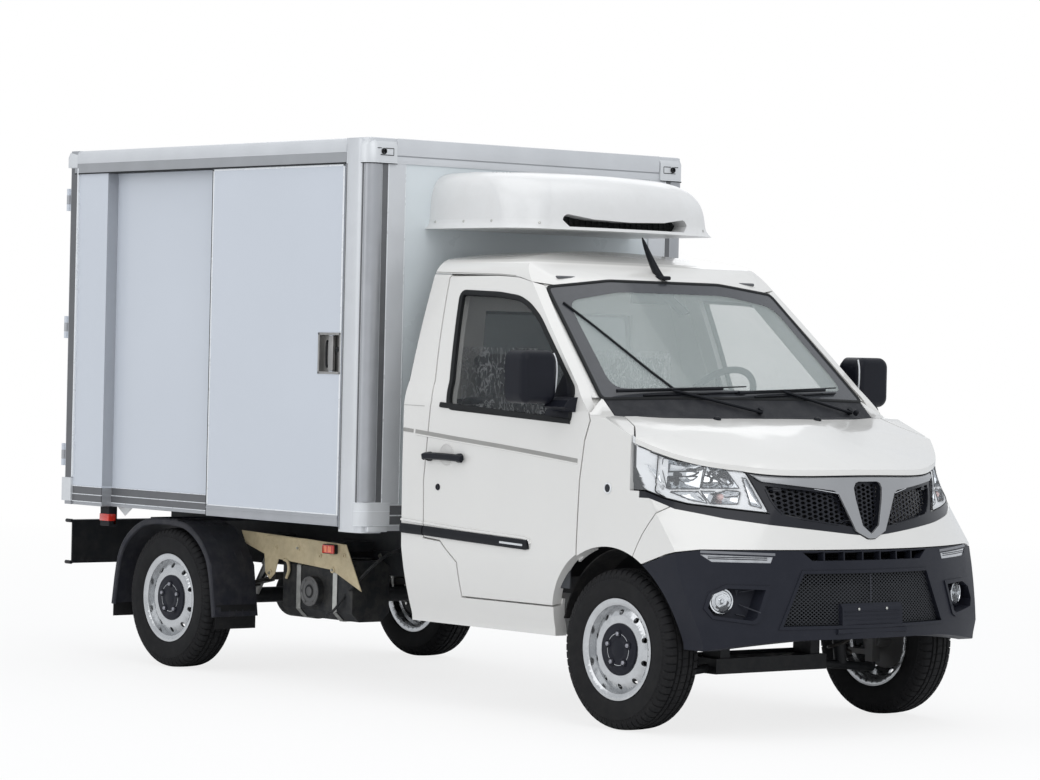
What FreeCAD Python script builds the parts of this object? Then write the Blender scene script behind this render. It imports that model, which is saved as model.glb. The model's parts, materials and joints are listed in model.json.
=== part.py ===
import FreeCAD, Part
import math
import os

import Sketcher
from FreeCAD import Placement, Rotation, Vector

# A small refrigerated truck: a bonneted cab on a ladder frame, with an insulated box behind it and a
# cooling unit on the box's front wall.  Millimetres; +X ahead, +Y to the vehicle's left, +Z up.  The
# origin is on the ground, under the middle of the overall length and width.

doc = FreeCAD.newDocument("refrigerated_truck")
sheet = doc.addObject("Spreadsheet::Sheet", "sizes")

SIZES = (
    ("overall_length", 4530, "bumper to underrun beam"),
    ("front_overhang", 610, "front axle to the bumper's nose"),
    ("wheelbase", 3000, "axle to axle"),
    ("wheel_track", 1380, "between tyre centres"),
    ("tyre_radius", 309, "rolling radius"),
    ("tyre_width", 170, "across the sidewalls"),
    ("rim_lip", 195, "radius of the rim's flange"),
    ("rim_width", 152, "across the rim's flanges"),
    ("hub_face", 28, "tyre centre plane out to the wheel's mounting face"),
    ("kingpin_inset", 70, "tyre centre in to the steering axis"),
    ("cab_width", 1600, "across the doors at the waist"),
    ("cab_rear", 1300, "front axle back to the cab's rear face"),
    ("cab_height", 1856, "roof crown above the ground"),
    ("cab_wall", 45, "a door or pillar from skin to trim"),
    ("skin", 20, "bonnet, wing and bumper panels"),
    ("shut_gap", 7, "between a cab door and its frame"),
    ("panel_gap", 4, "between two fixed cab panels"),
    ("lid_gap", 6, "around the bonnet"),
    ("seal_depth", 12, "door frame flange behind the closed door"),
    ("seat_clearance", 0.3, "between a piece and what it rests on"),
    ("sill_bottom", 330, "underside of the door sill"),
    ("waist_height", 1207, "where the cab sides start to lean in"),
    ("glass", 5, "thickness of the windows"),
    ("arch_radius", 370, "front wheel arch in the wing"),
    ("bumper_top", 708, "joint between white nose panel and bumper"),
    ("nose_top", 1008, "front edge of the bonnet"),
    ("box_width", 1748, "across the box's corner posts"),
    ("box_front", 1475, "front axle back to the box's front face"),
    ("box_rear", 3700, "front axle back to the box's rear face"),
    ("box_height", 2300, "top of the box above the ground"),
    ("box_bottom", 695, "underside of the box's lower rails"),
    ("box_panel", 50, "insulated wall thickness"),
    ("floor_top", 785, "load floor above the ground"),
    ("roof_panel", 60, "insulated roof thickness"),
    ("post_length", 150, "front corner post along the truck"),
    ("post_depth", 107, "front corner post across the truck"),
    ("post_flange", 92, "front post's flat flange on the front wall"),
    ("rail_height", 105, "top rail"),
    ("frame_depth", 60, "rear door frame along the truck"),
    ("frame_post", 75, "rear door frame's posts and header"),
    ("door_clearance", 6, "box doors to what they pass"),
    ("side_door_length", 943, "sliding side door along the truck"),
    ("side_door_front", 1640, "front axle back to the side door's front edge"),
    ("side_door_travel", 808, "how far the side door slides back"),
    ("rail_spacing", 640, "between the ladder frame's rails, outside"),
    ("rail_width", 50, "ladder rail"),
    ("rail_depth", 100, "ladder rail, upright"),
    ("rail_top", 560, "ladder rail's top above the ground"),
    ("beam_bottom", 410, "underrun beam's lower flange"),
    ("beam_height", 200, "underrun beam, upright"),
    ("beam_width", 1420, "underrun beam across the truck"),
    ("unit_width", 1090, "cooling unit across the truck"),
    ("unit_length", 650, "cooling unit ahead of the box"),
    ("unit_bottom", 1935, "cooling unit's underside above the ground"),
    ("unit_height", 240, "cooling unit, upright"),
)


class Size:
    """A length that carries both its number and the sheet formula it comes from."""

    def __init__(self, value, text):
        self.value, self.text = float(value), text

    def __float__(self):
        return self.value

    def __add__(self, other):
        return combined(self, "+", other)

    def __radd__(self, other):
        return combined(other, "+", self)

    def __sub__(self, other):
        return combined(self, "-", other)

    def __rsub__(self, other):
        return combined(other, "-", self)

    def __mul__(self, other):
        return combined(self, "*", other)

    def __rmul__(self, other):
        return combined(other, "*", self)

    def __truediv__(self, other):
        return combined(self, "/", other)

    def __neg__(self):
        return combined(0, "-", self)


def sized(number):
    return number if isinstance(number, Size) else Size(number, f"({number})")


def combined(left, sign, right):
    left, right = sized(left), sized(right)
    if sign == "+":
        value = left.value + right.value
    elif sign == "-":
        value = left.value - right.value
    elif sign == "*":
        value = left.value * right.value
    else:
        value = left.value / right.value
    return Size(value, f"({left.text} {sign} {right.text})")


class Sizes:
    """Gives each sheet cell by its alias."""


s = Sizes()
for row, (alias, number, meaning) in enumerate(SIZES, 1):
    sheet.set(f"A{row}", meaning)
    sheet.set(f"B{row}", str(number))
    sheet.setAlias(f"B{row}", alias)
    setattr(s, alias, Size(number, f"sizes.{alias}"))
doc.recompute()

# ---------------------------------------------------------------- stations worked out from the sizes

axle = s.overall_length / 2 - s.front_overhang
rear_axle_x = axle - s.wheelbase
half = s.cab_width / 2
cab_back = axle - s.cab_rear
tyre_y = s.wheel_track / 2
kingpin_y = tyre_y - s.kingpin_inset
box_half = s.box_width / 2
box_front_x = axle - s.box_front
box_rear_x = axle - s.box_rear
post_back = box_front_x - s.post_length
frame_front = box_rear_x + s.frame_depth
wide = 3000
EAST, NORTH, UP = Vector(1, 0, 0), Vector(0, 1, 0), Vector(0, 0, 1)
nodes = {}

# ---------------------------------------------------------------- ways of making pieces


def node(label, item):
    """Names a finished sub-part; its file takes the same name."""
    item.Label = label
    nodes[label] = item
    return item


def tie(item, **places):
    """Ties properties to the sheet: tie(box, Length=a, Placement__Base__x=b)."""
    for path, size in places.items():
        item.setExpression(path.replace("__", "."), sized(size).text)
    return item


def block(name, x, y, z):
    """A box between (low, high) pairs along X, Y and Z."""
    item = doc.addObject("Part::Box", name)
    return tie(item, Placement__Base__x=x[0], Placement__Base__y=y[0], Placement__Base__z=z[0],
               Length=sized(x[1]) - x[0], Width=sized(y[1]) - y[0], Height=sized(z[1]) - z[0])


def rod(name, centre, along, radius, length):
    """A cylinder centred on a point, along the X, Y or Z axis."""
    item = doc.addObject("Part::Cylinder", name)
    item.Placement = Placement(Vector(), Rotation(UP, along))
    start = [sized(place) - length / 2 * part if part else sized(place)
             for place, part in zip(centre, along)]
    return tie(item, Radius=radius, Height=length, Placement__Base__x=start[0],
               Placement__Base__y=start[1], Placement__Base__z=start[2])


def outline_sketch(body, name, plane, points, low, high):
    """A closed outline of straight lines on a plane of the body, each corner tied to the sheet."""
    sketch = body.newObject("Sketcher::SketchObject", name + "_outline")
    origin_plane = [face for face in body.Origin.OriginFeatures if face.Role == plane + "_Plane"][0]
    sketch.AttachmentSupport = [(origin_plane, "")]
    sketch.MapMode = "FlatFace"
    corners = [Vector(float(u), float(v), 0) for u, v in points]
    count = len(corners)
    for i in range(count):
        sketch.addGeometry(Part.LineSegment(corners[i], corners[(i + 1) % count]))
    for i in range(count):
        sketch.addConstraint(Sketcher.Constraint("Coincident", i, 2, (i + 1) % count, 1))
    for i, pair in enumerate(points):
        for kind, place in zip(("DistanceX", "DistanceY"), pair):
            number = sketch.addConstraint(Sketcher.Constraint(kind, i, 1, float(place)))
            if isinstance(place, Size):
                sketch.setExpression(f"Constraints[{number}]", place.text)
    start = -sized(high) if plane == "XZ" else sized(low)
    tie(sketch, AttachmentOffset__Base__z=start)
    return sketch


def prism(name, plane, points, low, high):
    """An outline on the XY, XZ or YZ plane, carried from low to high across that plane."""
    body = doc.addObject("PartDesign::Body", name)
    sketch = outline_sketch(body, name, plane, points, low, high)
    pad = body.newObject("PartDesign::Pad", name + "_pad")
    pad.Profile = sketch
    tie(pad, Length=sized(high) - low)
    return body


def turned(name, points, centre, sideways=1):
    """An outline of (radius, offset outward) pairs turned about the wheel axis through a centre."""
    body = doc.addObject("PartDesign::Body", name)
    outline = [(radius, sideways * sized(offset)) for radius, offset in points]
    sketch = outline_sketch(body, name, "XY", outline, 0, 0)
    turn = body.newObject("PartDesign::Revolution", name + "_turn")
    turn.Profile = sketch
    turn.ReferenceAxis = (sketch, ["V_Axis"])
    turn.Angle = 360
    return tie(body, Placement__Base__x=centre[0], Placement__Base__y=centre[1], Placement__Base__z=centre[2])


def fused(name, *items):
    item = doc.addObject("Part::MultiFuse", name)
    item.Shapes = list(items)
    return item


def together(name, *items):
    """Separate solids kept in one sub-part."""
    item = doc.addObject("Part::Compound", name)
    item.Links = list(items)
    return item


def cut(name, base, *tools):
    """A piece less each of the tools in turn."""
    for count, tool in enumerate(tools, 1):
        item = doc.addObject("Part::Cut", f"{name}_{count}")
        item.Base, item.Tool = base, tool
        base = item
    return base


def common(name, first, second):
    item = doc.addObject("Part::Common", name)
    item.Base, item.Tool = first, second
    return item


def feature(name, shape):
    item = doc.addObject("Part::Feature", name)
    item.Shape = shape
    return item


def mirrored(name, item):
    """The same piece on the vehicle's other side."""
    other = doc.addObject("Part::Mirroring", name)
    other.Source = item
    other.Normal = NORTH
    return other


def pair(name, item):
    return together(name, item, mirrored(name + "_other", item))


# ---------------------------------------------------------------- the cab's outer form

# Cross-section of the cab, from the sill to the roof's edge, as arcs through three points: inset from
# the half-width, height, and how far an inner surface drops there for each millimetre of wall.
SIDE_ARCS = (
    ((67, 361, 0), (39, 452, 0), (3, 636, 0)),
    ((3, 636, 0), (0, 900, 0), (2, 1207, 0)),
    ((2, 1207, 0), (12, 1262, 0), (30, 1309, 0)),
    ((30, 1309, 0), (81, 1514, 0), (145, 1730, 0.3)),
    ((145, 1730, 0.3), (173, 1778, 0.6), (220, 1808, 1)),
)
# Nose in plan: height, reach ahead of the front axle, and the front curve's radius beyond the half-width.
NOSE = ((300, 602, 950), (410, 610, 960), (710, 593, 630), (1010, 551, 158), (1320, 551, 158))
NOSE_CORNER = 60
# Bonnet: distance ahead of the axle, height at the middle, drop at the cab's sides.
BONNET = ((-300, 1212, 12), (-60, 1205, 15), (120, 1166, 55), (400, 1078, 150), (640, 975, 270))
# Windscreen: reach at ground level, lean back per unit of height, radius in plan.
SCREEN_REACH, SCREEN_LEAN, SCREEN_RADIUS = 1284.6, 1.096, 2885
# Roof line: distance ahead of the axle and height below the crown.
ROOF_LINE = ((-1300, 0), (-900, 16), (-617, 121), (-560, 170))


def arc(first, middle, last):
    return Part.Arc(first, middle, last).toShape()


def side_form(inset):
    """The cab's cross-section carried along its whole length."""
    width, back = float(half), float(cab_back)
    rise = float(s.cab_height)

    def at(point, side):
        across, height, drop = point
        return Vector(0, side * (width - across - inset), height - drop * inset)

    left = [arc(*(at(point, 1) for point in row)) for row in SIDE_ARCS]
    right = [arc(*(at(point, -1) for point in reversed(row))) for row in reversed(SIDE_ARCS)]
    top = arc(at(SIDE_ARCS[-1][2], 1), Vector(0, 0, rise - inset), at(SIDE_ARCS[-1][2], -1))
    foot = (75, 290, 0)
    feet = [at(SIDE_ARCS[0][0], -1), at(foot, -1), at(foot, 1), at(SIDE_ARCS[0][0], 1)]
    base = [Part.makeLine(feet[i], feet[i + 1]) for i in range(3)]
    face = Part.Face(Part.Wire(left + [top] + right + base))
    solid = face.extrude(Vector(float(s.cab_rear) + 700, 0, 0))
    solid.translate(Vector(back, 0, 0))
    return solid


def nose_wire(height, reach, excess, inset, rear):
    """Plan of the nose: a wide front curve rounded into the flat sides."""
    width = float(half) + 20 - inset
    nose = float(axle) + reach - inset
    radius = float(half) + excess - inset
    corner = NOSE_CORNER
    middle = nose - radius
    centre_y = width - corner
    centre_x = middle + math.sqrt((radius - corner) ** 2 - centre_y ** 2)
    lean = math.atan2(centre_y, centre_x - middle)
    touch = Vector(middle + radius * math.cos(lean), radius * math.sin(lean), height)
    turn = (lean + math.pi / 2) / 2
    bend = Vector(centre_x + corner * math.cos(turn), centre_y + corner * math.sin(turn), height)
    side = Vector(centre_x, width, height)
    back = Vector(rear, width, height)

    def other(point):
        return Vector(point.x, -point.y, point.z)

    edges = [Part.makeLine(other(back), other(side)), arc(other(side), other(bend), other(touch)),
             arc(other(touch), Vector(nose, 0, height), touch), arc(touch, bend, side),
             Part.makeLine(side, back), Part.makeLine(back, other(back))]
    return Part.Wire(edges)


def nose_form(inset):
    wires = [nose_wire(height, reach, excess, inset, float(cab_back) - 100) for height, reach, excess in NOSE]
    return Part.makeLoft(wires, True, True)


def above_bonnet(lowered):
    """Everything above the bonnet's surface, or above the same surface lowered."""
    wires = []
    for ahead, middle, drop in BONNET:
        x, wide_side = float(axle) + ahead, float(half) + 60
        low = [Vector(x, -wide_side, middle - drop - lowered), Vector(x, 0, middle - lowered),
               Vector(x, wide_side, middle - drop - lowered)]
        high = [Vector(x, wide_side, 1600), Vector(x, -wide_side, 1600)]
        wires.append(Part.Wire([arc(*low), Part.makeLine(low[2], high[0]),
                                Part.makeLine(high[0], high[1]), Part.makeLine(high[1], low[0])]))
    return Part.makeLoft(wires, True, True)


def behind_screen(inset):
    """Everything behind and below the windscreen's curved surface."""
    foot, tall = 1100, 900
    shift = inset * math.hypot(1, SCREEN_LEAN)
    nose = float(axle) + SCREEN_REACH - SCREEN_LEAN * foot - shift
    side = float(half) + 100
    back = nose - SCREEN_RADIUS + math.sqrt(SCREEN_RADIUS ** 2 - side ** 2)
    corners = [Vector(nose - 2600, side, foot), Vector(nose - 2600, -side, foot)]
    edges = [arc(Vector(back, -side, foot), Vector(nose, 0, foot), Vector(back, side, foot)),
             Part.makeLine(Vector(back, side, foot), corners[0]), Part.makeLine(*corners),
             Part.makeLine(corners[1], Vector(back, -side, foot))]
    return Part.Face(Part.Wire(edges)).extrude(Vector(-SCREEN_LEAN * tall, 0, tall))


def under_roof(inset):
    """Everything under the roof line, which drops towards the windscreen."""
    points = [Vector(float(axle) + ahead, -wide / 2, float(s.cab_height) - drop - inset)
              for ahead, drop in ROOF_LINE]
    start, middle, end, lip = points
    start = start - Vector(200, 0, 0)
    low = [Vector(lip.x + 700, lip.y, 900), Vector(start.x, start.y, 900)]
    edges = [Part.makeLine(start, points[0]), arc(points[0], middle, end), Part.makeLine(end, lip),
             Part.makeLine(lip, lip + Vector(700, 0, -500)),
             Part.makeLine(lip + Vector(700, 0, -500), low[0]), Part.makeLine(*low), Part.makeLine(low[1], start)]
    return Part.Face(Part.Wire(edges)).extrude(Vector(0, wide, 0))


def cab_form(inset):
    """The cab's whole outer form, or the same form drawn in by a wall's thickness."""
    sides = side_form(inset)
    lower = sides.common(nose_form(inset)).cut(above_bonnet(inset * 1.05))
    upper = sides.common(behind_screen(inset)).common(under_roof(inset))
    return lower.fuse(upper).removeSplitter()


wall = float(s.cab_wall)
flange = wall + float(s.seal_depth)
outer_form = feature("outer_form", cab_form(0))
skin_form = feature("skin_form", cab_form(float(s.skin)))
door_form = feature("door_form", cab_form(wall))
seal_form = feature("seal_form", cab_form(wall + float(s.seat_clearance)))
inner_form = feature("inner_form", cab_form(flange))


def x_at(ahead):
    """A station measured ahead of the front axle."""
    return axle + ahead


def outline(points):
    """(ahead, up) pairs beside the front axle as an outline tied to the axle's place."""
    return [(x_at(ahead), up) for ahead, up in points]


def grown(points, step):
    """A closed outline moved outward by one step along all its edges."""
    area = sum(a[0] * b[1] - b[0] * a[1] for a, b in zip(points, points[1:] + points[:1]))
    step = step if area > 0 else -step
    moved = []
    for i, point in enumerate(points):
        before, after = points[i - 1], points[(i + 1) % len(points)]
        first = math.atan2(point[1] - before[1], point[0] - before[0])
        second = math.atan2(after[1] - point[1], after[0] - point[0])
        middle = (first + second) / 2 + (math.pi if abs(first - second) > math.pi else 0)
        reach = step / math.cos(middle - first)
        moved.append((point[0] + reach * math.sin(middle), point[1] - reach * math.cos(middle)))
    return moved


def side_block(points, taper, step):
    """A side-view outline on the right-hand side, carried inward from the skin and narrowing."""
    wires = []
    for inward in (-60, 320):
        ring = grown(points, step - taper * inward)
        y = inward - float(half)
        ring = [Vector(float(axle) + ahead, y, up) for ahead, up in ring]
        wires.append(Part.makePolygon(ring + ring[:1]))
    return Part.makeLoft(wires, True, True)


def panel(name, layer, region, *holes):
    """A panel: one layer of the cab's wall, inside a region, less what passes through it."""
    item = common(name, layer, region)
    return cut(name + "_cut", item, *holes) if holes else item


# Layers of the cab's wall.
skin = cut("skin_layer", outer_form, skin_form)
door_layer = cut("door_layer", outer_form, door_form)
frame_layer = cut("frame_layer", outer_form, inner_form)
rebate_layer = cut("rebate_layer", outer_form, seal_form)
glass_front = feature("glass_front", cab_form(15))
glass_layer = cut("glass_layer", glass_front, feature("glass_back", cab_form(15 + float(s.glass))))
screen_layer = cut("screen_layer", outer_form, feature("screen_back", cab_form(float(s.glass) + 1)))
lining_form = feature("lining_form", cab_form(flange + float(s.seat_clearance)))

# Outlines beside the front axle, as (ahead, up).
DOOR = [(-1222, 1735), (-1200, 1762), (-885, 1764), (-757, 1757), (-668, 1738), (-600, 1722), (-400, 1640),
        (-150, 1340), (-206, 1290), (-160, 1215), (-148, 1179), (-177, 1101), (-201, 947), (-214, 700),
        (-214, 600), (-330, 444), (-950, 444), (-948, 587), (-1048, 670), (-1152, 678), (-1156, 907),
        (-1122, 1232), (-1167, 1454)]
WINDOW = [(-1096, 1671), (-852, 1663), (-721, 1648), (-649, 1620), (-569, 1569), (-392, 1406),
          (-262, 1284), (-262, 1170.5), (-1014, 1206)]
ROOF_EDGE = [(-1310, 1748), (-885, 1741), (-757, 1733), (-668, 1713), (-600, 1690), (-520, 1690)]
WING_REAR = [(-201, 1284), (-153, 1213), (-141, 1177), (-170, 1099), (-194, 946), (-207, 700), (-207, 600)]
# Side-view zone of the roof pillar, inboard of the closed door.
PILLAR = [(-290, 1185), (-290, 1250), (-752, 1700), (-900, 1722), (-900, 1736), (-757, 1729), (-668, 1709),
          (-600, 1686), (-520, 1686), (-100, 1300), (-100, 1185)]
DOOR_TAPER = 0.18
edge = float(half)
screen_foot, screen_head = edge - 93, edge - 188
# Front-view outline of the windscreen, as (to the side, up).
SCREEN = [(-screen_foot, 1260), (-350, 1268), (350, 1268), (screen_foot, 1260), (screen_head, 1694), (300, 1727),
          (-300, 1727), (-screen_head, 1694)]
LAMP = [(-442, 848), (-518, 1040), (-edge, 1170), (-edge - 80, 1170), (-edge - 80, 979), (-edge - 15, 935),
        (40 - edge, 898), (100 - edge, 878), (-560, 861)]
# Right half of the grille's outline, with the strip under the headlamp, then its two kinds of window.
GRILLE_HALF = [(0, 765), (-101, 773), (-442, 808), (-600, 830), (58 - edge, 862), (-edge, 900), (-edge - 15, 931),
               (39 - edge, 894), (99 - edge, 874), (-560, 857), (-436, 843), (-506, 1006)]
GRILLE = GRILLE_HALF + [(-across, up) for across, up in GRILLE_HALF[:0:-1]]
MESH_WINDOW = [(-84, 796), (-118, 917), (-440, 950), (-416, 880), (-375, 838)]
BAR_HALF = [(0, 1003), (-500, 1003), (-472, 976), (-455, 965), (-170, 934), (-150, 921), (-78, 780), (-20, 753),
            (0, 752)]
BAR = BAR_HALF + [(-across, up) for across, up in BAR_HALF[-2:0:-1]]
SHIELD_WINDOW = [(-50, 968), (-66, 962), (-76, 944), (-70, 900), (-44, 802), (0, 770), (44, 802), (70, 900), (76, 944),
                 (66, 962), (50, 968)]
# Plan of the bonnet, as (ahead, to the side).
BONNET_HALF = [(-8, 300), (-34, 520), (-72, edge - 110), (30, edge - 78), (118, edge - 3), (118, edge + 60),
               (660, edge + 60)]
BONNET_PLAN = [(0, 0)] + BONNET_HALF + [(ahead, -across) for ahead, across in reversed(BONNET_HALF)]


def front_prism(name, points, low, high):
    return prism(name, "YZ", points, low, high)


def plan_prism(name, points, low, high):
    return prism(name, "XY", [(x_at(ahead), across) for ahead, across in points], low, high)


def side_prism(name, points, low=-wide / 2, high=wide / 2):
    return prism(name, "XZ", outline(points), low, high)


gap = float(s.panel_gap)
lid_gap = float(s.lid_gap)
arch = rod("arch", (x_at(-30), 0, 330), NORTH, s.arch_radius, wide)
screen_hole = front_prism("screen_hole", SCREEN, x_at(-900), x_at(40))
bonnet_hole = plan_prism("bonnet_hole", grown(BONNET_PLAN, lid_gap), 950, 1500)
lamp_hole = pair("lamp_holes", front_prism("lamp_hole", grown(LAMP, gap), x_at(93), x_at(700)))
bonnet_layer = common("bonnet_layer", outer_form, feature("bonnet_top", above_bonnet(float(s.skin))))
bonnet_clear = common("bonnet_clear", bonnet_hole, feature("bonnet_under", above_bonnet(float(s.skin) + lid_gap)))
grille_hole = front_prism("grille_hole", grown(GRILLE, gap), x_at(150 - gap), x_at(700))

# ---------------------------------------------------------------- cab: fixed panels

door_opening = feature("door_opening", side_block(DOOR, DOOR_TAPER, float(s.shut_gap)))
door_throat = side_prism("door_throat", grown(DOOR, -34), -wide / 2, -400)
right_half = block("right_half", (x_at(-1400), x_at(900)), (-wide / 2, -400), (0, wide))
rebate = common("rebate", rebate_layer, door_opening)

side_region = side_prism("side_region", [
    (-1310, float(s.sill_bottom)), (-1310, 1744), (-885, 1737), (-757, 1729), (-668, 1709), (-620, 1690),
    (-700, 1600), (-700, 1200), (-145, 1185), (-170, 1099), (-194, 946), (-207, 700),
    (-207, float(s.sill_bottom))])
side_ring = cut("side_ring", common("side_wall", frame_layer, side_region), arch, screen_hole, door_throat, rebate)

# The roof pillar carries the windscreen's edge on its front face.
post_front = feature("post_front", cab_form(float(s.skin + s.seat_clearance)))
pillar_core = common("pillar_core", feature("pillar_front", cab_form(float(s.glass) + 1 + float(s.seat_clearance))),
                     feature("pillar_side", side_form(wall + lid_gap)))
pillar_bar = common("pillar_bar", common("pillar_length", pillar_core, side_prism("pillar_zone", PILLAR)),
                    block("pillar_width", (x_at(-1000), x_at(0)), (-half, 255 - half), (1100, 1800)))
SCREEN_LIP = [(-150, 1150), (150, 1150), (screen_foot - 52, 1262), (screen_head - 46, 1664), (280, 1690), (-280, 1690),
              (46 - screen_head, 1664), (52 - screen_foot, 1262)]
cowl_depth = common("cowl_depth", cut("skin_depth", outer_form, post_front),
                    block("cowl_level", (x_at(-400), x_at(100)), (-half, half), (1100, 1264.3)))
pillar = cut("pillar", pillar_bar, front_prism("screen_lip", SCREEN_LIP, x_at(-900), x_at(40)), cowl_depth)
post_region = side_prism("post_region", [(-212, 640), (-212, 700), (-199, 946), (-175, 1099), (-146, 1177),
                                         (-158, 1213), (-206, 1284), (-120, 1284), (-90, 1200), (-120, 1000),
                                         (-150, 640)])
post_layer = cut("post_layer", post_front, inner_form)
hinge_post = cut("hinge_post", common("hinge_post_wall", post_layer, post_region), arch)
right_side = common("right_side", fused("side_and_post", side_ring, hinge_post, pillar), right_half)
node("cab_sides", pair("cab_side_pair", right_side))

roof_region = side_prism("roof_region", ROOF_EDGE + [(-520, 1900), (-1310, 1900)])
node("cab_roof", panel("roof", frame_layer, roof_region, screen_hole))

rear_window = [(-430, 1270), (430, 1270), (405, 1600), (-405, 1600)]
rear_wall_depth = 35
rear_wall_block = block("rear_wall_block", (cab_back, cab_back + rear_wall_depth), (-wide / 2, wide / 2), (692, wide))
node("cab_rear_wall", panel("rear_wall", lining_form, rear_wall_block,
                            front_prism("rear_window_hole", rear_window, cab_back - 50, cab_back + 90)))
screen_pane = common("screen_pane", screen_layer, front_prism(
    "screen_outline", grown(SCREEN, -float(s.seat_clearance)), x_at(-900), x_at(40)))
rear_pane = front_prism("rear_pane", grown(rear_window, -float(s.seat_clearance)), cab_back + 12, cab_back + 17)
node("cab_glass", together("cab_panes", screen_pane, rear_pane))

cowl_half = screen_foot - 9
cowl_region = front_prism("cowl_region", [(-cowl_half, 1120), (cowl_half, 1120), (cowl_half, 1256), (350, 1264),
                                          (-350, 1264), (-cowl_half, 1256)], x_at(-260), x_at(40))
node("cowl_panel", panel("cowl", skin, cowl_region, bonnet_hole))

# Seam between the wing and the nose panel, from the wheel arch up to the headlamp's lower corner.
NOSE_SEAM = [(111, 655), (117, 672), (143, 717), (169, 756), (202, 795), (240, 835), (277, 868), (300, 905)]
wing_region = side_prism("wing_region", WING_REAR + [(104, 600)] + [(ahead - 3, up + 3) for ahead, up in NOSE_SEAM] + [
    (330, 1000), (330, 1250), (-30, 1250), (-100, 1300)])
wing_side = block("wing_side", (x_at(-400), x_at(900)), (-wide / 2, -620), (0, wide))
node("front_wings", pair("wing_pair", common("right_wing", panel(
    "wing", skin, wing_region, arch, bonnet_hole, lamp_hole, grille_hole, screen_hole,
    block("cowl_clear", (x_at(-260), x_at(0)), (-cowl_half - gap, cowl_half + gap), (1000, 1400))), wing_side)))

nose_region = side_prism("nose_region", NOSE_SEAM[::-1] + [
    (166, 646), (300, 690), (400, s.bumper_top + gap), (660, s.bumper_top + gap), (660, 1180), (300, 1180)])
node("front_panel", panel("nose_panel", skin, nose_region, arch, bonnet_clear, lamp_hole, grille_hole,
                          front_prism("bar_hole", grown(BAR, gap), x_at(200), x_at(700))))

bumper_region = side_prism("bumper_region", [(120, 300), (120, 600), (166, 640), (300, 685), (400, s.bumper_top),
                                             (660, s.bumper_top), (660, 372), (560, 372), (440, 334), (300, 334)])
INTAKE = [(-428, 425), (428, 425), (331, 622), (-331, 622)]
UPPER_SLOT = [(-333, 703), (-290, 670), (290, 670), (333, 703)]
FOG_POCKET = [(-728, 494), (-705, 552), (-640, 582), (-470, 577), (-520, 446), (-545, 434), (-700, 456)]
FOG_WINDOW = [(-712, 497), (-692, 545), (-636, 568), (-492, 563), (-534, 458), (-552, 448), (-695, 467)]
LIGHT_STRIP = [(-718, 694), (-452, 685), (-462, 662), (-680, 666)]
fog_y, fog_z, fog_radius = -634, 519, 46
nose_block = Part.makeBox(640, float(s.cab_width) + 100, 760, Vector(float(axle) + 80, -float(half) - 50, 280))


def nose_layer(name, front, back):
    """The nose's wall between two insets from its outer form."""
    return cut(name, feature(name + "_front", nose_form(front).common(nose_block)), feature(
        name + "_back", nose_form(back)))


bumper_back = feature("bumper_back", cab_form(35))
bumper_skin = cut("bumper_skin", outer_form, bumper_back)
bumper_lip = common("bumper_lip", nose_layer("lip_wall", float(s.skin + s.seat_clearance), 35),
                    block("lip_zone_box", (x_at(380), x_at(640)), (-560, 560), (s.bumper_top - 10, s.bumper_top + 25)))


def nose_part(name, layer, points, *holes):
    """One layer of the nose inside a front-view outline, less what passes through it."""
    item = common(name, layer, front_prism(name + "_zone", points, x_at(150), x_at(700)))
    return cut(name + "_open", item, *holes) if holes else item


# Fog lamp pockets: a raised rim round a wall that runs back to the lamp's plate.
pocket_walls = nose_layer("pocket_walls", -5, 57)
fog_bore = rod("fog_bore", (x_at(500), fog_y, fog_z), EAST, fog_radius + s.seat_clearance, 500)
fog_window = front_prism("fog_window", FOG_WINDOW, x_at(200), x_at(700))
pocket = fused("pocket", nose_part("pocket_ring", pocket_walls, FOG_POCKET, fog_window),
               nose_part("pocket_plate", nose_layer("pocket_skin", 52, 58), grown(FOG_WINDOW, 4), fog_bore))
step_plate = prism("step_plate", "XZ", [(x_at(530), 410), (x_at(590), 410), (x_at(607), 424), (x_at(604), 492),
                                        (x_at(592), 506), (x_at(530), 506)], -162, 162)
step_lip = prism("step_lip", "XZ", [(x_at(530), 386), (x_at(594), 386), (x_at(609.5), 396), (x_at(609.5), 411),
                                    (x_at(530), 411)], -186, 186)
rib_layer = nose_layer("rib_layer", 2, 34)
slot_ribs = [nose_part(f"slot_rib_{across}", rib_layer, [(across - 3, 660), (across + 3, 660), (across + 3, 707),
                                                          (across - 3, 707)])
             for across in (-235, -141, -47, 47, 141, 235)]
intake_rim = nose_part("intake_rim", nose_layer("rim_layer", -4, 30), grown(INTAKE, 12),
                       front_prism("intake_mouth", INTAKE, x_at(200), x_at(700)))
bumper_wall = cut("bumper_wall", common("bumper_shell", bumper_skin, bumper_region),
                  front_prism("intake", INTAKE, x_at(300), x_at(700)),
                  front_prism("upper_slot", UPPER_SLOT, x_at(300), x_at(700)),
                  pair("fog_openings", front_prism("fog_opening", grown(FOG_WINDOW, 2), x_at(200), x_at(700))),
                  pair("strip_pockets", nose_part("strip_pocket", nose_layer("strip_depth", -10, 14), LIGHT_STRIP)))
bumper_solid = fused("bumper_solid", bumper_wall, bumper_lip, pocket, mirrored("left_pocket", pocket), intake_rim,
                     step_plate, step_lip, *slot_ribs)
node("front_bumper", cut("bumper", bumper_solid, arch))
fog_lamp = common("fog_lamp", nose_layer("fog_layer", 38, 80),
                  rod("fog_body", (x_at(500), fog_y, fog_z), EAST, fog_radius, 500))
headlamp = panel("headlamp", cut("lamp_layer", outer_form, feature("lamp_back", cab_form(70))),
                 front_prism("lamp_outline", LAMP, x_at(93.3), x_at(700)), bonnet_clear)
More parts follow.
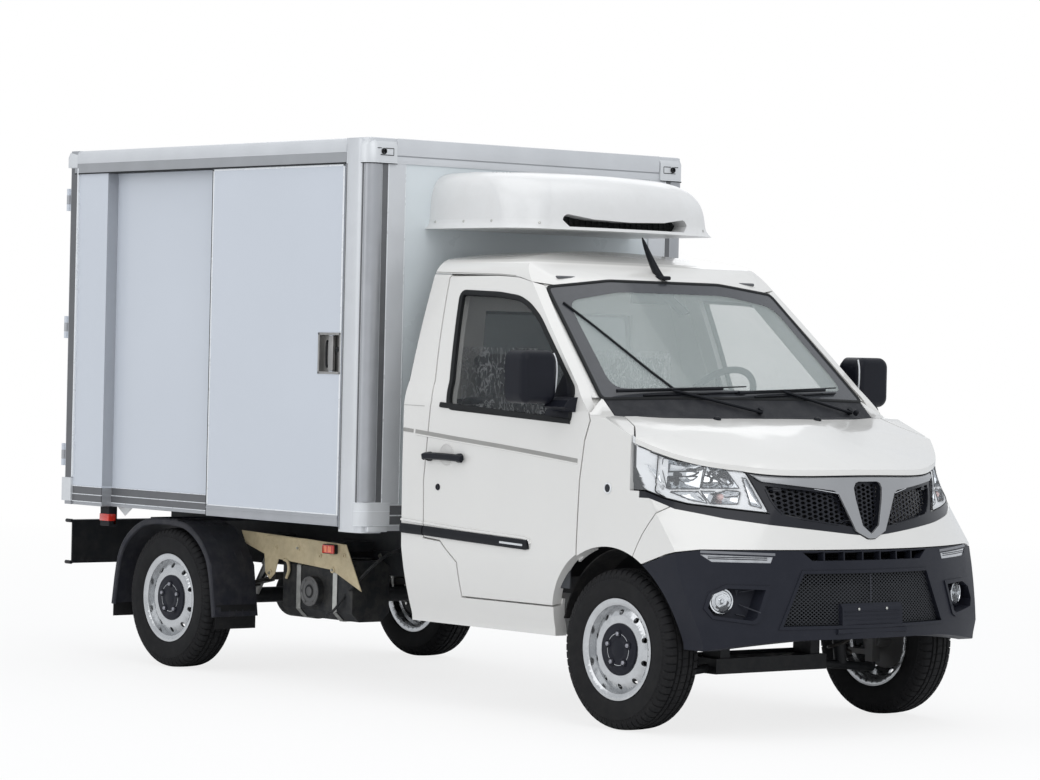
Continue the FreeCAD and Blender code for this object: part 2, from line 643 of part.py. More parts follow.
light_strip = nose_part("light_strip", nose_layer("strip_layer", 3, 13.7), grown(LIGHT_STRIP, -float(s.seat_clearance)))
node("front_lamps", pair("front_lamp_pair", together("right_lamps", headlamp, fog_lamp, light_strip)))

# The grille: a thin frame with the strips under the headlamps, and behind its windows a plate pierced with
# rows of flat six-sided holes.
grille_layer = common("grille_layer", nose_layer("grille_wall", 4, 24), outer_form)
mesh_layer = nose_layer("mesh_layer", 22, 27)
MESH_COLUMN, MESH_ROW = 24, 16.6
MESH_HOLE = ((-11, 0), (-5, 6.1), (5, 6.1), (11, 0), (5, -6.1), (-5, -6.1))


def mesh_holes(low, high, bottom, top, x_low, x_high):
    """Six-sided holes in columns, every other column half a row higher."""
    shapes = []
    for column in range(math.ceil(low / MESH_COLUMN), math.floor(high / MESH_COLUMN) + 1):
        across = column * MESH_COLUMN
        up = bottom + (MESH_ROW / 2 if column % 2 else 0)
        while up < top:
            ring = [Vector(x_low, across + y, up + z) for y, z in MESH_HOLE]
            shapes.append(Part.Face(Part.makePolygon(ring + ring[:1])).extrude(Vector(x_high - x_low, 0, 0)))
            up += MESH_ROW
    return Part.makeCompound(shapes)


pierced_zone = pair("pierced_zones", front_prism("pierced_zone", grown(MESH_WINDOW, 2), x_at(200), x_at(700)))
shield_zone = front_prism("shield_zone", grown(SHIELD_WINDOW, 2), x_at(200), x_at(700))
holes = feature("grille_holes", mesh_holes(-440, 440, 770, 960, float(axle) + 380, float(axle) + 640))
mesh_plate = common("mesh_plate", mesh_layer, fused("mesh_zones", front_prism(
    "right_mesh_zone", grown(MESH_WINDOW, 8), x_at(200), x_at(700)), front_prism(
    "left_mesh_zone", [(-across, up) for across, up in grown(MESH_WINDOW, 8)], x_at(200), x_at(700)),
    front_prism("shield_mesh_zone", grown(SHIELD_WINDOW, 8), x_at(200), x_at(700))))
window_holes = pair("window_holes", front_prism("window_hole_side", MESH_WINDOW, x_at(200), x_at(700)))
shield_hole = front_prism("shield_hole", SHIELD_WINDOW, x_at(200), x_at(700))
grille_frame = nose_part("grille_frame", grille_layer, grown(GRILLE, gap - float(s.seat_clearance)), window_holes,
                         shield_hole, bonnet_clear, lamp_hole)
buffer_block = common("buffer_block", feature("buffer_face", nose_form(8)), block(
    "buffer_box", (x_at(435), x_at(480)), (-410, -380), (930, 1100)))
buffer = cut("buffer", buffer_block, feature("buffer_over", above_bonnet(float(s.skin + s.seat_clearance))))
pierced_mesh = cut("pierced_mesh", mesh_plate, common("mesh_openings", holes, fused(
    "hole_zones", pierced_zone, shield_zone)))
node("grille", fused("grille_and_buffers", grille_frame, pierced_mesh, buffer, mirrored("left_buffer", buffer)))
bar_layer = nose_layer("bar_layer", -7, 4 - float(s.seat_clearance))
node("grille_bar", nose_part("grille_bar_wall", bar_layer, BAR, shield_hole, bonnet_clear))

# ---------------------------------------------------------------- cab: inside

floor_half = half - flange - s.seat_clearance
floor_sheet = 25
floor_low = float(s.rail_top + s.seat_clearance)
FLOOR = [(-1264.7, 692), (-790, 692), (-790, floor_low), (-391.8, floor_low), (-391.8, 660), (-130, 742),
         (-130, 1110)]
floor_top_line = [(-130 - floor_sheet, 1110), (-130 - floor_sheet, 761), (-391.8 - floor_sheet, 684),
                  (-391.8 - floor_sheet, floor_low + floor_sheet), (-765, floor_low + floor_sheet), (-765, 717),
                  (-1264.7, 717)]
floor_region = side_prism("floor_region", FLOOR + floor_top_line, -floor_half, floor_half)
node("cab_floor", common("floor", floor_region, lining_form))

dash_region = side_prism("dash_region", [(-155.6, 900), (-155.6, 1130), (-210, 1180), (-330, 1170), (-440, 1120),
                                         (-450, 1040), (-380, 900)], -floor_half, floor_half)
column_tilt = 38
column_axis = Vector(math.cos(math.radians(column_tilt)), 0, -math.sin(math.radians(column_tilt)))
wheel_centre = Vector(-697, 370, 1234)
wheel_radius, wheel_tube = 185, 14


def slanted(name, start, along, radius, length):
    """A cylinder from a point beside the front axle, along a slanted line."""
    item = doc.addObject("Part::Cylinder", name)
    item.Placement = Placement(Vector(0, start.y, start.z), Rotation(UP, along))
    return tie(item, Placement__Base__x=x_at(start.x), Radius=radius, Height=length)


column = slanted("column", wheel_centre + column_axis * 45.3, column_axis, 22, 320)
node("dashboard", fused("dash_and_column", common("dash", dash_region, lining_form), column))

wheel_rim = doc.addObject("Part::Torus", "wheel_rim")
wheel_rim.Placement = Placement(Vector(0, wheel_centre.y, wheel_centre.z), Rotation(UP, column_axis))
tie(wheel_rim, Placement__Base__x=x_at(wheel_centre.x), Radius1=wheel_radius, Radius2=wheel_tube)
hub = slanted("wheel_boss", wheel_centre + column_axis * 5, column_axis, 48, 40)
spokes = []
for turn in (0, 120, 240):
    lean = math.radians(turn)
    across = Vector(0, math.cos(lean), 0) + Vector(-column_axis.z, 0, column_axis.x) * math.sin(lean)
    spokes.append(slanted(f"spoke_{turn}", wheel_centre + column_axis * 15, across, 9, wheel_radius - 6))
node("steering_wheel", fused("wheel_parts", wheel_rim, hub, *spokes))

SEAT = [(-700, 717.3), (-1230, 717.3), (-1255, 1420), (-1150, 1430), (-1125, 1000), (-1090, 880), (-640, 860),
        (-640, 760)]
node("seats", pair("seat_pair", side_prism("seat", SEAT, -610, -130)))

# ---------------------------------------------------------------- cab: doors, mirrors and bonnet

door_solid = feature("door_solid", side_block(DOOR, DOOR_TAPER, 0))
window_hole = side_prism("window_hole", WINDOW, -wide / 2, -400)
door_arch = rod("door_arch", (x_at(-30), 0, 330), NORTH, s.arch_radius + s.shut_gap, wide)
right_door = cut("right_door", common("door_wall", door_layer, door_solid), window_hole, door_arch,
                 front_prism("screen_edge", grown(SCREEN, lid_gap), x_at(-900), x_at(40)),
                 feature("door_side", side_form(wall)))
right_glass = common("right_glass", glass_layer, side_prism(
    "door_glass_outline", grown(WINDOW, -float(s.seat_clearance)), -wide / 2, -400))
mirror_block = Part.makeBox(112, 178, 206, Vector(float(axle) - 420, -float(half) - 200, 1236))
mirror_block = mirror_block.makeFillet(42, [e for e in mirror_block.Edges if e.Vertexes[0].X != e.Vertexes[1].X])
front_face = max(mirror_block.Faces, key=lambda face: face.CenterOfMass.x)
mirror_housing = feature("mirror_housing", mirror_block.makeFillet(30, front_face.Edges))
MIRROR_ARM = [(-half - 60, 1226), (-half - 40, 1252), (-half + 4, 1264), (40 - half, 1264), (40 - half, 1205),
              (-half - 10, 1207)]
mirror_foot = prism("mirror_foot", "YZ", MIRROR_ARM, x_at(-348), x_at(-232))
right_mirror = cut("right_mirror", fused("mirror_parts", mirror_housing, mirror_foot), outer_form)
node("right_door_panel", right_door)
node("right_door_glass", right_glass)
node("right_door_mirror", right_mirror)
node("left_door_panel", mirrored("left_door_copy", nodes["right_door_panel"]))
node("left_door_glass", mirrored("left_glass_copy", right_glass))
node("left_door_mirror", mirrored("left_mirror_copy", right_mirror))
node("bonnet", common("bonnet_panel", bonnet_layer, plan_prism("bonnet_plan", BONNET_PLAN, 980, 1260)))

# ---------------------------------------------------------------- chassis

rail_half = s.rail_spacing / 2
rail_low = s.rail_top - s.rail_depth
beam_back = axle - (s.overall_length - s.front_overhang)
beam_web = beam_back + 50
beam_wall = 8
right_rail = block("right_rail", (beam_web + s.seat_clearance, x_at(480)), (-rail_half, s.rail_width - rail_half),
                   (rail_low, s.rail_top))
crossmembers = [block(f"crossmember_{count}", (place - 30, place + 30),
                      (s.rail_width - rail_half + s.seat_clearance, rail_half - s.rail_width - s.seat_clearance),
                      (rail_low + 20, s.rail_top - 20))
                for count, place in enumerate((x_at(440), x_at(-1780), rear_axle_x + 500, rear_axle_x - 500))]
subframe = block("subframe", (frame_front, box_front_x - 60 - s.seat_clearance), (-rail_half, s.rail_width - rail_half),
                 (s.rail_top + s.seat_clearance, s.box_bottom + 5 - s.seat_clearance))
outriggers = [block(f"outrigger_{count}", (rear_axle_x + ahead - 30, rear_axle_x + ahead + 30),
                    (-low, -rail_half - s.seat_clearance), (z - 45, z))
              for count, (ahead, low, z) in enumerate(((870, 525, 600), (310, 525, 600), (-470, 530, 640)))]
shackle = block("shackle", (rear_axle_x - 480, rear_axle_x - 440), (-524, -465), (453, 595 - s.seat_clearance))
right_frame = together("right_frame", right_rail, subframe, shackle, *outriggers)
bumper_beam = common("bumper_beam", feature("beam_form", cab_form(35.3)),
                     block("beam_box", (x_at(480) + s.seat_clearance, x_at(640)), (-440, 440), (507, 577)))
node("chassis_frame", together("frame", right_frame, mirrored("left_frame", right_frame), bumper_beam, *crossmembers))

beam_top = s.beam_bottom + s.beam_height
beam = prism("beam_section", "XZ", [
    (beam_back, s.beam_bottom), (beam_web, s.beam_bottom), (beam_web, beam_top), (beam_back, beam_top),
    (beam_back, beam_top - beam_wall), (beam_web - beam_wall, beam_top - beam_wall),
    (beam_web - beam_wall, s.beam_bottom + beam_wall), (beam_back, s.beam_bottom + beam_wall)],
    -s.beam_width / 2, s.beam_width / 2)
tow_holes = [rod(f"tow_hole_{side}_{z}", (beam_web, side * 60, z), EAST, 6.5, 80)
             for side in (-1, 1) for z in (470, 550)]
node("rear_underrun_beam", cut("beam", beam, *tow_holes))
rear_lamp = block("rear_lamp", (beam_back + 4, beam_web - beam_wall - s.seat_clearance), (-680, -500), (460, 560))

base = -float(s.wheelbase)
HANGER = [(base + 216, 617), (base + 248, 560), (base + 390, 522), (base + 400, 440), (base + 435, 412), (base + 470, 440),
          (base + 495, 505), (base + 880, 480), (base + 1095, 398), (base + 1035, 500), (base + 980, 594),
          (base + 600, 606)]
hanger_y = -525.3
node("spring_hangers", pair("hanger_pair", side_prism("hanger", HANGER, hanger_y - 5, hanger_y)))

SPRING = [(base + 455, 440), (base, 370), (base - 480, 452.7), (base - 480, 428), (base, 344.5), (base + 455, 412)]
node("leaf_springs", pair("spring_pair", side_prism("spring", SPRING, -525, -465)))

tank_side = -rail_half - s.seat_clearance
tank = prism("tank_body", "YZ", [(tank_side, 300), (tank_side, 500), (tank_side - 40, 525), (tank_side - 160, 525),
                                 (tank_side - 200, 485), (tank_side - 200, 300), (tank_side - 160, 262),
                                 (tank_side - 40, 262)], rear_axle_x + 520, rear_axle_x + 1020)
tank_valve = rod("tank_valve", (rear_axle_x + 760, tank_side - 215, 381), NORTH, 64, 40)
node("gas_tank", fused("tank", tank, tank_valve))
engine_half = rail_half - s.rail_width - s.seat_clearance
node("engine_block", fused("engine", block("engine_core", (x_at(-1240), x_at(-810)), (-210, 210), (280, 680)),
                           block("engine_mounts", (x_at(-1060), x_at(-1000)), (-engine_half, engine_half),
                                 (rail_low, s.rail_top)),
                           rod("gearbox", (x_at(-1480), 0, 400), EAST, 100, 538)))
muffler = rod("muffler", (rear_axle_x + 900, rail_half + 64, 420), EAST, 75, 480)
node("exhaust", fused("exhaust_parts", muffler,
                      rod("tail_pipe", (rear_axle_x + 500, rail_half + 60, 420), EAST, 20, 400),
                      rod("front_pipe", (rear_axle_x + 1440, rail_half + 60, 420), EAST, 20, 660)))

axle_z = s.tyre_radius
axle_end = tyre_y + s.hub_face - s.seat_clearance
rear_centre = (rear_axle_x, 0, axle_z)
drum_y = tyre_y - 20
right_drum = rod("right_drum", (rear_axle_x, -drum_y, axle_z), NORTH, 118, 70)
node("rear_axle", fused("axle_parts", rod("axle_tube", rear_centre, NORTH, 35, 2 * drum_y),
                        rod("axle_shafts", rear_centre, NORTH, 28, 2 * axle_end),
                        rod("diff_housing", rear_centre, EAST, 110, 190),
                        rod("pinion_nose", (rear_axle_x + 120, 0, axle_z), EAST, 60, 130),
                        right_drum, mirrored("left_drum", right_drum)))


def bar(name, first, last, radius):
    """A round bar between two points given beside the front axle."""
    along = last - first
    return slanted(name, first, along * (1 / along.Length), radius, along.Length)


shaft_front, shaft_back = Vector(-1752, 0, 400), Vector(base + 188, 0, float(s.tyre_radius))
node("prop_shaft", bar("shaft", shaft_front, shaft_back, 32))

# ---------------------------------------------------------------- front suspension and steering

arm_low, arm_high = 185, 425
upright_half = 105
crossbeam = block("crossbeam", (x_at(-60), x_at(60)), (-300, 300), (200, 260))
bridge = block("bridge", (x_at(-50), x_at(50)), (-270, -220), (255, rail_low - s.seat_clearance))
lower_arm = bar("lower_arm", Vector(0, -290, arm_low + 35), Vector(0, -float(kingpin_y), arm_low + 5), 17)
upper_arm = bar("upper_arm", Vector(0, -250, arm_high + 15), Vector(0, -float(kingpin_y), arm_high + 3), 13)
knuckle_low, knuckle_high = arm_low + 28, arm_high - 15
studs = (
    rod("lower_stud", (axle, -kingpin_y, (arm_low + 10 + knuckle_low - s.seat_clearance) / 2), UP, 14,
        knuckle_low - s.seat_clearance - arm_low - 10),
    rod("upper_stud", (axle, -kingpin_y, (arm_high + knuckle_high + s.seat_clearance) / 2), UP, 10,
        arm_high - knuckle_high - s.seat_clearance))
damper = bar("damper", Vector(0, -440, 215), Vector(0, -370, 700), 26)
tower = block("damper_tower", (x_at(-50), x_at(50)), (-400, -320.3), (680, 720))
tower_leg = block("tower_leg", (x_at(-50), x_at(50)), (-345, -320.3), (s.rail_top - 60, 700))
right_susp = fused("right_suspension", bridge, lower_arm, upper_arm, damper, tower, tower_leg, *studs)
rack = rod("rack", (x_at(-115), 0, 250), NORTH, 22, 700)
rack_feet = block("rack_feet", (x_at(-100), x_at(-50)), (-150, 150), (235, 258))
node("front_suspension", fused("suspension", crossbeam, right_susp, mirrored("left_suspension", right_susp),
                               rack, rack_feet))

king = -kingpin_y
upright = block("upright", (x_at(-20), x_at(20)), (king - 22, king + 22), (knuckle_low, knuckle_high))
stub = rod("stub", (axle, -(tyre_y + kingpin_y) / 2, axle_z), NORTH, 40, tyre_y - kingpin_y)
stub_end = rod("stub_end", (axle, -(axle_end + tyre_y) / 2, axle_z), NORTH, 28, axle_end - tyre_y)
brake_plate = rod("brake_plate", (axle, -(tyre_y + 5), axle_z), NORTH, 125, 12)
steer_arm = block("steer_arm", (x_at(-120), x_at(0)), (king - 5, king + 20), (240, 262))
right_knuckle = fused("right_knuckle_parts", upright, stub, stub_end, brake_plate, steer_arm)
node("right_knuckle", right_knuckle)
node("left_knuckle", mirrored("left_knuckle_parts", right_knuckle))

# ---------------------------------------------------------------- wheels

bead = s.rim_lip - 17
half_rim = s.rim_width / 2
half_tyre = s.tyre_width / 2
TYRE = [(bead, -half_rim + 12), (bead + 14, 8 - half_rim), (bead + 60, -half_tyre), (s.tyre_radius - 28, -half_tyre),
        (s.tyre_radius - 8, 20 - half_tyre), (s.tyre_radius, 38 - half_tyre), (s.tyre_radius, half_tyre - 38),
        (s.tyre_radius - 8, half_tyre - 20), (s.tyre_radius - 28, half_tyre), (bead + 60, half_tyre),
        (bead + 14, half_rim - 8), (bead, half_rim - 12)]
seat = bead - s.seat_clearance
RIM = [(seat, -half_rim + 12), (s.rim_lip - 5, -half_rim + 6), (s.rim_lip, -half_rim), (s.rim_lip - 8, -half_rim),
       (seat - 8, 8 - half_rim), (seat - 10, 40 - half_rim), (seat - 24, 45 - half_rim), (seat - 24, 20),
       (150, 34), (126, 52), (104, 50), (92, s.hub_face), (40, s.hub_face), (40, s.hub_face + 8),
       (88, s.hub_face + 8), (99, 59), (130, 60), (seat - 14, 40), (seat - 8, half_rim - 8), (s.rim_lip - 8, half_rim),
       (s.rim_lip, half_rim), (s.rim_lip - 5, half_rim - 6), (seat, half_rim - 12), (seat - 5, half_rim - 12),
       (seat - 5, 20 - half_rim)]
HAND_HOLES = 10


def wheel(corner, x, side):
    centre = (x, side * tyre_y, axle_z)
    node(corner + "_tyre", turned(corner + "_tyre_ring", TYRE, centre, side))
    ring = turned(corner + "_rim_ring", RIM, centre, side)
    holes = []
    for count in range(HAND_HOLES):
        turn = math.radians(360 / HAND_HOLES * (count + 0.5))
        holes.append(rod(f"{corner}_hole_{count}", (x + 142 * math.cos(turn), side * (tyre_y + 40),
                                                    axle_z + 142 * math.sin(turn)), NORTH, 11, 70))
    hub_cap = rod(corner + "_hub", (x, side * (tyre_y + s.hub_face + 20), axle_z), NORTH, 62, 40)
    pierced = cut(corner + "_pierced", ring, *holes)
    node(corner + "_rim", fused(corner + "_rim_parts", pierced, hub_cap))


wheel("front_left", axle, 1)
wheel("front_right", axle, -1)
wheel("rear_left", rear_axle_x, 1)
wheel("rear_right", rear_axle_x, -1)

# ---------------------------------------------------------------- arch liners and mudguards
liner_disc = rod("liner_disc", (axle, -632, axle_z), NORTH, 391, 148)
liner_bore = rod("liner_bore", (axle, -632, axle_z), NORTH, 385, 300)
liner_arch = cut("liner_arch", liner_disc, liner_bore, block("liner_low", (x_at(-500), x_at(500)), (-900, -400),
                                                             (-300, 400)))
liner = fused("liner", liner_arch, block("liner_bracket", (x_at(-20), x_at(20)), (-562, -400.3), (690, 700)))
node("front_arch_liners", pair("liner_pair", liner))

GUARD = [(base + ahead, up) for ahead, up in (
    (-426, 256), (-392, 470), (-330, 560), (-230, 628), (-130, 655), (90, 655), (190, 628), (285, 560), (345, 470),
    (380, 249), (374, 249), (339, 468), (281, 556), (187, 622), (89, 649), (-129, 649), (-227, 622), (-326, 556),
    (-386, 468), (-420, 256))]
guard = side_prism("guard", GUARD, -780, -550)
stays = [block(f"stay_{count}", (rear_axle_x + ahead - 10, rear_axle_x + ahead + 10),
               (-775, -rail_half - s.seat_clearance), (650, 662)) for count, ahead in enumerate((60, -100))]
node("rear_mudguards", pair("guard_pair", fused("guard_and_stays", guard, *stays)))

# ---------------------------------------------------------------- box

panel_out = box_half - 14
door_out = box_half - 8
door_in = door_out - s.box_panel
fixed_out = door_in - s.door_clearance
fixed_in = fixed_out - s.box_panel
rail_low_z = s.box_height - s.rail_height
roof_low = s.box_height - s.roof_panel - 5
wall_low = s.box_bottom + 83
post_face = box_rear_x + 10
side_front = axle - s.side_door_front
side_rear = side_front - s.side_door_length

post_plan = [(box_front_x, -(box_half - s.post_depth)), (box_front_x, -(box_half - 42)),
             (box_front_x - 12, -(box_half - 13)), (box_front_x - 42, -box_half), (post_back, -box_half),
             (post_back, -(box_half - 15)), (post_back + 20, -(box_half - s.post_depth))]
right_post = prism("right_post", "XY", post_plan, s.box_bottom - 20, s.box_height)
front_header = block("front_header", (box_front_x - 60, box_front_x), (s.post_depth - box_half, box_half - s.post_depth),
                     (s.box_height - 103, s.box_height))
front_sill = block("front_sill", (box_front_x - 60, box_front_x), (s.post_depth - box_half, box_half - s.post_depth),
                   (s.box_bottom - 12, s.box_bottom + 95))
flange = block("post_flange", (box_front_x - 5 + s.seat_clearance, box_front_x), (
    s.post_depth - box_half - 2, s.post_depth + s.post_flange - box_half), (s.box_bottom - 12, s.box_height))
right_post_wall = fused("right_post_wall", right_post, flange)
node("box_front_frame", fused("front_frame", right_post_wall, mirrored("left_post_wall", right_post_wall), front_header,
                              front_sill))

top_rail_plan = [(-box_half, rail_low_z), (-box_half, s.box_height - 25), (25 - box_half, s.box_height),
                 (70 - box_half, s.box_height), (70 - box_half, s.box_height - 70),
                 (-fixed_in, s.box_height - 70), (-fixed_in, rail_low_z)]
right_top_rail = prism("right_top_rail", "YZ", top_rail_plan, frame_front, post_back)
flush_front = side_rear - s.side_door_travel - 9
right_low_rail = fused("right_low_rails", block(
    "right_low_rail", (frame_front, post_back), (-fixed_out, -fixed_in), (s.box_bottom, wall_low)), block(
    "flush_rail", (frame_front, flush_front), (-door_out, -fixed_in), (s.box_bottom, wall_low)))
left_low_rail = block("left_low_rail", (frame_front, post_back), (fixed_in, panel_out), (s.box_bottom, wall_low))
node("box_side_rails", together("side_rails", right_top_rail, mirrored("left_top_rail", right_top_rail),
                                right_low_rail, left_low_rail))
door_way = block("door_way", (side_rear + 35, side_front - 20), (-wide / 2, 0), (s.floor_top + 10, rail_low_z - 60))
right_wall = cut("right_wall", fused("right_wall_panels", block(
    "right_wall_panel", (frame_front, post_back), (-fixed_out, -fixed_in), (wall_low, rail_low_z)), block(
    "flush_panel", (frame_front, flush_front), (-door_out, -fixed_in), (wall_low, rail_low_z))), door_way)
left_wall = block("left_wall", (frame_front, post_back), (fixed_in, panel_out), (wall_low, rail_low_z))
node("box_side_walls", together("side_walls", right_wall, left_wall))
node("box_front_wall", block("front_wall", (box_front_x - 55, box_front_x - 5),
                             (s.post_depth - box_half, box_half - s.post_depth),
                             (s.box_bottom + 95, s.box_height - 103)))
roof_slab = block("roof_slab", (frame_front, box_front_x - 60), (70 - box_half, box_half - 70),
                  (roof_low, s.box_height - 5))
roof_notch = block("roof_notch", (post_back - s.seat_clearance, box_front_x),
                   (-box_half, s.post_depth - box_half + s.seat_clearance), (roof_low - 50, s.box_height + 50))
node("box_roof", cut("roof_notched", roof_slab, roof_notch, mirrored("left_roof_notch", roof_notch)))
node("box_floor", block("floor_slab", (frame_front, box_front_x - 60), (-fixed_in, fixed_in),
                        (s.box_bottom + 5, s.floor_top)))

frame_ring = cut("frame_ring", block("frame_slab", (post_face, frame_front), (-box_half, box_half),
                                     (s.box_bottom, s.box_height)),
                 block("rear_way", (post_face - 50, frame_front + 50), (s.frame_post - box_half, box_half - s.frame_post),
                       (s.floor_top, s.box_height - s.frame_post)))
rebate_cut = block("rear_rebate", (post_face - 50, box_rear_x + 52), (s.frame_post - box_half - 20,
                   box_half - s.frame_post + 20), (s.floor_top - 15, s.box_height - s.frame_post + 20))
hinge_x, hinge_y = box_rear_x - 12, box_half - 4
HINGE_HEIGHTS = (920, 1500, 2080)
brackets = []
for count, z in enumerate(HINGE_HEIGHTS):
    brackets.append(rod(f"frame_knuckle_{count}", (hinge_x, -hinge_y, z), UP, 10, 40))
    brackets.append(block(f"frame_leaf_{count}", (box_rear_x - 5, post_face), (-hinge_y, 60 - box_half),
                          (z - 20, z + 20)))
right_brackets = fused("right_brackets", *brackets)
node("box_rear_frame", fused("rear_frame", cut("rear_ring", frame_ring, rebate_cut), right_brackets,
                             mirrored("left_brackets", right_brackets)))

leaf_edge = box_half - s.frame_post + 20 - s.door_clearance
leaf_low, leaf_high = s.floor_top - 15 + s.door_clearance, s.box_height - s.frame_post + 20 - s.door_clearance
slab = block("rear_door_slab", (box_rear_x + 5, box_rear_x + 51), (-leaf_edge, -s.door_clearance / 2),
             (leaf_low, leaf_high))
straps = []
for count, z in enumerate(HINGE_HEIGHTS):
    for side in (-1, 1):
        middle = z + side * 35.3
        straps.append(rod(f"door_knuckle_{count}_{side}", (hinge_x, -hinge_y, middle), UP, 10, 30))
        straps.append(block(f"door_strap_{count}_{side}", (box_rear_x - 3, box_rear_x + 5.5),
                            (-hinge_y, 250 - box_half), (middle - 15, middle + 15)))
right_leaf = fused("right_leaf", slab, *straps)
node("right_rear_door", right_leaf)
node("left_rear_door", mirrored("left_leaf", right_leaf))
door_slab = block("side_door_slab", (side_rear, side_front), (-door_out, -door_in), (s.box_bottom, rail_low_z - 0.5))
handle_z = (1331, 1489)
handle_pocket = block("handle_pocket", (side_front - 152, side_front - 10), (-door_out - 10, 24 - door_out), handle_z)
handle_bar = block("handle_bar", (side_front - 92, side_front - 66), (4 - door_out, 16 - door_out), handle_z)
node("side_door", fused("side_door_parts", cut("side_door_pocketed", door_slab, handle_pocket), handle_bar))

# ---------------------------------------------------------------- cooling unit, evaporator and markers


def unit_wire(height, half_width, length, corner, bow):
    """Plan of the cooling unit: square at the box, with large rounded front corners."""
    start = float(box_front_x) - 5 + float(s.seat_clearance)
    reach = start + length
    flat, deep = half_width - corner, length - corner - bow
    side = Vector(start + deep, half_width, height)
    touch = Vector(reach - bow, flat, height)
    lean = math.radians(45)
    bend = Vector(start + deep + corner * math.cos(lean), flat + corner * math.sin(lean), height)

    def other(point):
        return Vector(point.x, -point.y, point.z)

    rear = Vector(start, half_width, height)
    return Part.Wire([Part.makeLine(other(rear), other(side)), arc(other(side), other(bend), other(touch)),
                      arc(other(touch), Vector(reach, 0, height), touch), arc(touch, bend, side),
                      Part.makeLine(side, rear), Part.makeLine(rear, other(rear))])


unit_half, unit_reach = float(s.unit_width) / 2, float(s.unit_length)
unit_low, unit_top = float(s.unit_bottom), float(s.unit_bottom + s.unit_height)
# Skirt and shell of the unit: share of the height, wider, longer, corner radius, bow of the front.
UNIT_SKIRT = ((0, 22, 10, 150, 45), (0.09, 2, 2, 150, 45), (0.16, -3, -2, 150, 45))
UNIT_SHELL = ((0.15, -3, -2, 150, 45), (0.5, -8, -12, 160, 50), (0.72, -20, -40, 175, 55), (0.88, -46, -95, 190, 60),
              (0.96, -85, -165, 200, 60), (1, -150, -260, 200, 60))


def unit_loft(rings):
    return Part.makeLoft([unit_wire(unit_low + up * (unit_top - unit_low), unit_half + wider, unit_reach + longer,
                                    corner, bow) for up, wider, longer, corner, bow in rings], True, False)


# Air slot in the unit's front: two round ends joined by a narrower throat.
slot_half, slot_low, slot_high = 341, unit_low + 12, unit_low + 62
slot_x = float(box_front_x) + unit_reach - 120
SLOT_EDGE = ((-slot_half, slot_low + 26), (-slot_half + 34, slot_high), (-slot_half + 150, slot_high - 16),
             (0, slot_high - 22))


def slot_wire(x):
    left = [Vector(x, across, up) for across, up in SLOT_EDGE]
    right = [Vector(point.x, -point.y, point.z) for point in reversed(left)]
    low = [Vector(x, -slot_half + 26, slot_low), Vector(x, slot_half - 26, slot_low)]
    return Part.Wire([arc(left[0], left[0] * 0.35 + left[1] * 0.65 + Vector(0, -9, 5), left[1]),
                      Part.makeLine(left[1], left[2]), Part.makeLine(left[2], left[3]),
                      Part.makeLine(right[0], right[1]), Part.makeLine(right[1], right[2]),
                      arc(right[2], right[2] * 0.65 + right[3] * 0.35 + Vector(0, 9, 5), right[3]),
                      Part.makeLine(right[3], low[1]), Part.makeLine(low[1], low[0]), Part.makeLine(low[0], left[0])])


slot_cut = feature("slot_cut", Part.Face(slot_wire(slot_x)).extrude(Vector(400, 0, 0)))
unit_shell = cut("unit_shell", fused("unit_walls", feature("unit_skirt", unit_loft(UNIT_SKIRT)),
                                     feature("unit_case", unit_loft(UNIT_SHELL))), slot_cut)
node("cooling_unit", unit_shell)
node("evaporator", block("evaporator_case", (box_front_x - 360, box_front_x - 60 - s.seat_clearance), (-480, 480),
                         (roof_low - 210, roof_low - s.seat_clearance)))

front_marker = block("front_marker", (rear_axle_x + 850, rear_axle_x + 925), (-558, hanger_y - 5.3), (550, 590))
rear_marker = block("rear_marker", (rear_axle_x - 492, rear_axle_x - 420), (-fixed_out, -fixed_in - 5),
                    (605, s.box_bottom - s.seat_clearance))
node("rear_lamps_and_markers", pair("marker_pair", together("right_markers", front_marker, rear_marker, rear_lamp)))


def on_screen(across, up, lift):
    """A point on the windscreen, lifted off it along its normal."""
    shift = lift * math.hypot(1, SCREEN_LEAN)
    bow = SCREEN_RADIUS - math.sqrt(SCREEN_RADIUS ** 2 - across ** 2)
    return Vector(SCREEN_REACH - SCREEN_LEAN * up - bow + shift, across, up)


wipers = []
for count, (pivot, tip, low, high) in enumerate(((0, -560, -640, -130), (550, 30, -60, 470))):
    base = on_screen(pivot, 1216, 14)
    wipers.append(slanted(f"wiper_spindle_{count}", on_screen(pivot, 1216, 0.3),
                          Vector(1, 0, SCREEN_LEAN) * (1 / math.hypot(1, SCREEN_LEAN)), 12, 22))
    wipers.append(bar(f"wiper_arm_{count}", base, on_screen((low + high) / 2, 1300, 16), 6))
    wipers.append(bar(f"wiper_blade_{count}", on_screen(low, 1292, 20), on_screen(high, 1308, 20), 7))
node("wipers", cut("wipers_trimmed", together("wiper_pair", fused("wiper_0", *wipers[:3]),
                                              fused("wiper_1", *wipers[3:])), outer_form))

# ---------------------------------------------------------------- checks and files

doc.recompute()
for item in doc.Objects:
    if "Invalid" in item.State or "Error" in item.State:
        raise SystemExit(f"{item.Label} failed: {item.State}")
for label, item in nodes.items():
    if item.Shape.isNull() or not item.Shape.isValid() or not item.Shape.Solids:
        raise SystemExit(f"{label} has no valid solid")
os.makedirs("parts", exist_ok=True)
for label, item in nodes.items():
    item.Shape.exportStep(f"parts/{label}.step")
print(len(nodes), "sub-parts written")
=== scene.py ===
import json
import math

import bmesh
import bpy
from mathutils import Matrix, Vector, noise
from mathutils.bvhtree import BVHTree

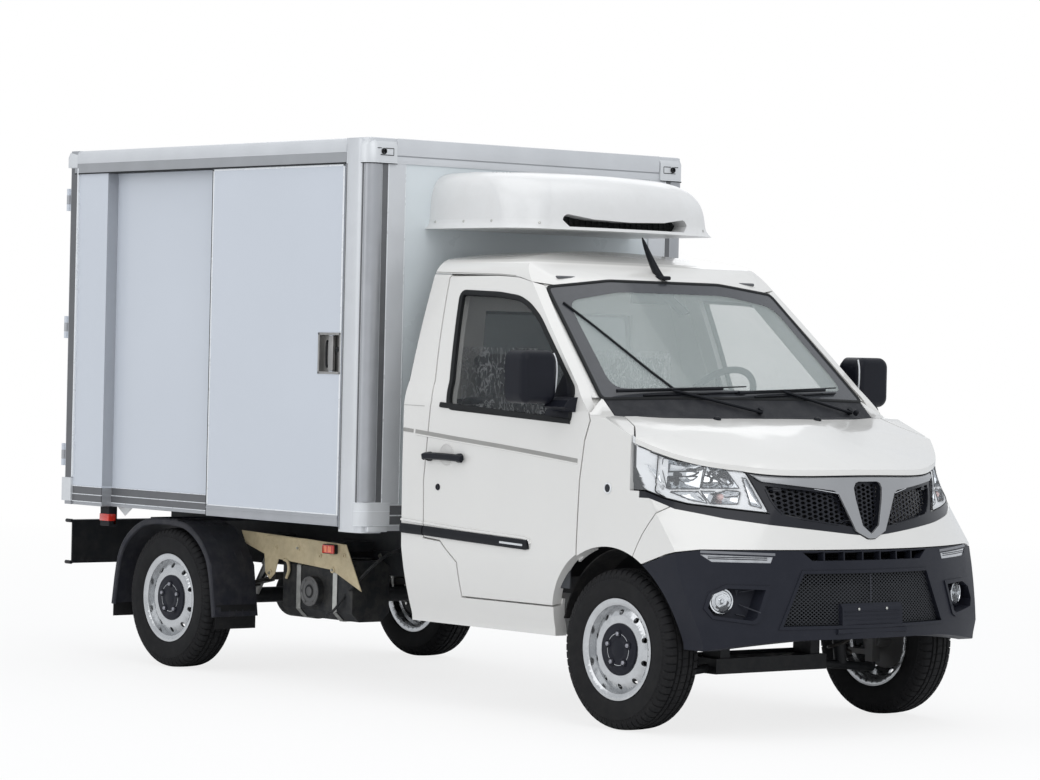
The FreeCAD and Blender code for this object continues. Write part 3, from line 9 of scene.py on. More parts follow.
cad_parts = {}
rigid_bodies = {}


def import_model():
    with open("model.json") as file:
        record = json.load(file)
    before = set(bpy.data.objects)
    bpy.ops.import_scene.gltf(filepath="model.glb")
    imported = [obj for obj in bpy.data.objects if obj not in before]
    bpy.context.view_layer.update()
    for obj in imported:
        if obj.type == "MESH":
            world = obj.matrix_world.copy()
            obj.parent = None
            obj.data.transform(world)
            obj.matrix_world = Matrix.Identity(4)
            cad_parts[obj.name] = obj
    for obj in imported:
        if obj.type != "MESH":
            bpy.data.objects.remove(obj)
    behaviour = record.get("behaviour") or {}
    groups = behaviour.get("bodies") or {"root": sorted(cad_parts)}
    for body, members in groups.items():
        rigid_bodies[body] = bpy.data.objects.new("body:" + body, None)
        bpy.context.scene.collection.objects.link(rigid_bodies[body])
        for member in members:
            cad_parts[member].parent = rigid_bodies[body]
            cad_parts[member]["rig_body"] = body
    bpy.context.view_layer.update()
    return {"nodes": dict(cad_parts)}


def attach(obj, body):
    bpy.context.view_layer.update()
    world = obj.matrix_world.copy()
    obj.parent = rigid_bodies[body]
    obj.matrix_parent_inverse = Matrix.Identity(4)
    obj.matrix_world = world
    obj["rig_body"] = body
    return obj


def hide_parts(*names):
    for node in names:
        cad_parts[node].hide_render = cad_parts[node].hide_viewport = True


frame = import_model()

# ---- Studio -------------------------------------------------------------------------------------
# A pale round floor of seamless paper under the truck, lit by large soft boxes.  The truck stands on it
# with its right-hand side and nose towards the camera.

FLOOR_RADIUS = 70
PAPER_SHADE, PAPER_WHITE = (0.86, 0.86, 0.86, 1), (0.89, 0.89, 0.89, 1)
# Seen directly, the paper glows this much under the truck, and fully past the far distance.
GLOW_SHARE, GLOW_NEAR, GLOW_FAR = 0.8, 3.0, 14.0
SKY_COLOUR, SKY_STRENGTH = (0.93, 0.96, 1.0, 1), 0.78
WHITE = (1, 1, 1, 1)
SOFT_BOXES = (
    ("key_box", (9.5, -3.0, 7.5), (0.5, 0, 1.2), 7.0, 250),
    ("side_box", (-1.5, -10.5, 5.5), (-0.5, 0, 1.2), 8.0, 200),
    ("top_box", (-0.5, 0.5, 9.0), (-0.3, 0, 0), 8.0, 180),
    ("back_box", (-8.0, 7.0, 6.0), (-0.5, 0, 1.2), 6.0, 90),
)
CAMERA_PLACE, FOCAL_MM, SENSOR_MM = (12.0911, -10.0283, 1.43656), 126.87, 36
YAW, PITCH, ROLL = 0.872817, 0.01058, 0.022609
scene = bpy.context.scene
scene.view_settings.view_transform = "Standard"


def add_object(name, data):
    piece = bpy.data.objects.new(name, data)
    scene.collection.objects.link(piece)
    return piece


def plug(tree, node, sockets):
    """Gives a node's sockets their values, or the outputs that feed them."""
    for name, value in sockets.items():
        if isinstance(value, bpy.types.NodeSocket):
            tree.links.new(value, node.inputs[name])
        else:
            node.inputs[name].default_value = value


def added(tree, kind, sockets=None, **settings):
    """A new shader node."""
    node = tree.nodes.new("ShaderNode" + kind)
    for name, value in settings.items():
        setattr(node, name, value)
    plug(tree, node, sockets or {})
    return node


def blank_material(name):
    material = bpy.data.materials.new(name)
    material.use_nodes = True
    return material, material.node_tree, material.node_tree.nodes["Principled BSDF"]


def aim(place, target):
    return (Vector(target) - Vector(place)).to_track_quat("-Z", "Y").to_matrix().to_4x4()


paper, tree, shader = blank_material("studio_paper")
fibre = added(tree, "TexNoise", {"Scale": 3.0})
tone = added(tree, "ValToRGB", {"Fac": fibre.outputs["Fac"]})
tone.color_ramp.elements[0].color, tone.color_ramp.elements[1].color = PAPER_SHADE, PAPER_WHITE
plug(tree, shader, {"Roughness": 0.9, "Specular IOR Level": 0.1, "Base Color": tone.outputs["Color"]})
glow = added(tree, "Emission", {"Color": WHITE})
direct = added(tree, "LightPath")
shown = added(tree, "MixShader")
share = added(tree, "Math", operation="MULTIPLY")
spread = added(tree, "TexCoord")
reach = added(tree, "VectorMath", {"Vector": spread.outputs["Object"]}, operation="LENGTH")
fade = added(tree, "MapRange", {"From Min": GLOW_NEAR, "From Max": GLOW_FAR, "To Min": GLOW_SHARE,
                                "To Max": 1.0, "Value": reach.outputs["Value"]})
tree.links.new(direct.outputs["Is Camera Ray"], share.inputs[0])
tree.links.new(fade.outputs["Result"], share.inputs[1])
for socket, source in enumerate((share, shader, glow)):
    tree.links.new(source.outputs[0], shown.inputs[socket])
plug(tree, tree.nodes["Material Output"], {"Surface": shown.outputs[0]})

ground = bmesh.new()
bmesh.ops.create_circle(ground, cap_ends=True, segments=96, radius=FLOOR_RADIUS)
floor_mesh = bpy.data.meshes.new("studio_floor")
ground.to_mesh(floor_mesh)
ground.free()
floor_mesh.materials.append(paper)
add_object("studio_floor", floor_mesh)

scene.world = bpy.data.worlds.new("soft_sky")
scene.world.use_nodes = True
tree = scene.world.node_tree
sky = tree.nodes["Background"]
plug(tree, sky, {"Color": SKY_COLOUR, "Strength": SKY_STRENGTH})
seen = added(tree, "Background", {"Color": WHITE, "Strength": 1.0})
path = added(tree, "LightPath")
either = added(tree, "Math", operation="MAXIMUM")
tree.links.new(path.outputs["Is Camera Ray"], either.inputs[0])
tree.links.new(path.outputs["Is Transmission Ray"], either.inputs[1])
choose = added(tree, "MixShader")
for socket, source in enumerate((either, sky, seen)):
    tree.links.new(source.outputs[0], choose.inputs[socket])
plug(tree, tree.nodes["World Output"], {"Surface": choose.outputs[0]})

for name, place, target, size, watts in SOFT_BOXES:
    lamp = bpy.data.lights.new(name, "AREA")
    lamp.shape = "SQUARE"
    lamp.size = size
    lamp.energy = watts
    add_object(name, lamp).matrix_world = Matrix.Translation(place) @ aim(place, target)

view_line = Vector((-math.sin(YAW) * math.cos(PITCH), math.cos(YAW) * math.cos(PITCH), -math.sin(PITCH)))
level = Vector((math.cos(YAW), math.sin(YAW), 0))
upright = level.cross(view_line)
right_hand = math.cos(ROLL) * level + math.sin(ROLL) * upright
camera_up = -math.sin(ROLL) * level + math.cos(ROLL) * upright
lens = bpy.data.cameras.new("camera")
lens.sensor_width = SENSOR_MM
lens.lens = FOCAL_MM
lens.clip_end = 200
camera = add_object("camera", lens)
facing = Matrix((right_hand, camera_up, -view_line)).transposed().to_4x4()
camera.matrix_world = Matrix.Translation(CAMERA_PLACE) @ facing
scene.camera = camera

# ---- Ladder frame -------------------------------------------------------------------------------
# Two pressed steel rails joined by crossmembers, painted black before anything is hung on them.
# Hex bolts hold the subframe, the outriggers and the shackles to the rails.

FRONT_AXLE, REAR_AXLE = 1.655, -1.345
SIDES = ((-1, "right"), (1, "left"))
DARK_COLOUR = 0.1
UP = Vector((0, 0, 1))


def from_axle(ahead, across, up):
    """A place on the truck given beside the front axle."""
    return Vector((FRONT_AXLE + ahead, across, up))


def coat(name, colour, rough, metallic=0.0, vary=0.04, patch=6.0, relief=None, clear=0.0, dust=None):
    """A sprayed or moulded surface: colour that wanders a little, uneven gloss, a fine relief given as
    its strength and scale, and dust given as its colour and amount."""
    material, tree, shader = blank_material(name)
    dull = not metallic and max(colour) <= DARK_COLOUR
    plug(tree, shader, {"Metallic": metallic, "Coat Weight": clear, "Coat Roughness": 0.06,
                        "Specular IOR Level": 0.16 if dull else 0.5})
    place = added(tree, "TexCoord").outputs["Object"]
    cloud = added(tree, "TexNoise", {"Scale": patch, "Detail": 6, "Vector": place}).outputs["Fac"]
    tone = added(tree, "ValToRGB", {"Fac": cloud})
    low, high = tone.color_ramp.elements
    low.position, high.position = 0.3, 0.7
    low.color = (*[c * (1 - vary) for c in colour], 1)
    high.color = (*[min(1, c * (1 + vary)) for c in colour], 1)
    paint = tone.outputs["Color"]
    if dust:
        film = added(tree, "TexNoise", {"Scale": patch * 2.7, "Detail": 10, "Roughness": 0.7,
                                        "Vector": place})
        settle = added(tree, "MapRange", {"From Min": 0.42, "From Max": 0.75, "To Max": dust[3],
                                          "Value": film.outputs["Fac"]})
        mix = added(tree, "Mix", data_type="RGBA")
        plug(tree, mix, {"B": (*dust[:3], 1), "Factor": settle.outputs["Result"], "A": paint})
        paint = mix.outputs["Result"]
    gloss = added(tree, "MapRange", {"To Min": rough * 0.82, "To Max": min(1, rough * 1.2), "Value": cloud})
    plug(tree, shader, {"Base Color": paint, "Roughness": gloss.outputs["Result"]})
    if relief:
        grain = added(tree, "TexNoise", {"Scale": relief[1], "Detail": 3, "Vector": place})
        bump = added(tree, "Bump", {"Strength": relief[0], "Distance": 0.001, "Height": grain.outputs["Fac"]})
        plug(tree, shader, {"Normal": bump.outputs["Normal"]})
    return material


def smooth(mesh):
    for face in mesh.polygons:
        face.use_smooth = True


def finished(node, material, bevel=0.002, angle=32, segments=2):
    """A copy of a CAD piece with its edges eased, which stands for the plain solid."""
    source = frame["nodes"][node]
    mesh = source.data.copy()
    mesh.name = node + "_finished"
    shape = bmesh.new()
    shape.from_mesh(mesh)
    bmesh.ops.remove_doubles(shape, verts=shape.verts, dist=2e-5)
    bmesh.ops.dissolve_limit(shape, angle_limit=math.radians(0.6), verts=shape.verts, edges=shape.edges)
    shape.to_mesh(mesh)
    shape.free()
    mesh.materials.clear()
    mesh.materials.append(material)
    smooth(mesh)
    piece = add_object(mesh.name, mesh)
    ease = piece.modifiers.new("eased_edges", "BEVEL")
    ease.width = bevel
    ease.segments = segments
    ease.limit_method = "ANGLE"
    ease.angle_limit = math.radians(angle)
    ease.harden_normals = True
    even = piece.modifiers.new("even_shading", "WEIGHTED_NORMAL")
    even.keep_sharp = True
    even.mode = "FACE_AREA_WITH_ANGLE"
    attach(piece, source["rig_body"])
    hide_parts(node)


def placed(name, shape, material, body="vehicle", flat=False):
    """Turns a bmesh into a finished piece that rides on a body."""
    mesh = bpy.data.meshes.new(name)
    bmesh.ops.recalc_face_normals(shape, faces=shape.faces)
    shape.to_mesh(mesh)
    shape.free()
    mesh.materials.append(material)
    if not flat:
        smooth(mesh)
        mesh.set_sharp_from_angle(angle=math.radians(35))
    piece = add_object(name, mesh)
    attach(piece, body)
    return piece


def spun(radius, step, steps):
    """A point on a circle, some of its steps round."""
    turn = 2 * math.pi * step / steps
    return radius * math.cos(turn), radius * math.sin(turn)


def joined(shape, loops, closed=False):
    """Skins the faces between loops of vertices, each as long as the next."""
    for low, high in list(zip(loops, loops[1:])) + ([(loops[-1], loops[0])] if closed else []):
        for i in range(len(low)):
            j = (i + 1) % len(low)
            shape.faces.new((low[i], low[j], high[j], high[i]))


def turned_into(shape, rings, place, axis, sides=24, closed=False):
    """Adds a turned form: (radius, distance along the axis) rings about an axis through a place."""
    turn = UP.rotation_difference(Vector(axis).normalized()).to_matrix().to_4x4()
    turn = Matrix.Translation(place) @ turn
    loops = []
    for radius, along in rings:
        count = sides if radius > 1e-6 else 1
        loops.append([shape.verts.new(turn @ Vector((*spun(radius, i, sides), along))) for i in range(count)])
    for low, high in list(zip(loops, loops[1:])) + ([(loops[-1], loops[0])] if closed else []):
        if len(low) == len(high) > 1:
            joined(shape, (low, high))
        elif len(high) > 1:
            for i in range(sides):
                shape.faces.new((low[0], high[(i + 1) % sides], high[i]))
        elif len(low) > 1:
            for i in range(sides):
                shape.faces.new((low[i], low[(i + 1) % sides], high[0]))
    return shape


def hex_heads(name, places, axis, across, tall):
    """Zinc bolt heads with washers, standing on a face whose outward normal is the axis."""
    shape = bmesh.new()
    for place in places:
        turned_into(shape, ((0, 0), (across * 0.95, 0), (across * 0.95, tall * 0.22), (0, tall * 0.22)),
                    place, axis, 20)
        turned_into(shape, ((0, tall * 0.2), (across * 0.62, tall * 0.2), (across * 0.62, tall * 0.85),
                            (across * 0.52, tall), (0, tall)), place, axis, 6)
    placed(name, shape, zinc_bolt)


black_frame_paint = coat("black_frame_paint", (0.018, 0.019, 0.021), 0.42, vary=0.2, relief=(0.25, 120),
                         dust=(0.1, 0.095, 0.085, 0.18))
zinc_bolt = coat("zinc_bolt", (0.55, 0.55, 0.52), 0.38, metallic=1, vary=0.12, patch=40)
RAIL_FACE, BOLT_PLACES = 0.3203, (-3.72, -3.38, -3.05, -2.85, -2.45, -2.05, -1.75, -0.55, -0.25, 0.12, 0.4)
finished("chassis_frame", black_frame_paint, 0.003)
for side, label in SIDES:
    places = [from_axle(ahead, side * RAIL_FACE, up) for ahead in BOLT_PLACES for up in (0.48, 0.54)]
    hex_heads(label + "_rail_bolts", places, (0, side, 0), 0.012, 0.009)

# ---- Springs, axles and steering ----------------------------------------------------------------
# Forged and pressed steel, painted black: multi-leaf springs clamped to the rear axle with U-bolts, and
# a front crossbeam that carries the arms, dampers and rack.

AHEAD = Vector((1, 0, 0))


def box_in(shape, low, high, ease=0.002, segments=2):
    """Adds a block with eased edges."""
    made = bmesh.ops.create_cube(shape, size=1)["verts"]
    for vert in made:
        vert.co = Vector([low[i] + (vert.co[i] + 0.5) * (high[i] - low[i]) for i in range(3)])
    edges = {edge for vert in made for edge in vert.link_edges}
    bmesh.ops.bevel(shape, geom=list(edges), offset=ease, segments=segments, affect="EDGES", profile=0.5)
    return shape


def side_box(shape, side, x, y, z, ease=0.001, segments=2):
    """Adds a block on one side, given as its reach ahead, outwards from the middle, and up."""
    low, high = sorted((side * y[0], side * y[1]))
    return box_in(shape, (x[0], low, z[0]), (x[1], high, z[1]), ease, segments)


def raised(foot, base, crest, height):
    """The section of a low strip: half its width and its level at the foot, and both at the crest."""
    return [(-foot, base), (foot, base), (crest, height), (-crest, height)]


def swept_in(shape, path, normals, section, closed=False):
    """Sweeps a section of (across, up) points along a path; up follows the normals."""
    loops, count = [], len(path)
    for i, (spot, normal) in enumerate(zip(path, normals)):
        before = path[i - 1] if i or closed else spot
        after = path[(i + 1) % count] if i < count - 1 or closed else spot
        one, two = spot - before, after - spot
        one = one.normalized() if one.length > 1e-9 else two.normalized()
        two = two.normalized() if two.length > 1e-9 else one
        along = (one + two).normalized()
        across = along.cross(normal).normalized()
        up = across.cross(along).normalized()
        miter = min(1.6, 1 / max(0.3, along.dot(two)))
        loops.append([shape.verts.new(spot + across * a * miter + up * n) for a, n in section])
    joined(shape, loops, closed)
    if not closed:
        shape.faces.new(loops[0])
        shape.faces.new(loops[-1])
    return shape


def tube_in(shape, points, radius, sides=10, closed=False):
    """Adds a round tube along a path."""
    path = [Vector(point) for point in points]
    normal = (path[1] - path[0]).normalized().orthogonal().normalized()
    normals = []
    for i in range(len(path)):
        along = (path[min(i + 1, len(path) - 1)] - path[max(i - 1, 0)]).normalized()
        normal = (normal - along * normal.dot(along)).normalized()
        normals.append(normal)
    return swept_in(shape, path, normals, [spun(radius, i, sides) for i in range(sides)], closed)


def runs_of(points, closed):
    """A line's straight runs, as pairs of ends."""
    return list(zip(points, points[1:] + (points[:1] if closed else [])))


def rounded(points, times=2, closed=False):
    """A path with its corners cut round."""
    points = [Vector(point) for point in points]
    for _ in range(times):
        cut = [a.lerp(b, share) for a, b in runs_of(points, closed) for share in (0.25, 0.75)]
        points = cut if closed else [points[0]] + cut[1:-1] + [points[-1]]
    return points


def eased(points, radius, closed=False):
    """Rounds a line's corners to about one radius and leaves its straight runs alone."""
    points = [Vector(point) for point in points]
    count, line = len(points), []
    for i, point in enumerate(points):
        if not closed and i in (0, count - 1):
            line.append(point)
            continue
        before, after = points[i - 1], points[(i + 1) % count]
        reach = min(radius, (before - point).length * 0.45, (after - point).length * 0.45)
        start = point + (before - point).normalized() * reach
        end = point + (after - point).normalized() * reach
        for k in range(6):
            share = k / 5
            line.append(start.lerp(point, share).lerp(point.lerp(end, share), share))
    return line


def resampled(points, step, closed=False):
    """A path with points no further apart than a step, with every corner kept."""
    points = [Vector(point) for point in points]
    out = []
    for a, b in runs_of(points, closed):
        runs = max(1, math.ceil((b - a).length / step))
        out += [a.lerp(b, k / runs) for k in range(runs)]
    return out if closed else out + [points[-1]]


spring_black = coat("spring_black", (0.03, 0.028, 0.027), 0.48, vary=0.25, relief=(0.3, 160),
                    dust=(0.17, 0.15, 0.12, 0.3))
cast_grey = coat("cast_grey", (0.14, 0.14, 0.14), 0.55, metallic=0.6, vary=0.15, relief=(0.5, 220),
                 dust=(0.16, 0.14, 0.12, 0.3))
LEAVES, LEAF_THICK, SPRING_OUT, WHEEL_R = 4, 0.0078, 0.495, 0.309
SPRING_LINE = ((0.455, 0.434), (0.36, 0.409), (0.2, 0.383), (0.0, 0.366), (-0.2, 0.382), (-0.38, 0.417),
               (-0.478, 0.445))
spring_line = [from_axle(-3.0 + ahead, 0, up) for ahead, up in SPRING_LINE]
for side, label in SIDES:
    middle = side * SPRING_OUT
    leaves = bmesh.new()
    for leaf in range(LEAVES):
        trim = 0.0 if leaf == 0 else 0.07 + 0.1 * (leaf - 1)
        line = resampled(rounded([Vector((p.x, middle, p.z - 0.004 - leaf * LEAF_THICK))
                                  for p in spring_line]), 0.03)
        kept = [p for p in line if abs(p.x - REAR_AXLE) < 0.47 - trim]
        swept_in(leaves, kept, [UP] * len(kept), [(-0.029, -0.0035), (0.029, -0.0035), (0.03, 0),
                                                  (0.029, 0.0035), (-0.029, 0.0035), (-0.03, 0)])
    for end in (spring_line[0], spring_line[-1]):
        turned_into(leaves, ((0.008, -0.031), (0.017, -0.031), (0.017, 0.031), (0.008, 0.031)),
                    (end.x, middle, end.z - 0.006), (0, 1, 0), 20, closed=True)
    box_in(leaves, (REAR_AXLE - 0.065, middle - 0.034, 0.3445), (REAR_AXLE + 0.065, middle + 0.034, 0.3475),
           0.001)
    built = placed(label + "_leaf_spring", leaves, spring_black)
    if side < 0:
        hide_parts("leaf_springs")
    clamps = bmesh.new()
    for ahead in (REAR_AXLE - 0.048, REAR_AXLE + 0.048):
        for across in (middle - 0.036, middle + 0.036):
            turned_into(clamps, ((0, 0), (0.0055, 0), (0.0055, 0.11), (0.0095, 0.11), (0.0095, 0.117),
                                 (0, 0.117)), (ahead, across, 0.262), UP, 12)
        bend = ((-0.036, 0.372), (-0.03, 0.3765), (0.03, 0.3765), (0.036, 0.372))
        tube_in(clamps, [(ahead, middle + across, up) for across, up in bend], 0.0055)
    placed(label + "_u_bolts", clamps, zinc_bolt)

for node, material, ease in (("rear_axle", black_frame_paint, 0.004),
                             ("prop_shaft", black_frame_paint, 0.002),
                             ("front_suspension", black_frame_paint, 0.003),
                             ("right_knuckle", cast_grey, 0.003), ("left_knuckle", cast_grey, 0.003),
                             ("engine_block", cast_grey, 0.006)):
    finished(node, material, ease)
joints = bmesh.new()
for ahead, up in ((-1.8, 0.394), (-2.76, 0.316)):
    turned_into(joints, ((0.03, -0.045), (0.041, -0.04), (0.041, -0.02), (0.034, -0.01), (0.041, 0.01),
                         (0.041, 0.03), (0.032, 0.036)), from_axle(ahead, 0, up), (1, 0, 0.09), 24)
turned_into(joints, ((0.0, -0.009), (0.07, -0.009), (0.078, 0.0), (0.07, 0.012), (0.0, 0.012)),
            from_axle(-2.905, 0, 0.309), AHEAD, 32)
placed("shaft_joints", joints, cast_grey)
COIL_TURNS, COIL_STEPS, COIL_RADIUS = 6, 16, 0.045
for side, label in SIDES:
    low, high = from_axle(0, side * 0.436, 0.25), from_axle(0, side * 0.38, 0.63)
    lean = (high - low).normalized()
    aside = lean.orthogonal().normalized()
    ahead = lean.cross(aside)
    coil = []
    for k in range(COIL_TURNS * COIL_STEPS + 1):
        a, b = spun(1, k, COIL_STEPS)
        coil.append(low.lerp(high, k / (COIL_TURNS * COIL_STEPS)) + (aside * a + ahead * b) * COIL_RADIUS)
    placed(label + "_coil_spring", tube_in(bmesh.new(), coil, 0.006, 8), spring_black)
    drum = bmesh.new()
    for count in range(8):
        ahead, up = spun(0.095, count, 8)
        turned_into(drum, ((0, 0), (0.007, 0), (0.007, 0.006), (0, 0.006)),
                    (REAR_AXLE + ahead, side * 0.635, WHEEL_R + up), (0, -side, 0), 6)
    placed(label + "_drum_bolts", drum, zinc_bolt)

# ---- Engine, exhaust, tank and cables -----------------------------------------------------------
# What hangs between and beside the rails: the power unit as one block, an aluminised steel exhaust and
# a steel tank with its round valve plate under the load box.

aluminised = coat("aluminised", (0.42, 0.42, 0.41), 0.42, metallic=0.85, vary=0.2, patch=14,
                  relief=(0.2, 140), dust=(0.26, 0.2, 0.15, 0.4))
tank_black = coat("tank_black", (0.02, 0.021, 0.023), 0.38, vary=0.2, relief=(0.2, 180),
                  dust=(0.15, 0.14, 0.12, 0.3))
finished("exhaust", aluminised, 0.004)
bands = bmesh.new()
for ahead in (-2.08, -1.66):
    turned_into(bands, ((0.0755, -0.012), (0.0785, -0.012), (0.0785, 0.012), (0.0755, 0.012)),
                from_axle(ahead, 0.384, 0.42), AHEAD, 40, closed=True)
placed("muffler_bands", bands, zinc_bolt)
finished("gas_tank", tank_black, 0.012, segments=4)
STRAP_LINE = ((-0.322, 0.527), (-0.361, 0.5275), (-0.4805, 0.5275), (-0.5225, 0.486), (-0.5225, 0.299),
              (-0.481, 0.2595), (-0.36, 0.2595), (-0.322, 0.296))
straps = bmesh.new()
for ahead in (-2.36, -2.1):
    ring = [from_axle(ahead, across, up) for across, up in STRAP_LINE]
    middle = from_axle(ahead, -0.42, 0.39)
    swept_in(straps, ring, [(p - middle).normalized() for p in ring], raised(0.014, 0, 0.014, 0.0018))
placed("tank_straps", straps, zinc_bolt)
valve = bmesh.new()
spot = from_axle(-2.24, -0.555, 0.381)
turned_into(valve, ((0.03, -0.002), (0.064, -0.002), (0.064, 0.003), (0.058, 0.005), (0.05, 0.002),
                    (0.046, 0.004), (0.036, 0.004), (0.03, 0.0015)), spot, (0, -1, 0), 48, closed=True)
for count in range(6):
    ahead, up = spun(0.054, count, 6)
    turned_into(valve, ((0, 0), (0.006, 0), (0.006, 0.006), (0, 0.006)), spot + Vector((ahead, 0, up)),
                (0, -1, 0), 6)
turned_into(valve, ((0.0, 0.0), (0.02, 0.0), (0.02, 0.004), (0.012, 0.006), (0, 0.006)), spot, (0, -1, 0), 24)
placed("tank_valve_ring", valve, cast_grey)
HOSES = ((((-2.03, -0.36, 0.5), (-2.02, -0.45, 0.44), (-2.03, -0.53, 0.37), (-2.07, -0.545, 0.31),
           (-2.13, -0.54, 0.285)), 0.006), (((-1.88, -0.3, 0.59), (-1.9, -0.42, 0.55), (-1.93, -0.5, 0.47),
                                             (-1.99, -0.53, 0.4)), 0.007),
         (((-2.66, -0.33, 0.56), (-2.66, -0.42, 0.52), (-2.69, -0.45, 0.45), (-2.72, -0.46, 0.4)), 0.006),)
hoses = bmesh.new()
for route, radius in HOSES:
    tube_in(hoses, resampled(rounded([from_axle(*point) for point in route]), 0.01), radius)
placed("frame_hoses", hoses, tank_black)
dampers = bmesh.new()
for side in (-1, 1):
    low, high = from_axle(-2.77, side * 0.46, 0.34), from_axle(-2.7, side * 0.4, 0.55)
    turned_into(dampers, ((0, 0), (0.02, 0), (0.02, 0.13), (0.027, 0.13), (0.027, 0.232), (0, 0.232)), low,
                high - low, 24)
placed("rear_dampers", dampers, aluminised)

# ---- Wheels -------------------------------------------------------------------------------------
# Four tubeless commercial tyres on pressed steel wheels: a rolled rim, a dish with round vent holes
# and a black plastic cap over the hub that leaves the five nuts showing.

tyre_rubber = coat("tyre_rubber", (0.013, 0.013, 0.014), 0.74, vary=0.18, patch=9, relief=(0.35, 420),
                   dust=(0.04, 0.038, 0.035, 0.25))
silver_wheel_paint = coat("silver_wheel_paint", (0.56, 0.57, 0.58), 0.2, metallic=0.92, vary=0.06, patch=12,
                          relief=(0.1, 500), dust=(0.22, 0.21, 0.2, 0.15))
hub_cap_plastic = coat("hub_cap_plastic", (0.01, 0.011, 0.017), 0.36, vary=0.12, patch=20, relief=(0.1, 600))
nut_cap_metal = coat("nut_cap_metal", (0.3, 0.3, 0.33), 0.3, metallic=0.8, vary=0.1, patch=60)

TREAD_HALF, BLOCKS, TRACK_HALF = 0.066, 62, 0.69
# Across the tyre from the centre line outward: distance, radius and what is moulded there.
HALF_SECTION = (
    (0.004, 0.309, "rib"), (0.013, 0.309, "rib"), (0.0145, 0.302, "well"), (0.0205, 0.302, "well"),
    (0.022, 0.3088, "rib"), (0.036, 0.308, "rib"), (0.0375, 0.3005, "well"), (0.043, 0.3005, "well"),
    (0.0445, 0.3076, "block"), (0.056, 0.3062, "block"), (0.065, 0.3035, "block"), (0.0705, 0.2985, "block"),
    (0.0755, 0.2905, "block"), (0.0795, 0.281, "wall"), (0.0812, 0.278, "wall"), (0.0818, 0.27, "wall"),
    (0.0842, 0.267, "wall"), (0.085, 0.25, "wall"), (0.0848, 0.238, "wall"), (0.0836, 0.233, "wall"),
    (0.0832, 0.224, "wall"), (0.0808, 0.216, "wall"), (0.0796, 0.21, "wall"), (0.0768, 0.202, "wall"),
    (0.0735, 0.1975, "wall"), (0.07, 0.195, "wall"), (0.066, 0.188, "wall"), (0.064, 0.1782, "wall"))
PITCH_STEPS = (0.0, 0.03, 0.17, 0.2, 0.52, 0.545, 0.6, 0.625)
CUT_DEPTH = {"rib": 0.003, "block": 0.0055, "well": 0.0, "wall": 0.0}


def moulded_tyre(name, hub_centre, body):
    """One tyre, its tread blocks cut and turned pitch by pitch."""
    section = [(-d, r, k) for d, r, k in reversed(HALF_SECTION)] + list(HALF_SECTION)
    shape = bmesh.new()
    rows = []
    for block in range(BLOCKS):
        for step, part in enumerate(PITCH_STEPS):
            row = []
            for across, radius, kind in section:
                lean = 0.16 * across / TREAD_HALF if kind in ("rib", "block") else 0.0
                turn = 2 * math.pi * (block + part + lean) / BLOCKS
                deep = CUT_DEPTH[kind] if step in (1, 2) and kind == "block" else 0.0
                if kind == "rib" and step in (5, 6):
                    deep = CUT_DEPTH[kind]
                if kind == "wall" and 0.267 < radius < 0.279 and step in (1, 2, 5, 6):
                    deep = 0.0012
                if kind == "wall":
                    reach, out = radius, across - math.copysign(deep, across)
                else:
                    reach, out = radius - deep, across
                row.append(shape.verts.new((hub_centre[0] + reach * math.cos(turn), hub_centre[1] + out,
                                            hub_centre[2] + reach * math.sin(turn))))
            rows.append(row)
    for near, far in zip(rows, rows[1:] + rows[:1]):
        for i in range(len(section) - 1):
            shape.faces.new((near[i], near[i + 1], far[i + 1], far[i]))
        shape.faces.new((near[-1], near[0], far[0], far[-1]))
    return placed(name, shape, tyre_rubber, body)


for corner, hub_x, side in (("front_left", FRONT_AXLE, 1), ("front_right", FRONT_AXLE, -1),
                            ("rear_left", REAR_AXLE, 1), ("rear_right", REAR_AXLE, -1)):
    hub_centre, outward, body = Vector((hub_x, side * TRACK_HALF, WHEEL_R)), Vector((0, side,
        0)), corner + "_wheel"
    tyre = moulded_tyre(corner + "_moulded_tyre", hub_centre, body)
    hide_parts(corner + "_tyre")
    finished(corner + "_rim", silver_wheel_paint, 0.0012, angle=40)
    cap = bmesh.new()
    turned_into(cap, ((0.0, 0.052), (0.098, 0.052), (0.1005, 0.06), (0.0995, 0.064), (0.093, 0.0665),
                      (0.088, 0.0655), (0.084, 0.0668), (0.04, 0.069), (0.036, 0.0682), (0.03, 0.07),
                      (0.0, 0.0705)), hub_centre, outward, 64)
    nuts = bmesh.new()
    for count in range(5):
        ahead, up = spun(0.06, 1.25 + count, 5)
        spot = hub_centre + Vector((ahead, 0, up))
        turned_into(cap, ((0.0165, 0.066), (0.016, 0.0705), (0.013, 0.0712), (0.0118, 0.069), (0.0, 0.069)),
                    spot, outward, 24)
        turned_into(nuts, ((0.0098, 0.068), (0.0098, 0.0735), (0.0085, 0.076), (0.005, 0.0776), (0, 0.078)),
                    spot, outward, 6)
    placed(corner + "_hub_cap", cap, hub_cap_plastic, body)
    placed(corner + "_wheel_nuts", nuts, nut_cap_metal, body)
    stem = bmesh.new()
    foot = hub_centre + Vector((0.158, 0, 0))
    turned_into(stem, ((0.0, 0.03), (0.0065, 0.03), (0.006, 0.04), (0.004, 0.043), (0.004, 0.06),
                       (0.0046, 0.061), (0.0046, 0.068), (0, 0.069)), foot, (0.35, side, 0), 16)
    placed(corner + "_valve", stem, tyre_rubber, body)

# ---- Hangers, mudguards, liners and rear beam ---------------------------------------------------
# Primer-coated spring hangers of thick plate, black plastic mudguards on steel stays, moulded arch
# liners, and the pressed steel underrun beam with its lamps.

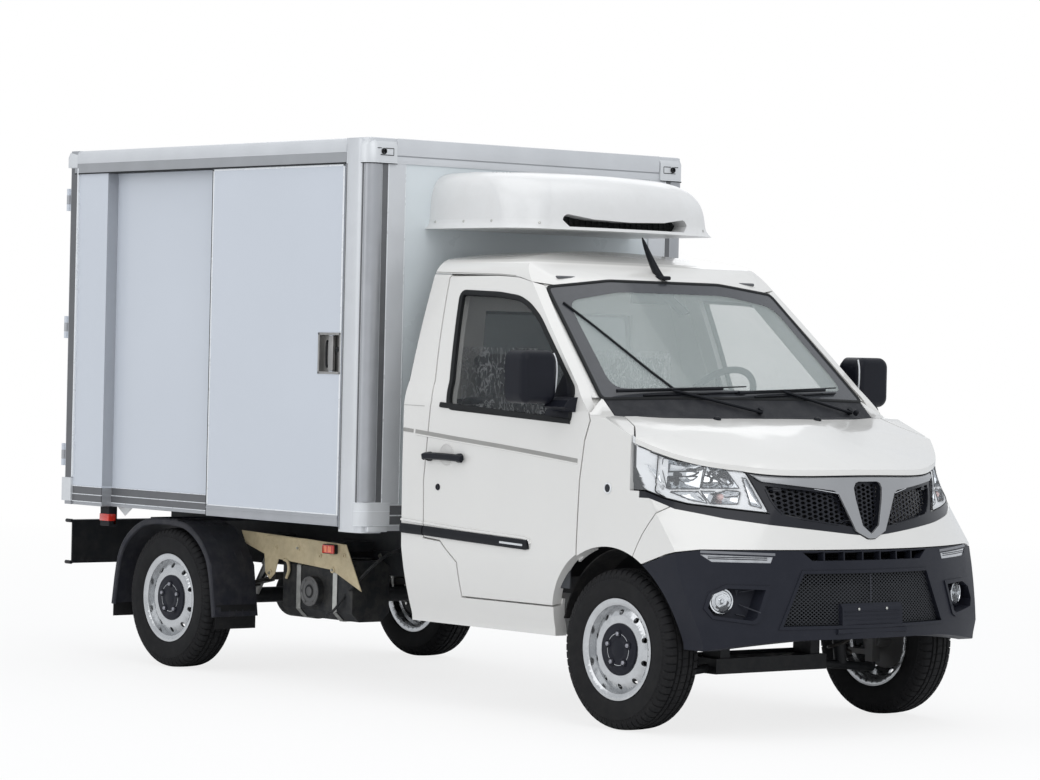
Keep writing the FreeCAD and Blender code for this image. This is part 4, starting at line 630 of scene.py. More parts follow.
primer_coat = coat("primer_coat", (0.56, 0.47, 0.3), 0.55, vary=0.1, patch=9, relief=(0.25, 200),
                   dust=(0.3, 0.22, 0.12, 0.5))
HANGER_FACE = 0.5302
HOOK_LINE = ((-2.46, 0.505), (-2.43, 0.5), (-2.42, 0.46), (-2.44, 0.425))
# The hangers' bosses; the first three carry bolts.
BOSSES = ((-2.565, 0.44, 0.017), (-2.36, 0.56, 0.014), (-2.11, 0.48, 0.014), (-2.52, 0.555, 0.01),
          (-2.03, 0.545, 0.01), (-2.2, 0.535, 0.01))
finished("spring_hangers", primer_coat, 0.0018)
for side, label in SIDES:
    weld = bmesh.new()
    rim = [from_axle(ahead, side * 0.5305, up) for ahead, up in ((-2.6, 0.602), (-2.3, 0.6), (-2.03, 0.59))]
    tube_in(weld, resampled(rim, 0.02), 0.004)
    for ahead, up, size in BOSSES:
        turned_into(weld, ((size * 0.45, 0), (size, 0), (size, 0.003), (size * 0.45, 0.003)),
                    from_axle(ahead, side * HANGER_FACE, up), (0, side, 0), 24, closed=True)
    placed(label + "_hanger_bosses", weld, primer_coat)
    hex_heads(label + "_hanger_bolts", [from_axle(ahead, side * HANGER_FACE, up)
                                        for ahead, up, size in BOSSES[:3]], (0, side, 0), 0.009, 0.01)
    hook = [from_axle(ahead, side * 0.532, up) for ahead, up in HOOK_LINE]
    hanger_hook = tube_in(bmesh.new(), resampled(rounded(hook), 0.01), 0.007)
    placed(label + "_hanger_hook", hanger_hook, primer_coat)

guard_black = coat("guard_black", (0.022, 0.023, 0.03), 0.45, vary=0.15, relief=(0.3, 420),
                   dust=(0.12, 0.115, 0.11, 0.25))
finished("rear_mudguards", guard_black, 0.0015)
GUARD_LINE = ((-0.423, 0.256), (-0.389, 0.47), (-0.328, 0.56), (-0.228, 0.626), (-0.129, 0.653),
              (0.09, 0.653), (0.189, 0.626), (0.283, 0.559), (0.342, 0.47), (0.377, 0.249))
LIP_SECTION = ((0.006, -0.02), (0.0, -0.022), (-0.006, -0.018), (-0.007, 0.0), (-0.003, 0.006), (0.03, 0.006),
               (0.03, 0.002), (0.006, 0.0))
GUARD_OUT, GUARD_IN = 0.775, 0.56
for side, label in SIDES:
    lips = bmesh.new()
    line = resampled(rounded([Vector((REAR_AXLE + ahead, side * 0.778, up)) for ahead, up in GUARD_LINE], 2),
                     0.02)
    hub = Vector((REAR_AXLE, side * 0.778, 0.3))
    outwards = [(p - hub).normalized() for p in line]
    swept_in(lips, line, outwards, [(side * across, up) for across, up in LIP_SECTION])
    for groove in (0.7, 0.665, 0.63, 0.595):
        swept_in(lips, [Vector((p.x, side * groove, p.z)) for p in line], outwards,
                 raised(0.004, 0, 0.003, 0.004))
    placed(label + "_guard_lip", lips, guard_black)
    flap = bmesh.new()
    side_box(flap, side, (REAR_AXLE + 0.372, REAR_AXLE + 0.3765), (GUARD_IN, GUARD_OUT), (0.195, 0.3))
    side_box(flap, side, (REAR_AXLE - 0.4235, REAR_AXLE - 0.4195), (GUARD_IN, GUARD_OUT), (0.2, 0.3))
    placed(label + "_mud_flaps", flap, tyre_rubber)
liner_black = coat("liner_black", (0.014, 0.014, 0.015), 0.75, vary=0.2, relief=(0.8, 260),
                   dust=(0.12, 0.11, 0.1, 0.3))
finished("front_arch_liners", liner_black, 0.001)

finished("rear_underrun_beam", black_frame_paint, 0.0025)
for side, label in SIDES:
    ends = bmesh.new()
    for up in (0.414, 0.606):
        tube_in(ends, [(-2.262, side * 0.712, up), (-2.218, side * 0.712, up)], 0.0085, 16)
    placed(label + "_beam_end_beads", ends, black_frame_paint)
blank = bmesh.new()
box_in(blank, (-2.2655, -0.235, 0.47), (-2.264, 0.235, 0.56), 0.0005)
box_in(blank, (-2.264, -0.1, 0.5), (-2.215, -0.08, 0.53), 0.001)
box_in(blank, (-2.264, 0.08, 0.5), (-2.215, 0.1, 0.53), 0.001)
plate_white = coat("plate_white", (0.75, 0.76, 0.76), 0.3, vary=0.04, relief=(0.1, 90))
placed("blank_rear_plate", blank, plate_white)

red_lens = coat("red_lens", (0.62, 0.035, 0.02), 0.14, vary=0.1, patch=50, relief=(0.5, 240), clear=1.0)
amber_lens = coat("amber_lens", (0.85, 0.26, 0.03), 0.14, vary=0.08, patch=50, relief=(0.5, 240), clear=1.0)
clear_lens = coat("clear_lens", (0.72, 0.74, 0.76), 0.12, vary=0.06, patch=50, relief=(0.6, 260), clear=1.0)
lens_orange = coat("lens_orange", (1.0, 0.22, 0.08), 0.12, vary=0.08, patch=60, relief=(0.6, 300), clear=1.0)
lamp_case = coat("lamp_case", (0.016, 0.016, 0.018), 0.5, vary=0.1)
finished("rear_lamps_and_markers", lamp_case, 0.003)
LENS_BACK, LENS_HIGH = -2.258, (0.466, 0.554)
for side, label in SIDES:
    faces = bmesh.new()
    side_box(faces, side, (FRONT_AXLE - 3.456, FRONT_AXLE - 3.42), (0.77, 0.7865), (0.612, 0.648), 0.002)
    for ahead in (FRONT_AXLE - 2.128, FRONT_AXLE - 2.098):
        side_box(faces, side, (ahead - 0.011, ahead + 0.011), (0.556, 0.5605), (0.557, 0.583), 0.0015)
    reds = bmesh.new()
    side_box(reds, side, (FRONT_AXLE - 3.493, FRONT_AXLE - 3.419), (0.7745, 0.8135), (0.628, 0.66), 0.002)
    side_box(reds, side, (FRONT_AXLE - 2.151, FRONT_AXLE - 2.07), (0.553, 0.5592), (0.552, 0.588), 0.002)
    side_box(reds, side, (-2.2674, LENS_BACK), (0.606, 0.679), LENS_HIGH, 0.003)
    placed(label + "_red_lenses", reds, red_lens)
    placed(label + "_marker_prisms", faces, lens_orange)
    turning = side_box(bmesh.new(), side, (-2.267, LENS_BACK), (0.5, 0.56), LENS_HIGH, 0.003)
    placed(label + "_indicator_lens", turning, amber_lens)
    reversing = side_box(bmesh.new(), side, (-2.2672, LENS_BACK), (0.565, 0.6), LENS_HIGH, 0.003)
    placed(label + "_reversing_lens", reversing, clear_lens)
    surround = bmesh.new()
    for reach in ((0.499, 0.5605), (0.5645, 0.6015), (0.6055, 0.68)):
        side_box(surround, side, (-2.2645, -2.261), reach, (0.461, 0.559))
    placed(label + "_lamp_frame", surround, guard_black)
brackets = bmesh.new()
for side in (-1, 1):
    corners = [from_axle(ahead, side * 0.765, up) for ahead, up in ((-3.42, 0.694), (-3.3, 0.694),
                                                                    (-3.36, 0.655))]
    low = [brackets.verts.new(p) for p in corners]
    high = [brackets.verts.new(p + Vector((0, side * -0.004, 0))) for p in corners]
    brackets.faces.new(low)
    brackets.faces.new(high)
    joined(brackets, (low, high))
placed("guard_gussets", brackets, plate_white)

# ---- Insulated box: panels ----------------------------------------------------------------------
# Glass-fibre faced sandwich panels, smooth gel coat outside and in, with a grooved load floor.  They
# are bonded to the profiles that frame them.

gelcoat = coat("gelcoat", (0.57, 0.605, 0.66), 0.3, vary=0.012, patch=1.6, relief=(0.05, 40), clear=0.25)
# The front wall wears the same gel coat as the sides, coloured lighter: painted light on the face that looks
# ahead.
front_gelcoat_painted_light = coat("front_gelcoat_painted_light", (0.66, 0.71, 0.73), 0.28, vary=0.015, patch=1.6, relief=(0.05, 40),
                     clear=0.25)
roof_gelcoat = coat("roof_gelcoat", (0.7, 0.73, 0.76), 0.35, vary=0.02, patch=2, relief=(0.08, 60),
                    dust=(0.5, 0.5, 0.48, 0.2))
for node, material, ease in (("box_side_walls", gelcoat, 0.001), ("box_front_wall", front_gelcoat_painted_light, 0.001),
                             ("box_roof", roof_gelcoat, 0.002), ("box_floor", roof_gelcoat, 0.001)):
    finished(node, material, ease)
floor_ribs = bmesh.new()
for count in range(-18, 19):
    box_in(floor_ribs, (-1.93, count * 0.04 - 0.006, 0.7848), (0.1, count * 0.04 + 0.006, 0.788), 0.0008, 1)
floor_grip = coat("floor_grip", (0.3, 0.31, 0.32), 0.6, vary=0.12, relief=(0.9, 500),
                  dust=(0.2, 0.19, 0.17, 0.4))
placed("load_floor_ribs", floor_ribs, floor_grip)
roof_seams = bmesh.new()
for ahead in (-1.35, -0.68):
    box_in(roof_seams, (ahead - 0.02, -0.8, 2.2945), (ahead + 0.02, 0.8, 2.2968), 0.0008, 1)
placed("roof_joint_strips", roof_seams, roof_gelcoat)

# ---- Insulated box: profiles and corner castings ------------------------------------------------
# Extruded aluminium rails, posts and rear frame, with a rounded corner column, joined at each corner by
# a lighter casting.  Black rubber seals lie where the side door closes.

mill_grey = coat("mill_grey", (0.4, 0.41, 0.43), 0.36, metallic=0.55, vary=0.05, patch=9, relief=(0.06, 500),
                 dust=(0.36, 0.36, 0.36, 0.12))
# The next three greys are lit and shaded copies of the one aluminium of the profiles: painted light, painted
# shade and deeper painted shade.  The bright grey after them is a painted highlight along the profiles'
# edges.
rail_painted_light = coat("rail_painted_light", (0.63, 0.645, 0.665), 0.34, metallic=0.3, vary=0.03, patch=7,
                  relief=(0.05, 400))
rail_painted_shade = coat("rail_painted_shade", (0.36, 0.37, 0.385), 0.4, metallic=0.4, vary=0.05, patch=9, relief=(0.08, 400))
rail_painted_deep_shade = coat("rail_painted_deep_shade", (0.15, 0.153, 0.16), 0.4, metallic=0.5, vary=0.06, patch=9, relief=(0.08, 400))
painted_highlight_line = coat("painted_highlight_line", (0.8, 0.82, 0.84), 0.28, metallic=0.2, vary=0.03, patch=20)
cast_light = coat("cast_light", (0.66, 0.675, 0.69), 0.38, metallic=0.25, vary=0.03, patch=14,
                  relief=(0.15, 300))
seal_rubber = coat("seal_rubber", (0.016, 0.017, 0.018), 0.6, vary=0.15, relief=(0.2, 300))
# The front frame is coloured in the light grey: painted light on the face that looks ahead.
finished("box_front_frame", rail_painted_light, 0.007, segments=4)
finished("box_side_rails", mill_grey, 0.003, segments=3)
finished("box_rear_frame", mill_grey, 0.004, segments=3)
REAR, TOP, UNDER = -2.035, 2.3, 0.695
# Outlines of the corner posts and castings, as (ahead, outwards) points.
COLUMN = ((0.042, 0.8735), (0.05, 0.8768), (0.07, 0.8795), (0.095, 0.88), (0.118, 0.8785), (0.133, 0.875),
          (0.138, 0.87), (0.12, 0.86), (0.05, 0.86))
NOSE = ((0.15, 0.87), (0.156, 0.8712), (0.168, 0.8665), (0.1775, 0.856), (0.183, 0.842), (0.185, 0.825),
        (0.184, 0.808), (0.18, 0.8), (0.16, 0.82))
CASTING = ((0.137, 0.879), (0.152, 0.8772), (0.168, 0.87), (0.18, 0.857), (0.1865, 0.84), (0.188, 0.82),
           (0.188, 0.73), (0.16, 0.73), (0.137, 0.85))
REAR_CASTING = ((REAR + 0.052, 0.877), (REAR - 0.006, 0.88), (REAR - 0.02, 0.878), (REAR - 0.028, 0.87),
                (REAR - 0.029, 0.85), (REAR - 0.029, 0.825), (REAR, 0.825), (REAR + 0.052, 0.86))
# The top rail's shoulder, as (outwards, up) points.
SHOULDER = ((0.875, 2.242), (0.8765, 2.245), (0.8765, 2.27), (0.872, 2.285), (0.86, 2.2965), (0.848, 2.301),
            (0.838, 2.301), (0.84, 2.29), (0.86, 2.242))


def standing(shape, side, outline, levels):
    """Extrudes an outline of (ahead, outwards) points up through the levels."""
    path = [Vector((0, 0, up)) for up in levels]
    return swept_in(shape, path, [AHEAD] * len(levels), [(side * y, x) for x, y in outline])


def casting_line(shape, side, up, proud, section):
    """A line that goes round the front corner casting."""
    edge = [Vector((x + proud, side * (y + proud if y > 0.85 else y), up)) for x, y in CASTING[:7]]
    swept_in(shape, edge, [UP] * 7, section)


for side, label in SIDES:
    # The top rail: a rounded shoulder coloured light as painted light above a recessed band coloured darker
    # as painted shade, and a black seal under both.
    path = [Vector((REAR + 0.03, 0, 0)), Vector((0.034, 0, 0))]
    shoulder = swept_in(bmesh.new(), path, [UP] * 2, [(-side * y, z) for y, z in SHOULDER])
    placed(label + "_rail_shoulder", shoulder, rail_painted_light)
    rail_band = side_box(bmesh.new(), side, (REAR + 0.03, 0.034), (0.8738, 0.8752), (2.2, 2.2415), 0.0004, 1)
    placed(label + "_rail_band", rail_band, rail_painted_shade)
    seal = bmesh.new()
    side_box(seal, side, (REAR + 0.03, 0.03), (0.869, 0.8758), (2.1945, 2.1995), 0.001)
    if side < 0:
        side_box(seal, side, (-1.745, -0.938), (0.812, 0.866), (2.1948, 2.1992), 0.001)
    placed(label + "_rail_seal", seal, seal_rubber)
    # The front corner column: a half-round pillar beside the panels coloured light as painted light, a groove
    # coloured dark as painted shade, a nose pillar.
    corner_column = standing(bmesh.new(), side, COLUMN, (UNDER - 0.018, TOP - 0.004))
    placed(label + "_corner_column", corner_column, rail_painted_light)
    groove = bmesh.new()
    side_box(groove, side, (0.139, 0.1465), (0.86, 0.8738), (0.8, 2.196), 0.001, 1)
    side_box(groove, side, (0.0335, 0.0395), (0.868, 0.8752), (UNDER - 0.01, 2.196), 0.001, 1)
    placed(label + "_corner_grooves", groove, rail_painted_deep_shade)
    placed(label + "_nose_column", standing(bmesh.new(), side, NOSE, (0.805, 2.193)), mill_grey)
    # The front lines are painted highlights, and the recess beside them is coloured dark as painted shade.
    strips = bmesh.new()
    side_box(strips, side, (0.1795, 0.1818), (0.7655, 0.77), (0.7, 2.196), 0.0006, 1)
    side_box(strips, side, (0.1795, 0.1812), (0.676, 0.679), (0.7, 2.196), 0.0006, 1)
    placed(label + "_front_lines", strips, painted_highlight_line)
    front_recess = side_box(bmesh.new(), side, (0.179, 0.1806), (0.7705, 0.799), (0.802, 2.194), 0.0004, 1)
    placed(label + "_front_recess", front_recess, rail_painted_deep_shade)
    # Castings: upper and lower at the front corner, upper and lower at the rear.
    cap = bmesh.new()
    standing(cap, side, CASTING, (2.2, 2.27, 2.292, 2.3015))
    for vert in cap.verts:
        pull = max(0, vert.co.z - 2.28) * 0.9
        vert.co.x -= pull if vert.co.x > 0.17 else 0
        vert.co.y -= side * pull if abs(vert.co.y) > 0.84 else 0
    standing(cap, side, CASTING, (0.705, 0.8))
    side_box(cap, side, (0.15, 0.1895), (0.74, 0.842), (0.68, 0.704), 0.004)
    placed(label + "_front_castings", cap, cast_light)
    # The lines round the front castings are painted highlights.
    lines = bmesh.new()
    for up in (0.7045, 0.764, 0.7985, 2.1975):
        casting_line(lines, side, up, 0.0006, raised(0.0012, 0, 0.0012, 0.0022))
    placed(label + "_casting_lines", lines, painted_highlight_line)
    # The dark strips on each front casting stand for its slots: their darkness is painted shade.  A dark line
    # runs under the casting and a dark eye sits on its front.
    slot = bmesh.new()
    for reach, levels in (((0.75, 0.818), (2.228, 2.231)), ((0.75, 0.79), (2.256, 2.259)),
                          ((0.813, 0.833), (2.256, 2.259)), ((0.748, 0.7505), (2.229, 2.258))):
        side_box(slot, side, (0.1875, 0.1893), reach, levels, 0.0004, 1)
    casting_line(slot, side, 2.1935, 0.001, raised(0.001, 0, 0.001, 0.003))
    eye = Vector((0.1875, side * 0.801, 2.245))
    turned_into(slot, ((0.0065, 0), (0.0125, 0), (0.0125, 0.007), (0.0105, 0.009), (0.0075, 0.009),
                       (0.0065, 0.006)), eye, AHEAD, 28, closed=True)
    turned_into(slot, ((0, 0.001), (0.0045, 0.001), (0.0045, 0.003), (0, 0.003)), eye, AHEAD, 20)
    placed(label + "_casting_slot_shade", slot, seal_rubber)
    back = bmesh.new()
    standing(back, side, REAR_CASTING, (2.225, 2.2715, 2.2915, 2.3015))
    standing(back, side, REAR_CASTING, (0.711, 0.816))
    for vert in back.verts:
        pull = max(0, vert.co.z - 2.285) * 0.9
        vert.co.x += pull if vert.co.x < REAR else 0
        vert.co.y -= side * pull if abs(vert.co.y) > 0.85 else 0
    placed(label + "_rear_castings", back, cast_light)
    # At the rear, a painted highlight line and a band coloured dark as painted shade.
    rear_strip = side_box(bmesh.new(), side, (REAR + 0.0525, REAR + 0.06), (0.86, 0.8765), (0.82, 2.222),
                          0.001, 1)
    placed(label + "_rear_strip", rear_strip, painted_highlight_line)
    rear_band = side_box(bmesh.new(), side, (REAR + 0.004, REAR + 0.05), (0.8732, 0.8748), (0.818, 2.222),
                         0.0004, 1)
    placed(label + "_rear_band", rear_band, rail_painted_deep_shade)
    # Lower rails: two steps coloured dark as painted shade, each under a painted highlight line.
    low_rail = bmesh.new()
    runs = [((REAR + 0.055, -1.745), 0.866), ((-1.745, -0.94),
                                              0.811)] if side < 0 else [((REAR + 0.055, 0.028), 0.86)]
    bright = bmesh.new()
    for reach, depth in runs:
        side_box(low_rail, side, reach, (depth - 0.003, depth + 0.0012), (0.7465, 0.778), 0.0004, 1)
        side_box(low_rail, side, reach, (depth - 0.003, depth + 0.003), (0.714, 0.742), 0.0004, 1)
        for low, high in ((0.7785, 0.7815), (0.7425, 0.746), (0.71, 0.7135)):
            side_box(bright, side, reach, (depth - 0.003, depth + 0.0045), (low, high), 0.0006, 1)
    placed(label + "_low_rail_bands", low_rail, rail_painted_deep_shade)
    placed(label + "_low_rail_lines", bright, painted_highlight_line)

# The step at the end of the wall's thicker rear section is covered by a thin sheet coloured darker than the
# panel: painted shade that dims the lit step face.
end_painted_shade = coat("end_painted_shade", (0.36, 0.38, 0.415), 0.4, vary=0.02)
section_end_painted_shade = box_in(bmesh.new(), (-1.7452, -0.8655, 0.786), (-1.744, -0.8105, 2.1935), 0.0003, 1)
placed("section_end_painted_shade", section_end_painted_shade, end_painted_shade)

# The front frame's header and sill: a shoulder in painted light on the header, bands in painted shade on the
# sill, and painted highlight lines.
cross = bmesh.new()
box_in(cross, (0.1795, -0.728, 2.23), (0.185, 0.728, 2.3012), 0.003, 3)
box_in(cross, (0.1795, -0.728, 2.1965), (0.1815, 0.728, 2.226), 0.0008)
placed("front_header_shoulder", cross, rail_painted_light)
front_header_line = box_in(bmesh.new(), (0.1795, -0.728, 2.2265), (0.1822, 0.728, 2.2293), 0.0004, 1)
placed("front_header_line", front_header_line, mill_grey)
sill = bmesh.new()
for low, high in ((0.75, 0.788), (0.71, 0.744)):
    box_in(sill, (0.1795, -0.738, low), (0.1822, 0.738, high), 0.0008)
placed("front_sill_bands", sill, rail_painted_deep_shade)
sill_lines = bmesh.new()
for low in (0.7045, 0.7455, 0.7885):
    box_in(sill_lines, (0.1795, -0.738, low), (0.1832, 0.738, low + 0.0032), 0.0006)
placed("front_sill_lines", sill_lines, painted_highlight_line)

# ---- Sliding side door --------------------------------------------------------------------------
# The same sandwich panel in a thin edge profile, whose bright grey is a painted highlight, with rubber
# along its rear edge, a recessed stainless steel lock box and a kick rail at its foot.

finished("side_door", gelcoat, 0.0012)
stainless = coat("stainless", (0.36, 0.355, 0.345), 0.36, metallic=0.9, vary=0.1, patch=20,
                 relief=(0.25, 700), dust=(0.22, 0.2, 0.18, 0.15))
DOOR_FACE, DOOR_FRONT, DOOR_REAR, DOOR_TOP = -0.866, 0.015, -0.928, 2.194
# The rim's bright grey is a painted highlight.
rim = bmesh.new()
for x, z in (((DOOR_FRONT - 0.011, DOOR_FRONT - 0.0005), (0.745, DOOR_TOP - 0.001)),
             ((DOOR_REAR + 0.003, DOOR_REAR + 0.011), (0.705, DOOR_TOP - 0.001)),
             ((DOOR_REAR + 0.003, DOOR_FRONT - 0.0005), (DOOR_TOP - 0.009, DOOR_TOP - 0.001)),
             ((DOOR_REAR + 0.003, DOOR_FRONT - 0.0005), (0.74, 0.7455))):
    box_in(rim, (x[0], DOOR_FACE - 0.0022, z[0]), (x[1], DOOR_FACE + 0.002, z[1]), 0.0008)
placed("side_door_rim", rim, painted_highlight_line, "sliding_side_door")
foot = bmesh.new()
box_in(foot, (DOOR_REAR + 0.003, DOOR_FACE - 0.0032, 0.6965),
       (DOOR_FRONT - 0.0005, DOOR_FACE + 0.002, 0.7395), 0.0012)
box_in(foot, (DOOR_REAR + 0.003, DOOR_FACE - 0.005, 0.728), (DOOR_FRONT - 0.0005, DOOR_FACE + 0.002, 0.7335),
       0.0008)
placed("side_door_foot", foot, mill_grey, "sliding_side_door")
side_door_edge_seal = box_in(bmesh.new(), (DOOR_REAR - 0.0045, -0.867, 0.7),
                             (DOOR_REAR + 0.0035, -0.822, DOOR_TOP - 0.002), 0.0015)
placed("side_door_edge_seal", side_door_edge_seal, seal_rubber, "sliding_side_door")
side_door_front_seal = box_in(bmesh.new(), (DOOR_FRONT - 0.0005, -0.86, 0.705),
                              (DOOR_FRONT + 0.004, -0.83, DOOR_TOP - 0.004), 0.0015)
placed("side_door_front_seal", side_door_front_seal, seal_rubber, "sliding_side_door")
lock = bmesh.new()
LX0, LX1, LZ0, LZ1 = -0.137, 0.005, 1.331, 1.489
for low, high in (((LX0 - 0.007, LZ0 - 0.007), (LX0 + 0.003, LZ1 + 0.007)),
                  ((LX1 - 0.003, LZ0 - 0.007), (LX1 + 0.006, LZ1 + 0.007)),
                  ((LX0 - 0.007, LZ0 - 0.007), (LX1 + 0.006, LZ0 + 0.003)),
                  ((LX0 - 0.007, LZ1 - 0.003), (LX1 + 0.006, LZ1 + 0.007))):
    box_in(lock, (low[0], DOOR_FACE - 0.003, low[1]), (high[0], DOOR_FACE + 0.003, high[1]), 0.001)
box_in(lock, (LX0 + 0.001, -0.8425, LZ0 + 0.001), (LX1 - 0.001, -0.8415, LZ1 - 0.001), 0.0003, 1)
for x in (LX0 + 0.0012, LX1 - 0.0032):
    box_in(lock, (x, -0.866, LZ0 + 0.001), (x + 0.002, -0.842, LZ1 - 0.001), 0.0004, 1)
for z in (LZ0 + 0.0012, LZ1 - 0.0032):
    box_in(lock, (LX0 + 0.001, -0.866, z), (LX1 - 0.001, -0.842, z + 0.002), 0.0004, 1)
box_in(lock, (-0.08, -0.8635, LZ0 + 0.006), (-0.048, -0.849, LZ1 - 0.006), 0.003, 3)
placed("side_lock_box", lock, stainless, "sliding_side_door")
handle = bmesh.new()
tube_in(handle, resampled(rounded([(-0.1, -0.85, 1.352), (-0.1, -0.856, 1.36), (-0.1, -0.856, 1.455),
                                   (-0.1, -0.85, 1.463)], 2), 0.004), 0.0048, 12)
box_in(handle, (-0.04, -0.856, 1.418), (0.0, -0.846, 1.434), 0.003)
turned_into(handle, ((0, 0), (0.0115, 0), (0.0115, 0.004), (0.009, 0.006), (0.003, 0.006), (0.003, 0.004),
                     (0, 0.004)), Vector((-0.022, -0.8565, 1.4265)), (0, -1, 0), 24)
box_in(handle, (-0.004, -0.862, 1.42), (0.012, -0.85, 1.433), 0.002)
placed("side_lock_catch", handle, seal_rubber, "sliding_side_door")
rollers = bmesh.new()
for ahead in (-0.84, -0.07):
    turned_into(rollers, ((0, -0.007), (0.017, -0.007), (0.017, -0.003), (0.013, 0), (0.017, 0.003),
                          (0.017, 0.007), (0, 0.007)), Vector((ahead, -0.8125, 2.17)), (0, 1, 0), 24)
placed("side_door_rollers", rollers, cast_grey, "sliding_side_door")

# ---- Rear doors ---------------------------------------------------------------------------------
# Two insulated leaves with aluminium edge trim, hung on three hinges each and shut by a galvanised
# cam bar, with a soft black seal around the opening.

galvanised = coat("galvanised", (0.52, 0.54, 0.55), 0.42, metallic=0.8, vary=0.14, patch=26, relief=(0.3, 90))
BACK_FACE = -2.04
for side, label in SIDES:
    body = label + "_box_door"
    finished(label + "_rear_door", gelcoat, 0.0012)
    trim = bmesh.new()
    for y, z in (((0.004, 0.026), (0.777, 2.238)), ((0.79, 0.8125), (0.777, 2.238)),
                 ((0.004, 0.8125), (0.777, 0.8)), ((0.004, 0.8125), (2.215, 2.238))):
        side_box(trim, side, (BACK_FACE - 0.0022, BACK_FACE + 0.002), y, z, 0.001)
    placed(label + "_rear_door_trim", trim, mill_grey, body)
    seal = bmesh.new()
    loop = [Vector((-1.9925, side * y, z)) for y, z in ((0.012, 0.786), (0.804, 0.786), (0.804, 2.229),
                                                        (0.012, 2.229))]
    tube_in(seal, eased(loop, 0.03, True), 0.004, 8, closed=True)
    placed(label + "_rear_door_seal", seal, seal_rubber, body)
    cam = bmesh.new()
    bar_y = 0.085
    side_box(cam, side, (-2.0462, BACK_FACE + 0.0004), (bar_y - 0.012, bar_y + 0.012), (0.835, 2.205), 0.002)
    for z in (0.822, 2.2):
        side_box(cam, side, (-2.047, BACK_FACE - 0.0004), (bar_y - 0.02, bar_y + 0.016), (z, z + 0.014),
                 0.002)
    for z in (0.9, 1.2, 1.52, 1.86, 2.14):
        side_box(cam, side, (-2.0476, BACK_FACE - 0.0004), (bar_y - 0.026, bar_y + 0.026),
                 (z - 0.016, z + 0.016), 0.002)
    placed(label + "_cam_bar", cam, galvanised, body)
    grip = bmesh.new()
    side_box(grip, side, (-2.048, -2.043), (bar_y - 0.012, bar_y + 0.25), (1.262, 1.286), 0.0018)
    side_box(grip, side, (-2.0478, -2.0402), (bar_y - 0.017, bar_y + 0.017), (1.25, 1.298), 0.002)
    side_box(grip, side, (-2.0474, BACK_FACE - 0.0004), (bar_y + 0.17, bar_y + 0.225), (1.246, 1.302), 0.002)
    placed(label + "_cam_handle", grip, galvanised, body)
    bolts = bmesh.new()
    for z in (920, 1500, 2080):
        for shift in (-35.3, 35.3):
            for y in (0.66, 0.72, 0.772):
                turned_into(bolts, ((0, 0), (0.007, 0), (0.0056, 0.002), (0.003, 0.0028), (0, 0.0028)),
                            Vector((-2.0482, side * y, (z + shift) / 1000)), (-1, 0, 0), 16)
    placed(label + "_hinge_bolts", bolts, zinc_bolt, body)
keepers = bmesh.new()
for side in (-1, 1):
    for z in (0.756, 2.246):
        side_box(keepers, side, (-2.07, -2.0345), (0.062, 0.108), (z - 0.012, z + 0.012), 0.003)
placed("cam_keepers", keepers, galvanised)
frame_seal = bmesh.new()
ring = [Vector((-1.988, y, z)) for y, z in ((-0.812, 0.777), (0.812, 0.777), (0.812, 2.236), (-0.812, 2.236))]
tube_in(frame_seal, resampled(ring, 0.2, closed=True), 0.0035, 8, closed=True)
placed("rear_frame_seal", frame_seal, seal_rubber)

# ---- Cab floor, dashboard and steering wheel ----------------------------------------------------
# Grained grey plastic over pressed steel: a rubber mat on the floor, a dashboard with an instrument
# hood, vents and a glove box, and a moulded four-part steering wheel.

dash_grain = coat("dash_grain", (0.06, 0.062, 0.068), 0.62, vary=0.08, relief=(0.7, 650))
dash_light = coat("dash_light", (0.105, 0.108, 0.115), 0.6, vary=0.08, relief=(0.6, 650))
mat_rubber = coat("mat_rubber", (0.024, 0.024, 0.026), 0.75, vary=0.15, relief=(0.8, 300))
screen_dark = coat("screen_dark", (0.008, 0.009, 0.011), 0.1, vary=0.1, clear=0.8)
finished("cab_floor", mat_rubber, 0.004)
finished("dashboard", dash_grain, 0.018, segments=4)
finished("steering_wheel", dash_grain, 0.002)
gauges = bmesh.new()
hood = [from_axle(-0.4, 0.2, 1.15), from_axle(-0.395, 0.24, 1.195), from_axle(-0.39, 0.37, 1.212),
        from_axle(-0.395, 0.5, 1.195), from_axle(-0.4, 0.54, 1.15)]
line = resampled(rounded(hood), 0.01)
swept_in(gauges, line, [Vector((0, (p.y - 0.37) * 2, 0.2)).normalized() for p in line],
         [(-0.075, -0.006), (0.05, -0.006), (0.05, 0.004), (-0.075, 0.004)])
placed("instrument_hood", gauges, dash_grain)
dials = bmesh.new()
lean = Vector((-0.85, 0, 0.5)).normalized()
for across, size in ((0.3, 0.04), (0.44, 0.04), (0.37, 0.022)):
    turned_into(dials, ((0, 0.002), (size * 0.9, 0.002), (size * 0.94, 0.006), (size, 0.006), (size, -0.01),
                        (0, -0.01)), from_axle(-0.415, across, 1.16), lean, 32)
placed("instrument_dials", dials, screen_dark)
panel = bmesh.new()
box_in(panel, (FRONT_AXLE - 0.458, -0.105, 0.985), (FRONT_AXLE - 0.44, 0.105, 1.105), 0.006, 3)
box_in(panel, (FRONT_AXLE - 0.462, -0.64, 0.945), (FRONT_AXLE - 0.438, -0.2, 1.04), 0.008, 3)
placed("dash_centre_panel", panel, dash_light)
vents = bmesh.new()
for across in (-0.62, -0.055, 0.055, 0.66):
    for slat in range(5):
        box_in(vents, (FRONT_AXLE - 0.462, across - 0.04, 1.05 + slat * 0.011),
               (FRONT_AXLE - 0.452, across + 0.04, 1.0545 + slat * 0.011), 0.001, 1)
